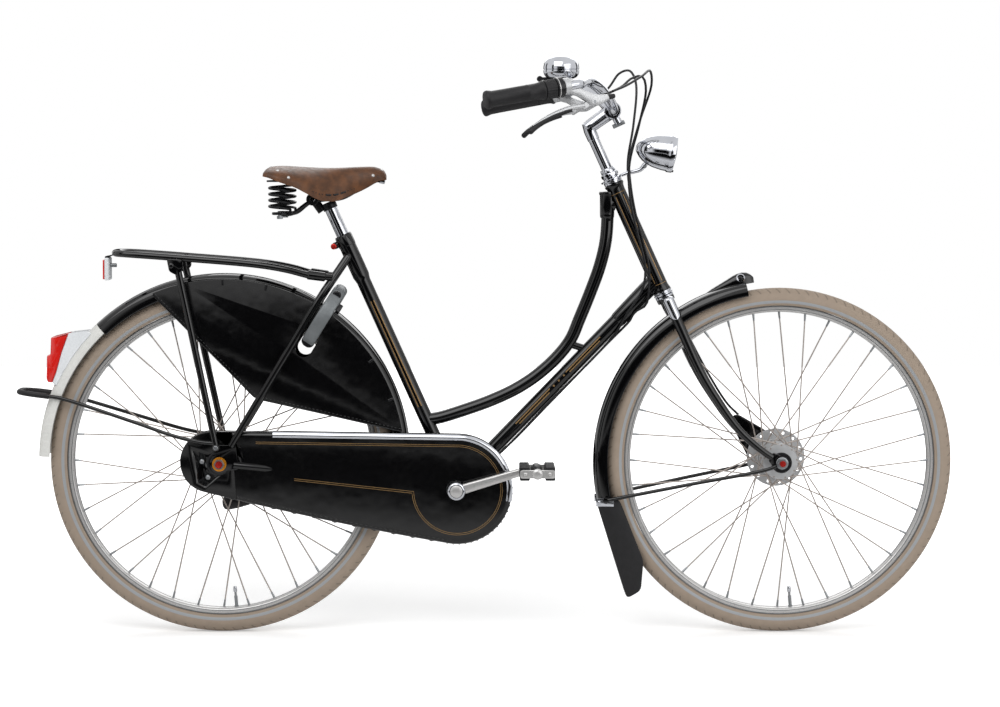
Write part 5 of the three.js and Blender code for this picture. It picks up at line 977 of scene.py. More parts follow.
def pedals(settings):
    tread_start, tread_end, ribs = 93, 175.5, 6
    for name, side, turn in (("right", -1, CRANK_ANGLE), ("left", 1, CRANK_ANGLE + 180)):
        centre = turned_place(BRACKET, CRANK_LENGTH, turn)
        form = Form("moulded_rubber_black")
        for way in (-1, 1):
            back, ahead = sorted((way * 15.4, way * 35))
            for k in range(ribs):
                near, far = sorted(
                    side * (tread_start + (tread_end - tread_start) * share / ribs) for share in (k, k + 0.82))
                form.block(centre + at(back, near, -13.5), centre + at(ahead, far, 13.5), 1.6)
            near, far = sorted((side * tread_start, side * (tread_end - 2.5)))
            form.block(centre + at(back + 1.6, near, -12), centre + at(ahead - 1.6, far, 12), 1)
        form.use("anodised_aluminium")
        plate = round_corners([(-35, -8.3), (35, -8.3), (35, 8.3), (-35, 8.3)], 6, 5)
        for ends in ((88.2, 91.2), (174, 177)):
            form.plate([(centre.x + x, centre.z + z) for x, z in plate], *sorted(side * end for end in ends), 0.6)
        for x in (-24, 24):
            form.dome(centre + at(x, side * 177, 0), at(0, side, 0), 4, 2.2)
        form.turned([(10.5, 173), (11, 174), (11, 176), (9, 178.5), (5, 179.6), (0.3, 180)], centre, side, 28)
        form.use("moulded_abs_black").turned(
            [(8.6, 90), (11, 90.6), (10, 98), (8.6, 106), (8.4, 154), (10, 168), (10.6, 174)], centre, side, 28)
        dress(f"{name}_pedal", form, f"{name}_pedal", "black_rubber",
              cutters=[bore(centre, side * 84, side * 177, 5.3, 16)])


def rear_axle(settings):
    form = Form("zinc_plated_steel").cross(REAR_AXLE, -84, 82, 5, 20)
    for side in (-1, 1):
        form.turned([(12.5, 67.4), (13, 68), (13, 70.3), (12, 70.6)], REAR_AXLE, side, 28)
        form.turned([(10.2, 70.2), (11, 71), (11, 78.6), (10.2, 79.4)], REAR_AXLE, side, 6)
    form.use("anodised_orange").turned([(11.6, 70.8), (14.4, 71.2), (14.4, 73.4), (11.6, 74)], REAR_AXLE, -1, 28)
    form.use("anodised_red").turned([(7.2, 79), (7.2, 84.5), (6, 86.4), (3, 87), (0.3, 87)], REAR_AXLE, -1, 24)
    form.use("anodised_aluminium").turned(
        [(11, 61.4), (11, 54.4), (38, 52), (43, 50), (44, 47), (44, 36), (42, 33.6)], REAR_AXLE, 1, 44)
    for k in range(18):
        form.rod(turned_place(REAR_AXLE, 40.5, 20 * k, 38), turned_place(REAR_AXLE, 45, 20 * k, 38), 1.4, 8)
    form.use("zinc_plated_steel").cross(REAR_AXLE, -61.5, -54.5, 10, 24)
    form.bend([at(20, 49, 323), at(90, 42.5, 322), at(200, 36, 304)], (6, 4), 20, 14)
    # The clip that ties the brake's arm to the stay.
    form.block(at(188, 32, 299), at(202, 44, 314), 1.5)
    dress("rear_axle", form, "frame", "steel")


def guard_profile(radius, drop):
    """A rounded guard with rolled edges, as distances from the axle and to the side."""
    depth = [(0, 0), (0.2, 0.008), (0.4, 0.035), (0.6, 0.085), (0.75, 0.16), (0.86, 0.28), (0.93, 0.44),
             (0.975, 0.66), (1.0, 0.88)]
    half, wall = GUARD_HALF, 1.4
    outer = [(radius - drop * down, half * side) for side, down in depth]
    outer += [(radius - drop * 0.95, half), (radius - drop, half - 0.9), (radius - drop * 0.99, half - 2.4),
              (radius - drop * 0.9, half - 2.6)]
    inner = [(radius - drop * down - wall, (half - wall) * side) for side, down in reversed(depth[:-1])]
    right = outer + inner
    left = [(r, -side) for r, side in reversed(right)]
    return right + left[1:-1]


def rear_guard(settings):
    form = Form()
    form.hoop(guard_profile(GUARD_RADIUS, 31.0), GUARD_CENTRE, 110, -4, 133)
    tongue = arc_points(GUARD_CENTRE, 379.4, -9, -2, 6) + arc_points(GUARD_CENTRE, 377.6, -2, -9, 6)
    form.plate(tongue, -10, 10)
    dress("rear_mudguard", form, "frame", "black_paint")
    tail = Form("stove_enamel_white")
    tail.hoop(guard_profile(GUARD_RADIUS, 26.0), GUARD_CENTRE, 46, 133.06, 179)
    dress("rear_mudguard_tail", tail, "frame", "white_paint")


def rear_lamp(settings):
    foot = [(p.x, p.z) for p in (turned_place(GUARD_CENTRE, 372, a) for a in (136, 141, 146, 151, 156))]
    seam = [(-344, 513.5), (-335, 537), (-325, 574), (-310, 615)]
    form = Form("moulded_abs_white")
    shell = round_corners(seam + [(-275, 619), *foot], 3)
    form.slab(shell, ((1.2, -29.4), (0, -28), (0, 28), (1.2, 29.4)))
    dress("rear_lamp", form, "frame", "white_paint")
    # The lens steps out below its upper block, as the reflector's window does.
    glass = round_corners([*((x - 0.6, z) for x, z in seam),
                           (-347, 606), (-348.5, 571), (-355.5, 569), (-357, 522), (-354, 514.5)], 3)
    form = Form("polycarbonate_red").slab(glass, ((3, -27), (1, -26), (0, -23), (0, 23), (1, 26), (3, 27)))
    for height, back in ((545, -352), (590, -343)):
        form.block(at(back, -27.3, height - 1), at(back + 12, -26.5, height + 1), 0.4)
    dress("rear_lamp_lens", form, "frame", "red_lens")


def coat_guards(settings):
    edge = arc_points(GUARD_CENTRE, 369, 9, 113, 70)
    outline = round_corners(edge + [(66, 484), (86, 477)], 4, 2)
    # A long hole lets the lock through.
    half = 16.5
    low, high = LOCK_CENTRE - LOCK_UP * 72, LOCK_CENTRE - LOCK_UP * 45
    hole = [low - LOCK_AHEAD * half, low + LOCK_AHEAD * half, high + LOCK_AHEAD * half, high - LOCK_AHEAD * half]
    for name, side in (("left", 1), ("right", -1)):
        near, far = sorted((31.6 * side, 33.2 * side))
        face = 33.2 * side
        form = Form("lacquered_cloth").plate(outline, near, far, 0.5)
        cutters = [bore(low, 20 * side, 45 * side, half, 32), bore(high, 20 * side, 45 * side, half, 32),
                   Form().plate([(p.x, p.z) for p in hole], *sorted((20 * side, 45 * side)))]
        dress(f"{name}_coat_guard", form, "frame", "black_cloth", cutters=cutters)
        trim = Form("lacquered_cloth")
        # Beading sewn along the lower edge, with its row of stitches.
        start, corner, end = at(edge[0][0] - 3, face, edge[0][1] + 1), at(87, face, 478.5), at(67, face, 485.5)
        last = at(edge[-1][0] + 2, face, edge[-1][1] - 3)
        for a, b in ((start, corner), (corner, end), (end, last)):
            trim.tube([a, b], 1.1, 10)
        trim.use("waxed_thread")
        for a, b in ((start, corner), (end, last)):
            way = (b - a).normalized()
            inward = at(way.z, 0, -way.x)
            count = int((b - a).length / 8)
            for k in range(count):
                p = lerp(a, b, (k + 0.2) / count) + inward * 5
                q = lerp(a, b, (k + 0.75) / count) + inward * 5
                trim.tube([p, lerp(p, q, 0.5) + at(0, 0.35 * side, 0), q], [0.3, 0.65, 0.3], 6)
        # Clips hook the cloth to the mudguard's edge.
        trim.use("moulded_abs_black")
        for angle in (20, 34, 76, 90, 104):
            a, b = (turned_place(GUARD_CENTRE, reach, angle, face) for reach in (357, 368))
            trim.tube([a, lerp(a, b, 0.5), b], [2.4, 2.8, 2.4], 12, squash=0.5)
        make(f"{name}_coat_guard_trim", trim, "frame", slot="black_cloth")


def front_guard(settings):
    """The guard comes nearer to the tyre towards its nose, where a crest with an eye stands on it."""
    form = Form()
    centre = FRONT_AXLE + at(-3.9, 0, -5.4)
    form.hoop(guard_profile(376, 28.0), centre, 90, 100.2, 193.3)
    rings = []
    for angle, height, half in (
            (97.4, 9, 4), (98.2, 15, 6.5), (99.2, 19.5, 8.6), (100.6, 21.5, 9.8), (102.2, 20.5, 10.2),
            (103.8, 17.5, 10), (105.8, 13, 9.2), (108, 9, 8.2), (110.6, 5.2, 6.6), (113.2, 0.8, 3.4)):
        ring = []
        for k in range(19):
            turn = pi * (k / 18 - 0.5)
            reach = 372 + (height + 3) * max(0.0, cos(turn)) ** 0.6
            ring.append(turned_place(centre, reach, angle, half * sin(turn)))
        rings.append(ring)
    form.loft(rings)
    for side in (-1, 1):
        eye = turned_place(centre, 386, 101.4, side * 8.6)
        form.use("chrome_plate").turned(
            [(5.2, -1.5), (8.8, -0.6), (9.2, 0.8), (7.4, 2.6), (5.4, 2.4), (5, 1.2)], eye, side, 30)
        form.use("moulded_abs_black").dome(eye + at(0, side * 0.8, 0), at(0, side, 0), 5.2, 2.2, 24)
    dress("front_mudguard", form, "fork", "black_paint")


def mud_flap(settings):
    top = turned_place(FRONT_AXLE, 383.8, 191.5)
    form = Form("moulded_rubber_black")
    outline = [top, top + at(48, 0, 0), top + at(97.9, 0, -126.5), top + at(92.8, 0, -187.7), top + at(64, 0, -204)]
    form.slab(round_corners([(p.x, p.z) for p in outline], 10, 4), ((2, -33.8), (0, -33), (0, 33), (2, 33.8)))
    slope, wall = at(64, 0, -204).normalized(), at(2.7, 0, 0)
    inside = Form().plate([(p.x, p.z) for p in (
        top - slope * 12 + wall, top + slope * 430 + wall, top + at(408, 0, -204), top + at(408, 0, 12))], -31.3, 31.3)
    guard = Form().hoop([(382, -31.4), (382, 31.4), (361, 31.4), (361, -31.4)], FRONT_AXLE, 40, 100, 194.4)
    dress("mud_flap", form, "fork", "black_rubber", cutters=[inside, guard])
    clip = Form("chrome_plate")
    for side in (-1, 1):
        near, far = sorted((side * 33.6, side * 35))
        clip.block(at(top.x + 1, near, top.z - 15), at(top.x + 37, far, top.z + 1), 0.5)
        clip.dome(at(top.x + 7, side * 35, top.z - 7), at(0, side, 0), 4, 2.4, 18)
    make("mud_flap_clip", clip, "fork", slot="chrome")


def front_stay(settings):
    end = turned_place(FRONT_AXLE, 364.5, 192.5, 38.1)
    start = at(1108, 62, 341)
    form = Form().bend([at(1128, 61.6, 349), start, lerp(start, end, 0.5), end], 3.8, 30, 16)
    form.lathe([(4, 0), (6, 0.6), (6, 3), (4, 3.6)], end + at(0, 2.4, 0), end + at(0, 9, 0), 18)
    form.both_sides()
    form.rod(flipped(end), end, 2.3, 14)
    dress("front_stay", form, "fork", "black_paint", cutters=[bore(FRONT_AXLE, -90, 90, 14.2, 24)])


def rear_loop(settings):
    start = at(-6, 75, 395)
    shares = [(0, 0, 1), (0.083, 0.03, 0.91), (0.206, 0.14, 0.77), (0.419, 0.42, 0.42), (0.787, 0.885, 0),
              (0.843, 0.92, 0), (0.929, 0.965, -0.01), (0.993, 0.995, -0.34)]
    side = [at(start.x - 408 * back, 35.3 + (start.y - 35.3) * out, start.z + 99.5 * up) for back, up, out in shares]
    end = at(start.x - 408, 0, start.z + 99.5)
    form = Form().bend(mirrored(side, end), 3.9, 110, 16)
    form.use("moulded_rubber_black").bend(mirrored(side[5:], end), 5.6, 60, 16)
    dress("rear_stay", form, "frame", "black_paint")


CARRIER_SHARES = [
    (0, 0.667, 1), (0.05, 0.733, 0.96), (0.105, 0.85, 0.9), (0.2, 0.967, 0.673), (0.33, 1, 0.47),
    (0.695, 1, 0.184), (0.9, 0.983, 0.05), (0.975, 0.833, 0.01), (1, 0.5, 0)]


def on_carrier(back, side, down):
    return at(226 - 440 * back, 60 * side, 778 - 49 * down)


def carrier(settings):
    form = Form()
    side = [on_carrier(*share) for share in CARRIER_SHARES]
    form.bend(mirrored(side), 6.8, 130, 18)
    for share in ((0.15, 0.9, 0.816), (0.4227, 1, 0.388), (0.6955, 1, 0.184)):
        a = on_carrier(*share)
        form.rod(a, flipped(a), 4.4, 16)
    legs = Form()
    top, foot = on_carrier(0.7136, 1, 0.204), at(-6, 74.2, 387)
    legs.rod(top, foot, (7.4, 6.6), 20)
    shape = ((-17, 0), (15, -2), (17, -20), (4, -34), (-12, -26))
    legs.plate(round_corners([(top.x + x, top.z + z) for x, z in shape], 5), 57, 68, 1.2)
    legs.dome(at(top.x - 8, 68, top.z - 14), at(0, 1, 0), 6, 3, 20)
    legs.rod(on_carrier(0.03, 0.72, 0.98), on_carrier(0.11, 0.86, 0.88), 9.4, 22, 1.4)
    legs.turned([(4, 67.5), (7, 67.8), (7, 80), (5, 82)], at(-6, 0, 387), 1, 18)
    legs.use("zinc_plated_steel").turned([(5, 80), (5, 83.5), (4, 84.2)], at(-6, 0, 387), 1, 6)
    form.join(legs.both_sides())
    bracket = round_corners([(-238, 722), (-230, 722), (-230, 770), (-206, 776), (-206, 778), (-238, 771)], 2)
    form.use("stove_enamel_black").plate(bracket, -14, 14, 0.8)
    form.use("moulded_abs_white").block(at(-237.8, -22, 722), at(-229, 22, 768), 2)
    form.use("zinc_plated_steel").rod(at(-230, 0, 752), at(-216, 0, 752), 4, 16, 0.6)
    dress("carrier", form, "frame", "black_paint")
    lens = Form("polycarbonate_red").block(at(-241.5, -20, 724), at(-238.1, 20, 764), 1.4)
    make("carrier_reflector", lens, "frame", slot="red_lens")


def lock_matrix():
    basis = Matrix((at(0, 1, 0), LOCK_UP, at(0, 1, 0).cross(LOCK_UP))).transposed().to_4x4()
    return Matrix.Translation(LOCK_CENTRE) @ basis


def ring_piece(form, section, start, end, steps):
    """A section of radius and depth swept round the lock's own centre."""
    turns = [radians(start + (end - start) * i / steps) for i in range(steps + 1)]
    return form.loft([[at(r * cos(turn), r * sin(turn), depth) for r, depth in section] for turn in turns])


def rounded_end(point):
    """Draws the case in towards its top and its two feet, so that it looks like a capsule from the side."""
    top, foot, round_off = 78.5, -65.5, 14.0
    room = min(top - point.y, point.y - foot, round_off)
    share = sqrt(max(0.0, round_off ** 2 - (round_off - room) ** 2)) / round_off
    return at(point.x, point.y, point.z * max(share, 0.12))


def wheel_lock(settings):
    case = [(55.6, -11), (58, -13.2), (75, -13.5), (77.4, -11.5), (78, -8), (78, 8), (77.4, 11.5), (75, 13.5),
            (58, 13.2), (55.6, 11), (55, 8), (55, -8)]
    form = Form("powder_coat_grey")
    ring_piece(form, case, -50, 230, 90)
    form.use("moulded_abs_black")
    cap = [(r + (0.35 if r > 66 else -0.35), d * 1.02) for r, d in case]
    ring_piece(form, cap, -55, -45, 8)
    ring_piece(form, cap, 225, 235, 8)
    form.points = [rounded_end(p) for p in form.points]
    form.moved(lock_matrix())
    # The bolt's channel, the slot for its knob and the socket that it closes into.
    channel = [(62.6, -4.9), (72.4, -4.9), (72.4, 4.9), (62.6, 4.9)]
    slot = [(63.6, 4), (71.4, 4), (71.4, 20), (63.6, 20)]
    cutters = [ring_piece(Form(), *cut).moved(lock_matrix()) for cut in (
        (channel, 141, 262, 40), (slot, 141.5, 231, 30), (channel, -57, -46, 6))]
    dress("wheel_lock", form, "frame", "grey_plastic", cutters=cutters)
    key = Form("moulded_abs_black")
    spot = LOCK_CENTRE + LOCK_UP * 58
    key.lathe([(8.4, -22), (9, -1), (8.4, 0.6), (6.4, 1.2), (6, 0.2), (0.3, 0.2)], at(spot.x, -53, spot.z),
              at(spot.x, -75, spot.z), 32)
    make("wheel_lock_key", key, "frame", slot="black_plastic")
    bolt = Form("chrome_plate")
    rounded = [(67.5 + 4.4 * cos(pi * k / 6), 4.4 * sin(pi * k / 6)) for k in range(12)]
    ring_piece(bolt, rounded, 143.4, 233, 40)
    bolt.use("moulded_abs_black")
    ring_piece(bolt, [(64, 0), (71, 0), (71, 17), (64, 17)], 143, 151, 5)
    knob = [(59.5, 15), (61, 14.5), (74, 14.5), (75.5, 15), (75.5, 21), (74, 23), (61, 23), (59.5, 21)]
    ring_piece(bolt, knob, 141, 154, 8)
    bolt.moved(lock_matrix())
    dress("lock_bolt", bolt, "lock_bolt", "steel")


def kickstand(settings):
    pivot, axis = STAND_PIVOT, STAND_AXIS
    foot = at(274 - 282 * 0.993, 64, 287 - 282 * 0.118)
    form = Form("blackened_steel").rod(pivot + axis * 6, pivot - axis * 6, 12, 32, 1.2)
    start = lerp(pivot, foot, 0.05)
    form.bend([start, lerp(start, foot, 0.3), lerp(start, foot, 0.6), lerp(pivot, foot, 0.9)], (7.9, 7), 30, 20)
    form.use("moulded_rubber_black").lathe(
        [(7.6, 226), (9.6, 230), (11.4, 240), (13.6, 254), (15, 268), (14.6, 277), (12, 282), (7, 284.5), (0.3, 285)],
        pivot, foot, 28)
    dress("kickstand", form, "kickstand", "black_paint",
          cutters=[Form().rod(pivot + axis * 6.05, pivot + axis * 40, 24, 24)])


def fork_parts(settings):
    form = Form().rod(on_steering(385, 0), on_steering(HEADSET_TOP - 0.5, 0), 12.6, 28)
    form.rod(on_steering(395, 0, -50), on_steering(395, 0, 50), 10, 28)
    seat, above = on_steering(FORK_LENGTH, 0), on_steering(FORK_LENGTH + 1, 0)
    form.lathe([(18, -14), (18.6, -9), (18.6, -6), (17, -4), (12.7, -4)], seat, above, 36)
    form.use("chrome_plate").lathe([(17, -5), (19, -4.4), (19, -1), (17, -0.1), (12.7, 0)], seat, above, 36)
    side = Form().bend(BLADE, (11, 7), 60, 26)
    side.dome(BLADE[0], STEER_UP, 11, 7, 24, 5)
    outline = [on_steering(*place) for place in ((-14, 75), (6, 87), (28, 67), (14, 51), (-8, 65))]
    side.plate(round_corners([(p.x, p.z) for p in outline], 5), 52, 57, 0.7)
    side.turned([(13, 52), (14, 52.8), (14, 56.2), (13, 57)], FRONT_AXLE, 1, 30)
    form.join(side.both_sides())
    dress("fork", form, "fork", "black_paint", cutters=[bore(FRONT_AXLE, -70, 70, 5.4, 20)])
    # The bright cover hangs over the crown in a scallop that tapers down each blade.
    cover = Form("chrome_plate")
    for side in (-1, 1):
        rings = []
        for i in range(15):
            share = i / 14
            reach, spread = 12.2 - 0.6 * share, radians(150 * (1 - share) ** 0.6 + 6)
            shell = [(reach, spread * (k / 12 - 0.5) * 2) for k in range(13)]
            shell += [(reach - 1.2, -turn) for _, turn in shell]
            rings.append([on_steering(398 - 44 * share, 1 + r * sin(turn), side * (45 + r * cos(turn)))
                          for r, turn in shell])
        cover.loft(rings)
        cover.dome(on_steering(396, 1, side * 45), STEER_UP, 12.3, 8, 28, 6)
    make("fork_crown_cover", cover, "fork", slot="chrome")


def headset_stem(settings):
    form = Form("chrome_plate")
    base, tip = on_steering(HEAD_TOP + 3.3, 0), on_steering(HEADSET_TOP, 0)
    profile = [(13.1, 0), (17, 0), (18.6, 1), (19, 3), (19, 9), (17.6, 11), (16.2, 12), (16.2, 15.4), (17, 16),
               (18.2, 17.2), (18.2, 22), (17, 23.2), (15.4, 24), (15.2, 32.5), (14.4, 33.7), (13.1, 33.7)]
    along = (tip - base).normalized()
    first, second = across_of(along)
    rings = []
    for k in range(48):
        turn = 2 * pi * k / 48
        # The locknut has eight flats.
        flat = cos(pi / 8) / cos((turn % (pi / 4)) - pi / 8)
        way = first * cos(turn) + second * sin(turn)
        rings.append([base + along * d + way * (r * (flat if 17 < d < 23 else 1.0)) for r, d in profile])
    form.loft(rings, loop=True)
    dress("headset", form, "fork", "chrome")
    stem = Form("chrome_plate").rod(on_steering(HEADSET_TOP + 0.4, 0), on_steering(QUILL_END - 2, 0), 11, 36)
    corner = on_steering(QUILL_END + 14, 1)
    stem.tube([on_steering(QUILL_END - 14, 0), on_steering(QUILL_END - 13, 0), on_steering(QUILL_END + 6, 0.3), corner,
               lerp(corner, BAR_CENTRE, 0.16), lerp(corner, BAR_CENTRE, 0.6), BAR_CENTRE],
              [11.2, 12.2, 12.8, 15, 14, 14.4, 15.6], 36)
    stem.cross(BAR_CENTRE, -19, 19, 17.8, 44, 2.2)
    stem.rod(BAR_CENTRE, on_steering(QUILL_END - 4, 60), 8, 20)
    stem.use("zinc_plated_steel").rod(on_steering(QUILL_END - 6, 46), on_steering(QUILL_END - 6, 72), 5, 6, 1)
    stem.lathe([(7, 0), (7, 2), (5.5, 3), (4.2, 3), (4, 1), (0.3, 1)], on_steering(QUILL_END + 20, 3),
               on_steering(QUILL_END + 30, 1), 20)
    dress("stem", stem, "fork", "chrome", cutters=[bore(BAR_CENTRE, -40, 40, 11.4, 40)])
    straight = [lerp(BAR_END, BAR_BEND, k / 8) for k in range(8)]
    curve = smooth_path(BAR_HALF + [BAR_CENTRE + at(0, -22.8, 0)], 48)
    bar = Form("chrome_plate").tube(mirrored(straight + curve), 11.1, 28)
    dress("handlebar", bar, "fork", "chrome")


def along_grip(distance):
    return BAR_END + GRIP_WAY * distance


def annular(form, profile, start, towards, sides=40):
    """A turned ring; its profile of radius and distance closes on itself."""
    along = (towards - start).normalized()
    first, second = across_of(along)
    return form.loft([[start + along * d + (first * c + second * s) * r for r, d in profile] for c, s in circle(sides)],
                     loop=True)


def grip_form(length):
    form = Form("moulded_rubber_black")
    profile = [(0.01, -5), (12, -5), (16.5, -4), (18, -2), (18.2, 1), (17.2, 5), (15.9, 11)]
    profile += [(15.7, 30), (15.9, length - 34), (16.2, length - 33.4), (16.2, length - 32.6), (15.9, length - 32),
                (15.9, length - 16), (16.6, length - 9), (18.6, length - 4), (18.8, length - 1.5),
                (18.2, length - 0.2), (11.5, length - 0.2), (11.5, -0.6), (0.01, -0.6)]
    annular(form, profile, BAR_END, BAR_BEND)
    return form


def controls(settings):
    dress("right_grip", grip_form(116), "fork", "black_rubber", centre=BAR_END)
    left = grip_form(155.9)
    left.points = [flipped(p) for p in left.points]
    dress("left_grip", left, "fork", "black_rubber", centre=flipped(BAR_END))
    twist = Form("moulded_rubber_black")
    start = 116.3
    rings = []
    first, second = across_of(GRIP_WAY)
    for k, (c, s) in enumerate(circle(96)):
        rib = 0.7 if k % 4 < 2 else 0.0
        rings.append([BAR_END + GRIP_WAY * (start + d) + (first * c + second * s) * (r - rib * w) for r, d, w in (
            (11.5, 0.1, 0), (17, 0.1, 0), (19, 1.6, 0), (19, 3, 1), (19, 21, 1), (19, 22.4, 0), (17, 23.9, 0),
            (11.5, 23.9, 0))])
    twist.loft(rings, loop=True)
    make("gear_twist_finish", twist, "gear_twist", "gear_twist_grip", slot="black_rubber", centre=BAR_END)
    housing = Form("moulded_abs_black")
    annular(housing, [(11.5, 0.1), (18.6, 0.1), (20, 1.6), (20, 13.4), (18.6, 14.9), (11.5, 14.9)],
            along_grip(start + 24.3), along_grip(200))
    housing.use("anodised_aluminium")
    annular(housing, [(20.0, 3), (20.3, 3.2), (20.3, 4.6), (20.0, 4.8)], along_grip(start + 24.3), along_grip(200), 48)
    dress("gear_housing", housing, "fork", "black_plastic", centre=BAR_END)
    brake_controls(settings)


CLAMP_START = 116 + 0.3 + 24 + 0.3 + 15 + 0.3
CONTROL_UP = (at(0, 0, 1) - GRIP_WAY * GRIP_WAY.z).normalized()
CONTROL_ACROSS = GRIP_WAY.cross(CONTROL_UP)
PIVOT_ALONG, PIVOT_UP = CLAMP_START + 58, -38


def control_place(along, up, across=0.0):
    """A place by its distance inboard of the lever's pivot, its height over it and its side."""
    return BAR_END + GRIP_WAY * (PIVOT_ALONG + along) + CONTROL_UP * (PIVOT_UP + up) + CONTROL_ACROSS * across


def control_plate(form, outline, width, edge):
    outline = round_corners(outline, 4, 4)
    return form.loft([[control_place(a, u, side) for a, u in inset_outline(outline, inset)]
                      for inset, side in rolled(-width / 2, width / 2, edge)])


def brake_controls(settings):
    for name, mirror in (("right", False), ("left", True)):
        body = Form("bead_blasted_aluminium")
        control_plate(body, [(-57, 34), (-46, 51), (-37, 52), (-20, 27), (6, 12.5), (31, 9.5), (33, -1), (8, -9.5),
                             (-8, -7.5), (-14, 1), (-30, 15), (-45, 22)], 16, 4)
        ring = [(11.8, 0.2), (15.4, 0.2), (16.6, 1.4), (16.6, 12.6), (15.4, 13.8), (11.8, 13.8)]
        annular(body, ring, along_grip(CLAMP_START), along_grip(300))
        body.use("zinc_plated_steel").rod(control_place(0, 0, -8.4), control_place(0, 0, 8.4), 3, 18, 0.5)
        body.use("moulded_rubber_black")
        body.rod(control_place(26, 4), control_place(46, 4), (6.4, 4.4), 22, 1)
        slot = control_plate(Form(), [(-24, -14), (9, -14), (9, 7.5), (-9, 11.5), (-24, 11.5)], 7.6, 0.1)
        room = Form().tube([along_grip(150 + 12 * k) for k in range(7)], 11.5, 28)
        blade = Form("bead_blasted_aluminium")
        control_plate(blade, [(-24, -13), (-8, -7), (0, -8), (7, -4), (7, 3), (0, 7), (-8, 6), (-24, -2)], 7, 0.6)
        path = [(-20, -6), (-48, -6), (-78, -10.5), (-108, -19.5), (-130, -29), (-138, -34)]
        blade.bend([control_place(a, u + 1.6) for a, u in path[:-1]], (5.6, 3.4), 30, 22)
        blade.use("moulded_rubber_black")
        cover = [control_place(a, u - 1.8) for a, u in path[1:]]
        blade.bend(cover, (5.0, 5.8), 30, 22)
        blade.dome(cover[-1], (cover[-1] - cover[-2]).normalized(), 5.8, 5, 22, 5)
        pin_hole = Form().rod(control_place(0, 0, -20), control_place(0, 0, 20), 3.3, 18)
        if mirror:
            for form in (body, slot, room, blade, pin_hole):
                form.points = [flipped(p) for p in form.points]
        pivot = control_place(0, 0)
        centre = flipped(pivot) if mirror else pivot
        dress(f"{name}_brake_body", body, "fork", "aluminium", centre=centre, cutters=[slot, room])
        dress(f"{name}_brake_lever", blade, f"{name}_brake_lever", "aluminium", centre=centre, cutters=[pin_hole])


def bell(settings):
    centre = BAR_CENTRE + at(-95, 205, 98)
    base = centre - at(0, 0, 25)
    form = Form("chrome_plate")
    form.lathe([(20, 0), (27, 0.8), (33, 3.8), (36.6, 9), (38, 14.5), (38, 18), (37, 19), (37, 20), (38, 20.8),
                (38, 25), (36.8, 32), (33.6, 38.6), (28.4, 44), (21.4, 47.8), (13, 49.6), (5, 50), (0.3, 50)],
               base, centre, 64)
    under = at(centre.x + 6, centre.y - 3, base.z - 36)
    form.use("moulded_abs_black").rod(base + at(0, 0, 1), under, (9, 11), 28, 1)
    dress("bell", form, "fork", "chrome", centre=centre,
          cutters=[Form().tube([flipped(place) for place in BAR_HALF[:3]], 11.6, 28)])
    thumb = Form("moulded_abs_black")
    low = base.z + 4
    thumb.block(at(centre.x - 44, centre.y - 5, low - 6.6), at(centre.x - 12, centre.y + 5, low - 0.6), 1.6)
    thumb.rod(at(centre.x - 46, centre.y - 8, low - 4), at(centre.x - 46, centre.y + 8, low - 4), 6, 24, 1.6)
    hole = Form().rod(base + at(0, 0, 5), under, (9.6, 11.6), 28)
    dress("bell_lever", thumb, "bell_lever", "black_rubber", cutters=[hole])


def headlamp(settings):
    turn = radians(34.1)
    axis = (Matrix.Rotation(turn, 3, "Y") @ STEER_AHEAD).normalized()
    rim = on_steering(HEAD_TOP + 7, 138)
    back = rim - axis * 79
    form = Form("chrome_plate")
    outer = [(0.01, -1), (4, -0.6), (10, 2), (17.6, 8), (24.4, 16), (30, 26), (33.8, 37), (36, 49), (37.2, 58),
             (37.6, 66), (39.2, 68), (39.4, 70), (39.2, 77.5), (38, 79), (34.4, 79)]
    inner = [(34.4, 71), (32, 58), (27, 36), (18, 18), (0.01, 10)]
    form.lathe(outer + inner, back, rim, 64)
    form.use("moulded_abs_black")
    form.rod(rim - axis * 6 - at(0, 0, 38.5), rim - axis * 6 - at(0, 0, 34), (3.4, 4), 16, 0.8)
    form.rod(back + axis * 6 - at(0, 0, 4), back - axis * 1 - at(0, 0, 6), (3.6, 3), 16, 0.8)
    dress("headlamp", form, "fork", "chrome", centre=rim)
    lens = Form("polycarbonate_clear").lathe(
        [(0.01, -6), (33.4, -6), (33.6, -1.4), (32, -0.4), (24, 1.8), (12, 3.4), (0.01, 3.9)], rim, rim + axis, 56)
    dress("headlamp_lens", lens, "fork", "lens", centre=rim)
    holder = Form("chrome_plate")
    level = HEAD_TOP + 3 + 8
    annular(holder, [(19.4, 0), (23, 0), (23, 3), (19.4, 3)], on_steering(level, 0), on_steering(level + 3, 0), 44)
    holder.bend([on_steering(level + up, ahead) for up, ahead in (
        (1.5, 21), (0.5, 34), (-3, 50), (-4, 62), (2, 76), (5, 92))], (3.4, 5.6), 30, 18)
    holder.use("zinc_plated_steel").rod(on_steering(level - 2, 72, -9), on_steering(level - 2, 72, 9), 4, 6, 0.6)
    outside = Form().lathe([(r + 0.4, d) for r, d in outer[:-1]] + [(0.01, 80)], back - axis * 0.4, rim, 64)
    dress("headlamp_bracket", holder, "fork", "chrome", cutters=[outside])


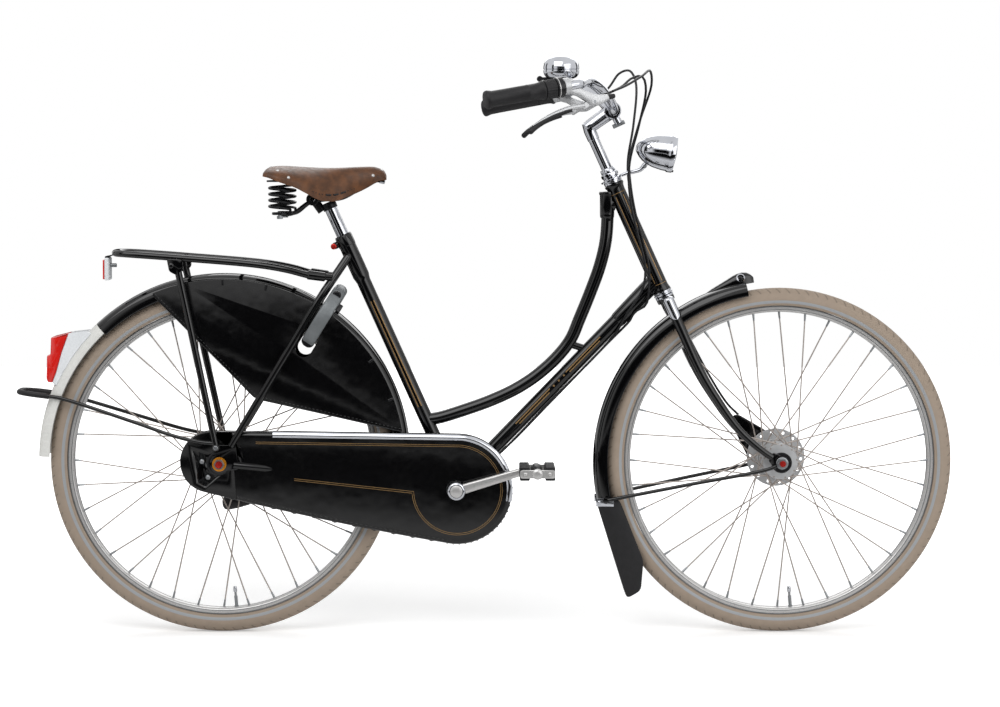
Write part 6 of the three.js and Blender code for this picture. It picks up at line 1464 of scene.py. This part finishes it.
def front_axle(settings):
    form = Form("zinc_plated_steel").cross(FRONT_AXLE, -72, 70, 5, 20)
    for side in (-1, 1):
        form.turned([(9.6, 57.4), (10.6, 58), (10.6, 65.8), (9.6, 66.8)], FRONT_AXLE, side, 6)
        form.turned([(12, 57.3), (12.4, 57.8), (12.4, 59.2), (11.6, 59.8)], FRONT_AXLE, side, 28)
    form.use("anodised_red").turned([(6, 66.5), (6.2, 70.6), (5.2, 72), (0.3, 72.4)], FRONT_AXLE, -1, 24)
    form.use("bead_blasted_aluminium").turned(
        [(10, 27.4), (38, 28), (40, 30), (40, 37.4), (52, 38), (59, 38.4), (60, 39.4), (59, 40.6), (44, 41), (30, 43),
         (11, 44), (11, 51.6), (9, 51.6)], FRONT_AXLE, 1, 56)
    for k in range(24):
        form.rod(turned_place(FRONT_AXLE, 42, 15 * k, 41.0), turned_place(FRONT_AXLE, 57, 15 * k, 40.6), 1.1, 8)
    form.use("moulded_abs_black").cross(FRONT_AXLE, -51.6, -46.4, 21, 36, 1.6)
    # The brake's reaction arm: a pressed black wedge that reaches up to the blade.
    form.use("stove_enamel_black").plate(
        round_corners([(1050, 440), (1062, 441), (1146, 392), (1146, 330), (1086, 342), (1047, 420)], 5), 41.6, 45, 1)
    blade = Form().bend(BLADE[2:], (9.6, 7.4), 40, 22)
    vents = Form()
    for k in range(14):
        vents.tube([turned_place(FRONT_AXLE, 52, 360 / 14 * k - 4, side) for side in (36, 45)], 3.2, 14)
    dress("front_axle", form, "fork", "steel", cutters=[blade, vents])


def seatpost(settings):
    form = Form("chrome_plate").rod(on_seat_tube(SEAT_TUBE_LENGTH - 170), POST_TOP, 12.7, 40, 0.8)
    dress("seatpost", form, "seatpost", "chrome")


# Stations from the nose back: share of the length, of the half width, and drop of the crown and of the skirt.
SADDLE_SHARES = [
    (0, 0.08, 0.26, 0.4), (0.018, 0.15, 0.14, 0.41), (0.05, 0.2, 0.08, 0.42), (0.1, 0.25, 0.03, 0.5),
    (0.16, 0.263, 0.024, 0.62), (0.23, 0.27, 0.03, 0.74), (0.32, 0.31, 0.045, 0.87), (0.4, 0.4, 0.055, 0.98),
    (0.47, 0.52, 0.06, 1), (0.55, 0.68, 0.055, 0.95), (0.64, 0.84, 0.04, 0.78), (0.74, 0.95, 0.02, 0.6),
    (0.86, 1, 0, 0.46), (0.95, 0.98, 0.02, 0.34), (0.985, 0.95, 0.07, 0.31), (1, 0.9, 0.14, 0.3)]


def smooth_shares(count):
    """The saddle's stations, eased between the drawn ones."""
    rows, out = SADDLE_SHARES, []
    for i in range(count + 1):
        want = i / count
        k = max(j for j in range(len(rows) - 1) if rows[j][0] <= want + 1e-9)
        a, b = rows[k], rows[k + 1]
        t = (want - a[0]) / (b[0] - a[0])
        before, after = rows[max(k - 1, 0)], rows[min(k + 2, len(rows) - 1)]
        row = [want]
        for c in (1, 2, 3):
            m0 = (b[c] - before[c]) / max(b[0] - before[0], 1e-6) * (b[0] - a[0])
            m1 = (after[c] - a[c]) / max(after[0] - a[0], 1e-6) * (b[0] - a[0])
            h = (2 * t ** 3 - 3 * t ** 2 + 1) * a[c] + (t ** 3 - 2 * t ** 2 + t) * m0
            row.append(h + (3 * t ** 2 - 2 * t ** 3) * b[c] + (t ** 3 - t ** 2) * m1)
        out.append(row)
    return out


def saddle_point(along, wide, top, skirt, turn, inset=0.0):
    """A place on the hide: turn runs from the right edge over the crown to the left one."""
    length, half_width, depth = 244, 102, 72
    half = half_width * wide - inset
    high, low = CROWN_HEIGHT - depth * top - inset, CROWN_HEIGHT - depth * skirt
    up = max(0.0, cos(turn)) ** 0.7
    return at(SADDLE_NOSE.x - length * along, half * sin(turn), low + (high - low) * up)


def saddle_leather(settings):
    form = Form("waxed_saddle_leather")
    rows, steps = smooth_shares(84), 40
    rings = []
    for row in rows:
        outer = [saddle_point(*row, pi * (i / steps - 0.5)) for i in range(steps + 1)]
        inner = [saddle_point(*row, pi * (i / steps - 0.5), 4.0) for i in range(steps + 1)]
        inner[0], inner[-1] = inner[0] + at(0, 0, 0.01), inner[-1] + at(0, 0, 0.01)
        rings.append(outer + inner[::-1])
    form.loft(rings, ends=False)
    n = 2 * (steps + 1)
    for base in (0, (len(rows) - 1) * n):
        for i in range(steps):
            form.faces.append([base + i, base + i + 1, base + n - 2 - i, base + n - 1 - i])
            form.marks.append(0)
    # The steel plate under the cantle that the springs bear on.
    form.use("blackened_steel").block(
        at(SPRING_FOOT.x - 24, -94, SPRING_FOOT.z + 60.4), at(SPRING_FOOT.x + 24, 94, SPRING_FOOT.z + 64), 1)
    dress("saddle_leather", form, "saddle_top", "leather", crease=50)
    rivets = Form("anodised_aluminium")
    places = [(index, way * share) for index, share in ((80, 0.1), (74, 0.3), (66, 0.41), (9, 0.38), (3, 0.12))
              for way in (1, -1)]
    for index, share in places:
        row = rows[index]
        turn = pi * share
        spot = saddle_point(*row, turn)
        beside = saddle_point(*row, turn + 0.05) - spot
        ahead = saddle_point(*rows[min(index + 1, 84)], turn) - saddle_point(*rows[index - 1], turn)
        normal = ahead.cross(beside).normalized()
        if normal.z < 0:
            normal = -normal
        rivets.dome(spot - normal * 0.6, normal, 3.4, 2.1, 18, 4)
    make("saddle_rivets", rivets, "saddle_top", slot="aluminium")
    # The lace holes and slots are drawn as black dashes laid on the hide: painted shade where they go through.
    hole_shade = Form("moulded_abs_black")
    for side in (-1, 1):
        holes = [(k, k + 0.5) for k in (22, 24, 26, 43.4, 45.4, 47.4, 49.4)]
        for first, last in holes + [(28, 31.4), (33, 36.4), (38, 41.4)]:
            path = []
            for k in range(5):
                index = first + (last - first) * k / 4
                row = [a + (b - a) * (index % 1) for a, b in zip(rows[int(index)], rows[int(index) + 1])]
                path.append(saddle_point(*row, side * pi * 0.47) + at(0, side * 0.1, 0))
            hole_shade.tube(path, 0.9 if last - first < 1 else 1.7, 12)
    make("saddle_lace_slots", hole_shade, "saddle_top", slot="leather")


def saddle_frame(settings):
    nose, post, foot = SADDLE_NOSE, POST_TOP, SPRING_FOOT
    side = Form("blackened_steel")
    side.bend([at(nose.x - 18, 9, nose.z - 8), at(nose.x - 52, 16, nose.z - 24), at(post.x + 26, 21, post.z + 14),
               at(post.x - 8, 22, post.z + 11), at(post.x - 38, 25, post.z + 6), at(post.x - 70, 46, foot.z - 3),
               at(foot.x, 65, foot.z - 6)], 3.9, 60, 16)
    side.lathe([(14, 0), (16, 0.8), (16, 4.8), (15, 5.6)], at(foot.x, 65, foot.z - 6), at(foot.x, 65, foot.z), 32)
    side.rod(at(foot.x + 21, 65, foot.z - 5), at(foot.x + 21, 65, foot.z - 0.4), 5.8, 20, 0.5)
    side.rod(at(foot.x + 21, 65, foot.z - 4), at(foot.x, 65, foot.z - 4), 3, 14)
    side.use("zinc_plated_steel").lathe([(6, 0), (6.6, 0.6), (6.6, 6), (4, 6), (4, 12)], at(foot.x, 65, foot.z - 14),
                                        at(foot.x, 65, foot.z), 6)
    form = side.both_sides().use("blackened_steel")
    start = on_seat_tube(SEAT_TUBE_LENGTH + POST_SHOWN - 9)
    annular(form, [(13.1, 0), (14.6, 0), (15.2, 0.8), (15.2, 14), (14.6, 15), (13.1, 15)], start,
            on_seat_tube(SEAT_TUBE_LENGTH + POST_SHOWN), 36)
    clamp = post + at(-32, 0, 12)
    form.cross(clamp, -30, 30, 12.8, 36, 1.6)
    form.rod(on_seat_tube(SEAT_TUBE_LENGTH + POST_SHOWN - 6, -18), clamp, 9, 20)
    form.rod(at(foot.x, -65, foot.z - 6), at(foot.x, 65, foot.z - 6), 3.9, 16)
    form.block(at(nose.x - 30, -13, nose.z - 13), at(nose.x - 12, 13, nose.z - 7), 1.4)
    form.rod(at(nose.x - 20, 0, nose.z - 10), at(nose.x - 20, 0, CROWN_HEIGHT - 9.3), 4, 16)
    form.use("chrome_plate")
    form.rod(clamp - at(0, 34, 0), clamp + at(0, 34, 0), 6, 6, 1)
    form.rod(at(nose.x - 14, 0, nose.z - 10), at(nose.x - 3, 0, nose.z - 12), 4.6, 20, 1)
    dress("saddle_frame", form, "seatpost", "black_paint")
    turns = [2 * pi * i / 36 for i in range(COILS * 36 + 1)]
    coil = [at(COIL_RADIUS * cos(turn), COIL_RADIUS * sin(turn), 5.5 + 49.0 * i / (COILS * 36))
            for i, turn in enumerate(turns)]
    ends = [at(COIL_RADIUS, 0, height) for height in (0.2, 3, 57, 59.8)]
    for name, way in (("left", 1), ("right", -1)):
        wire = Form("blackened_steel").tube(ends[:2] + coil + ends[2:], 2.7, 12)
        wire.points = [at(foot.x + p.x, way * (65 + p.y), foot.z + p.z) for p in wire.points]
        thing = make(f"{name}_spring_finish", wire, "seatpost", f"{name}_saddle_spring", slot="spring_steel")
        squash_spring(thing, way)


def squash_spring(thing, way):
    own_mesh(thing)


DOWN_RUN = (DOWN_TOP - BRACKET).normalized()
DOWN_UNDER = at(DOWN_RUN.z, 0, -DOWN_RUN.x)


def beside_down_tube(distance, angle, gap=1.8):
    clear = 15 + 2.5 + gap  # the tube's radius, the cable's and the gap between them
    turn = radians(angle)
    return BRACKET + DOWN_RUN * distance + DOWN_UNDER * (clear * cos(turn)) + at(0, clear * sin(turn), 0)


def by_head(*places):
    return [on_steering(HEAD_TOP, 0) + at(*place) for place in places]


def cables(settings):
    gear = by_head(
        (-100.4, -205, 180.2), (-44.4, -168, 176.2), (3.6, -122, 194.2), (29.6, -84, 214.2), (51.6, -66, 218.2),
        (59.6, -56, 194.2), (47.6, -42, 124.2), (29.6, -32, 49.2), (27.6, -29, 4.2), (35.6, -28, -55.8),
        (50.6, -27, -115.8), (61.6, -26.4, -165.8), (56.6, -26, -210.8))
    gear += [beside_down_tube(*place) for place in (
        (492, -78), (455, -42), (415, -26), (260, -26, 0.9), (120, -30), (85, -44))]
    gear += [BRACKET + at(31.5, -30, -19), BRACKET + at(11.5, -34, -35), BRACKET + at(-23.5, -36.8, -41),
             at(380, -36.8, 266), at(220, -36.8, 292), at(90, -36.8, 313), at(40, -36.8, 325)]
    brake = by_head(
        (-16.4, -204, 184.2), (11.6, -170, 196.2), (45.6, -120, 216.2), (67.6, -66, 229.2), (71.6, -46, 202.2),
        (49.6, -26, 129.2), (29.6, -18, 49.2), (31.6, -19, 4.2), (41.6, -21, -55.8), (57.6, -21, -115.8),
        (69.6, -20.8, -165.8), (69.6, -20.8, -210.8), (63.6, -20.6, -243.8))
    brake += [beside_down_tube(*place) for place in (
        (510, -50), (490, -18), (470, 2), (430, 12), (260, 12), (120, 24), (80, 60))]
    brake += [BRACKET + at(16.5, 26, 29), BRACKET + at(-28.5, 29, 25), at(380, 42, 322), at(330, 47, 331),
              at(250, 50, 344), at(150, 57, 359), at(60, 57, 367)]
    front = by_head(
        (-16.4, 204, 184.2), (1.6, 160, 208.2), (17.6, 110, 232.2), (37.6, 66, 234.2), (47.6, 50, 208.2),
        (41.6, 36, 124.2), (29.6, 28, 49.2), (31.6, 27, 4.2), (43.6, 30, -55.8), (67.6, 38, -125.8), (93.6, 54, -195.8))
    front += [FRONT_AXLE + at(*place) for place in (
        (-218, 62, 327), (-188, 62, 267), (-138, 62, 172), (-98, 60, 109), (-76, 50, 87))]
    # Two places by the head, in metres, over the height where the cables pass from the frame to the steering.
    start, end = (tuple(place * MILLIMETRE + at(AXLE_PLACE, 0, 0)) for place in by_head((63, -20, -244), (35, -20, 49)))
    for name, points in (("gear_cable", gear), ("rear_brake_cable", brake)):
        form = Form("extruded_pvc_black").bend(points, CABLE_RADIUS, 150, 14)
        thing = make(f"{name}_finish", form, None, name, slot="black_rubber")
        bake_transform(thing)
        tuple(start)
        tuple(end)
    form = Form("extruded_pvc_black").bend(front, CABLE_RADIUS, 120, 14)
    dress("front_brake_cable", form, "fork", "black_rubber")


def drive_inside(settings):
    """The chain and sprocket keep their solids, in the same plated steel as the nuts and bolts."""
    for node in ("chain", "rear_sprocket"):
        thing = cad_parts[node]
        for holder in thing.material_slots:
            holder.link = "OBJECT"
            holder.material = MATERIALS["zinc_plated_steel"]


def lamp(name, place, aim, size, watts):
    light = bpy.data.lights.new(name, "AREA")
    light.shape, light.size, light.size_y, light.energy = "RECTANGLE", size[0], size[1], watts
    thing = bpy.data.objects.new(name, light)
    bpy.context.scene.collection.objects.link(thing)
    thing.location = place
    thing.rotation_euler = (Vector(aim) - Vector(place)).to_track_quat("-Z", "Y").to_euler()


def studio(settings):
    scene = bpy.context.scene
    world = bpy.data.worlds.new("studio")
    scene.world = world
    world.use_nodes = True
    tree = world.node_tree
    tree.nodes.clear()
    # Even grey light falls on the bicycle, and what it mirrors or what lies behind it is the white studio.
    path = put(tree, "ShaderNodeLightPath")
    seen = put(tree, "ShaderNodeMath", {0: path.outputs["Is Camera Ray"], 1: path.outputs["Is Glossy Ray"]},
               operation="MAXIMUM")
    white = put(tree, "ShaderNodeMath", {0: seen.outputs["Value"], 1: path.outputs["Is Transmission Ray"]},
                operation="MAXIMUM")
    level = put(tree, "ShaderNodeMapRange", {"Value": white.outputs["Value"], "To Min": 0.55, "To Max": 1.0})
    glow = put(tree, "ShaderNodeBackground", {"Color": (1, 1, 1, 1), "Strength": level.outputs["Result"]})
    put(tree, "ShaderNodeOutputWorld", {"Surface": glow.outputs["Background"]})
    lamp("key", (-1.2, -2.6, 3.4), (0, 0, 0.6), (3.6, 2.6), 70)
    lamp("fill", (2.2, -2.2, 1.6), (0.2, 0, 0.6), (2.6, 2.4), 30)
    lamp("back", (0.6, 2.8, 2.8), (0, 0, 0.6), (3.6, 2.6), 45)
    flags(scene)
    floor(scene)
    camera(scene)
    scene.view_settings.view_transform = "Standard"


def flags(scene):
    """Black cards round the studio, seen only in reflections: they give bright metal its dark bands."""
    points, faces, pale = [], [], []
    # Upright cards by their heading and height, 6 m away, and two lying ones by their place on the floor.
    upright = [(turn, turn + wide, -0.1, high) for turn, wide, high in (
        (-125, 70, 2.6), (-38, 16, 4), (-158, 16, 4), (55, 70, 2.6), (22, 16, 4), (142, 16, 4))]
    lying = [(-4.5, 4.5, way * 0.7, way * 6.2) for way in (-1, 1)]
    for k, (a, b, c, d) in enumerate(upright + lying):
        first = len(points)
        for i in range(13):
            for j in range(13):
                u, v = a + (b - a) * i / 12, c + (d - c) * j / 12
                turn = radians(u)
                points.append((6 * cos(turn), 6 * sin(turn), v) if k < 6 else (u, v, 0.02))
                pale.append(max(0.0, (max(abs(i / 6 - 1), abs(j / 6 - 1)) - 0.66) / 0.34))
        faces += [[first + 13 * i + j, first + 13 * i + j + 1, first + 13 * i + j + 14, first + 13 * i + j + 13]
                  for i in range(12) for j in range(12)]
    mesh = bpy.data.meshes.new("studio_flags")
    mesh.from_pydata(points, [], faces)
    mesh.attributes.new("pale", "FLOAT", "POINT").data.foreach_set("value", pale)
    # Black molleton with a faint nap; its edges melt into the white round it.
    tree, shader, _, _ = finish(
        "black_molleton", (linear("060606"), linear("0E0E0E"), 90), (0.9, 1.0, 60), Specular_IOR_Level=0.0,
        Emission_Color=(1, 1, 1, 1))
    edge = put(tree, "ShaderNodeAttribute", attribute_name="pale")
    tree.links.new(edge.outputs["Fac"], shader.inputs["Emission Strength"])
    mesh.materials.append(MATERIALS["black_molleton"])
    thing = bpy.data.objects.new("studio_flags", mesh)
    scene.collection.objects.link(thing)
    for ray in ("camera", "diffuse", "transmission", "shadow", "volume_scatter"):
        setattr(thing, f"visible_{ray}", False)


def floor(scene):
    """A white sweep that shows only the shadow of the bicycle."""
    mesh = bpy.data.meshes.new("studio_floor")
    mesh.from_pydata([(-6, -6, 0), (6, -6, 0), (6, 6, 0), (-6, 6, 0)], [], [(0, 1, 2, 3)])
    material = bpy.data.materials.new("white_studio_floor")
    material.use_nodes = True
    tree = material.node_tree
    tree.nodes.clear()
    # Matt white paint; farther from the bicycle it glows, so that it melts into the white behind.
    place = put(tree, "ShaderNodeTexCoord").outputs["Object"]
    reach = put(tree, "ShaderNodeVectorMath", {0: place}, operation="LENGTH")
    mottle = put(tree, "ShaderNodeTexNoise", {"Vector": place, "Scale": per(400)})
    rough = put(tree, "ShaderNodeMapRange", {"Value": mottle.outputs["Fac"], "To Min": 0.85, "To Max": 0.95})
    paint = put(tree, "ShaderNodeBsdfPrincipled", {
        "Base Color": (0.86, 0.86, 0.86, 1), "Roughness": rough.outputs["Result"], "Specular IOR Level": 0.0})
    path = put(tree, "ShaderNodeLightPath")
    far = put(tree, "ShaderNodeMapRange", {
        "Value": reach.outputs["Value"], "From Min": 0.9, "From Max": 2.2, "To Min": 0.3, "To Max": 1.0})
    share = put(tree, "ShaderNodeMath", {0: far.outputs["Result"], 1: path.outputs["Is Camera Ray"]},
                operation="MULTIPLY")
    glow = put(tree, "ShaderNodeEmission", {"Strength": share.outputs["Value"]})
    both = put(tree, "ShaderNodeAddShader", {0: paint.outputs["BSDF"], 1: glow.outputs["Emission"]})
    put(tree, "ShaderNodeOutputMaterial", {"Surface": both.outputs["Shader"]})
    mesh.materials.append(material)
    thing = bpy.data.objects.new("studio_floor", mesh)
    scene.collection.objects.link(thing)


def camera(scene):
    # From 4.5 m away and 0.95 m up, tilted a little down; the lens is shifted for the rest of the way.
    data = bpy.data.cameras.new("side_view")
    data.lens, data.sensor_width = 79.35, 36.0
    data.shift_x, data.shift_y = 0.03, -0.0992
    thing = bpy.data.objects.new("side_view", data)
    scene.collection.objects.link(thing)
    thing.location = at(506, -4500, 950) * MILLIMETRE + at(AXLE_PLACE, 0, 0)
    thing.rotation_euler = (pi / 2 - radians(2.236), 0, 0)
    scene.camera = thing


class Step:
    """Builds its pieces from the settings of the scene; what it can't build stops it with an error."""
    bl_options = {"REGISTER", "UNDO"}
    parts = ()

    def execute(self, context):
        if not MATERIALS and self.parts != (make_finishes,):
            raise RuntimeError("The finishes have to be made first")
        for part in self.parts:
            part(context.scene.bicycle)
        return {"FINISHED"}


class BICYCLE_OT_studio(Step, bpy.types.Operator):
    """Light the bicycle in a white studio and look at its right side"""
    bl_idname = "bicycle.studio"
    bl_label = "Studio"
    parts = (studio,)


class BICYCLE_OT_finishes(Step, bpy.types.Operator):
    """Make every paint, metal, rubber and leather that the pieces wear"""
    bl_idname = "bicycle.finishes"
    bl_label = "Finishes"
    parts = (make_finishes,)


class BICYCLE_OT_tyres(Step, bpy.types.Operator):
    """Both tyres with their reflective stripes"""
    bl_idname = "bicycle.tyres"
    bl_label = "Tyres"
    parts = (tyres,)


class BICYCLE_OT_wheels(Step, bpy.types.Operator):
    """Rims, hubs and spokes of both wheels, and their axles"""
    bl_idname = "bicycle.wheels"
    bl_label = "Wheels"
    parts = (wheels, front_axle, rear_axle)


class BICYCLE_OT_frame(Step, bpy.types.Operator):
    """The frame's tubes, stays and lines"""
    bl_idname = "bicycle.frame"
    bl_label = "Frame"
    parts = (frame_tubes, rear_stays)


class BICYCLE_OT_drive(Step, bpy.types.Operator):
    """Chaincase, cranks, pedals and what turns inside the case"""
    bl_idname = "bicycle.drive"
    bl_label = "Drive"
    parts = (chaincase, cranks, pedals, drive_inside)


class BICYCLE_OT_guards(Step, bpy.types.Operator):
    """Mudguards, coat guards, flap and their stays"""
    bl_idname = "bicycle.guards"
    bl_label = "Guards"
    parts = (rear_guard, coat_guards, front_guard, mud_flap, front_stay, rear_loop)


class BICYCLE_OT_fittings(Step, bpy.types.Operator):
    """Carrier, rear lamp, ring lock and kickstand"""
    bl_idname = "bicycle.fittings"
    bl_label = "Fittings"
    parts = (carrier, rear_lamp, wheel_lock, kickstand)


class BICYCLE_OT_steering(Step, bpy.types.Operator):
    """Fork, headset, stem, handlebar and headlamp"""
    bl_idname = "bicycle.steering"
    bl_label = "Steering"
    parts = (fork_parts, headset_stem, headlamp)


class BICYCLE_OT_controls(Step, bpy.types.Operator):
    """Grips, gear twist, brake levers and bell"""
    bl_idname = "bicycle.controls"
    bl_label = "Controls"
    parts = (controls, bell)


class BICYCLE_OT_saddle(Step, bpy.types.Operator):
    """Leather saddle on its springs and post"""
    bl_idname = "bicycle.saddle"
    bl_label = "Saddle"
    parts = (seatpost, saddle_leather, saddle_frame)


class BICYCLE_OT_cables(Step, bpy.types.Operator):
    """Both brake cables and the gear cable"""
    bl_idname = "bicycle.cables"
    bl_label = "Cables"
    parts = (cables,)


STEPS = (
    BICYCLE_OT_finishes, BICYCLE_OT_studio, BICYCLE_OT_tyres, BICYCLE_OT_wheels, BICYCLE_OT_frame, BICYCLE_OT_drive,
    BICYCLE_OT_guards, BICYCLE_OT_fittings, BICYCLE_OT_steering, BICYCLE_OT_controls, BICYCLE_OT_saddle,
    BICYCLE_OT_cables)


class BICYCLE_PT_panel(bpy.types.Panel):
    """Settings and steps of the bicycle"""
    bl_idname = "BICYCLE_PT_panel"
    bl_label = "City bicycle"
    bl_space_type = "VIEW_3D"
    bl_region_type = "UI"
    bl_category = "Bicycle"

    def draw(self, context):
        for name in BicycleSettings.__annotations__:
            self.layout.prop(context.scene.bicycle, name)
        for step in STEPS:
            self.layout.operator(step.bl_idname)


CLASSES = (BicycleSettings, *STEPS, BICYCLE_PT_panel)


def register():
    for kind in CLASSES:
        bpy.utils.register_class(kind)
    bpy.types.Scene.bicycle = PointerProperty(type=BicycleSettings)


def unregister():
    del bpy.types.Scene.bicycle
    for kind in reversed(CLASSES):
        bpy.utils.unregister_class(kind)


def main():
    register()
    for step in STEPS:
        group, name = step.bl_idname.split(".")
        getattr(getattr(bpy.ops, group), name)()


if __name__ == "__main__":
    main()
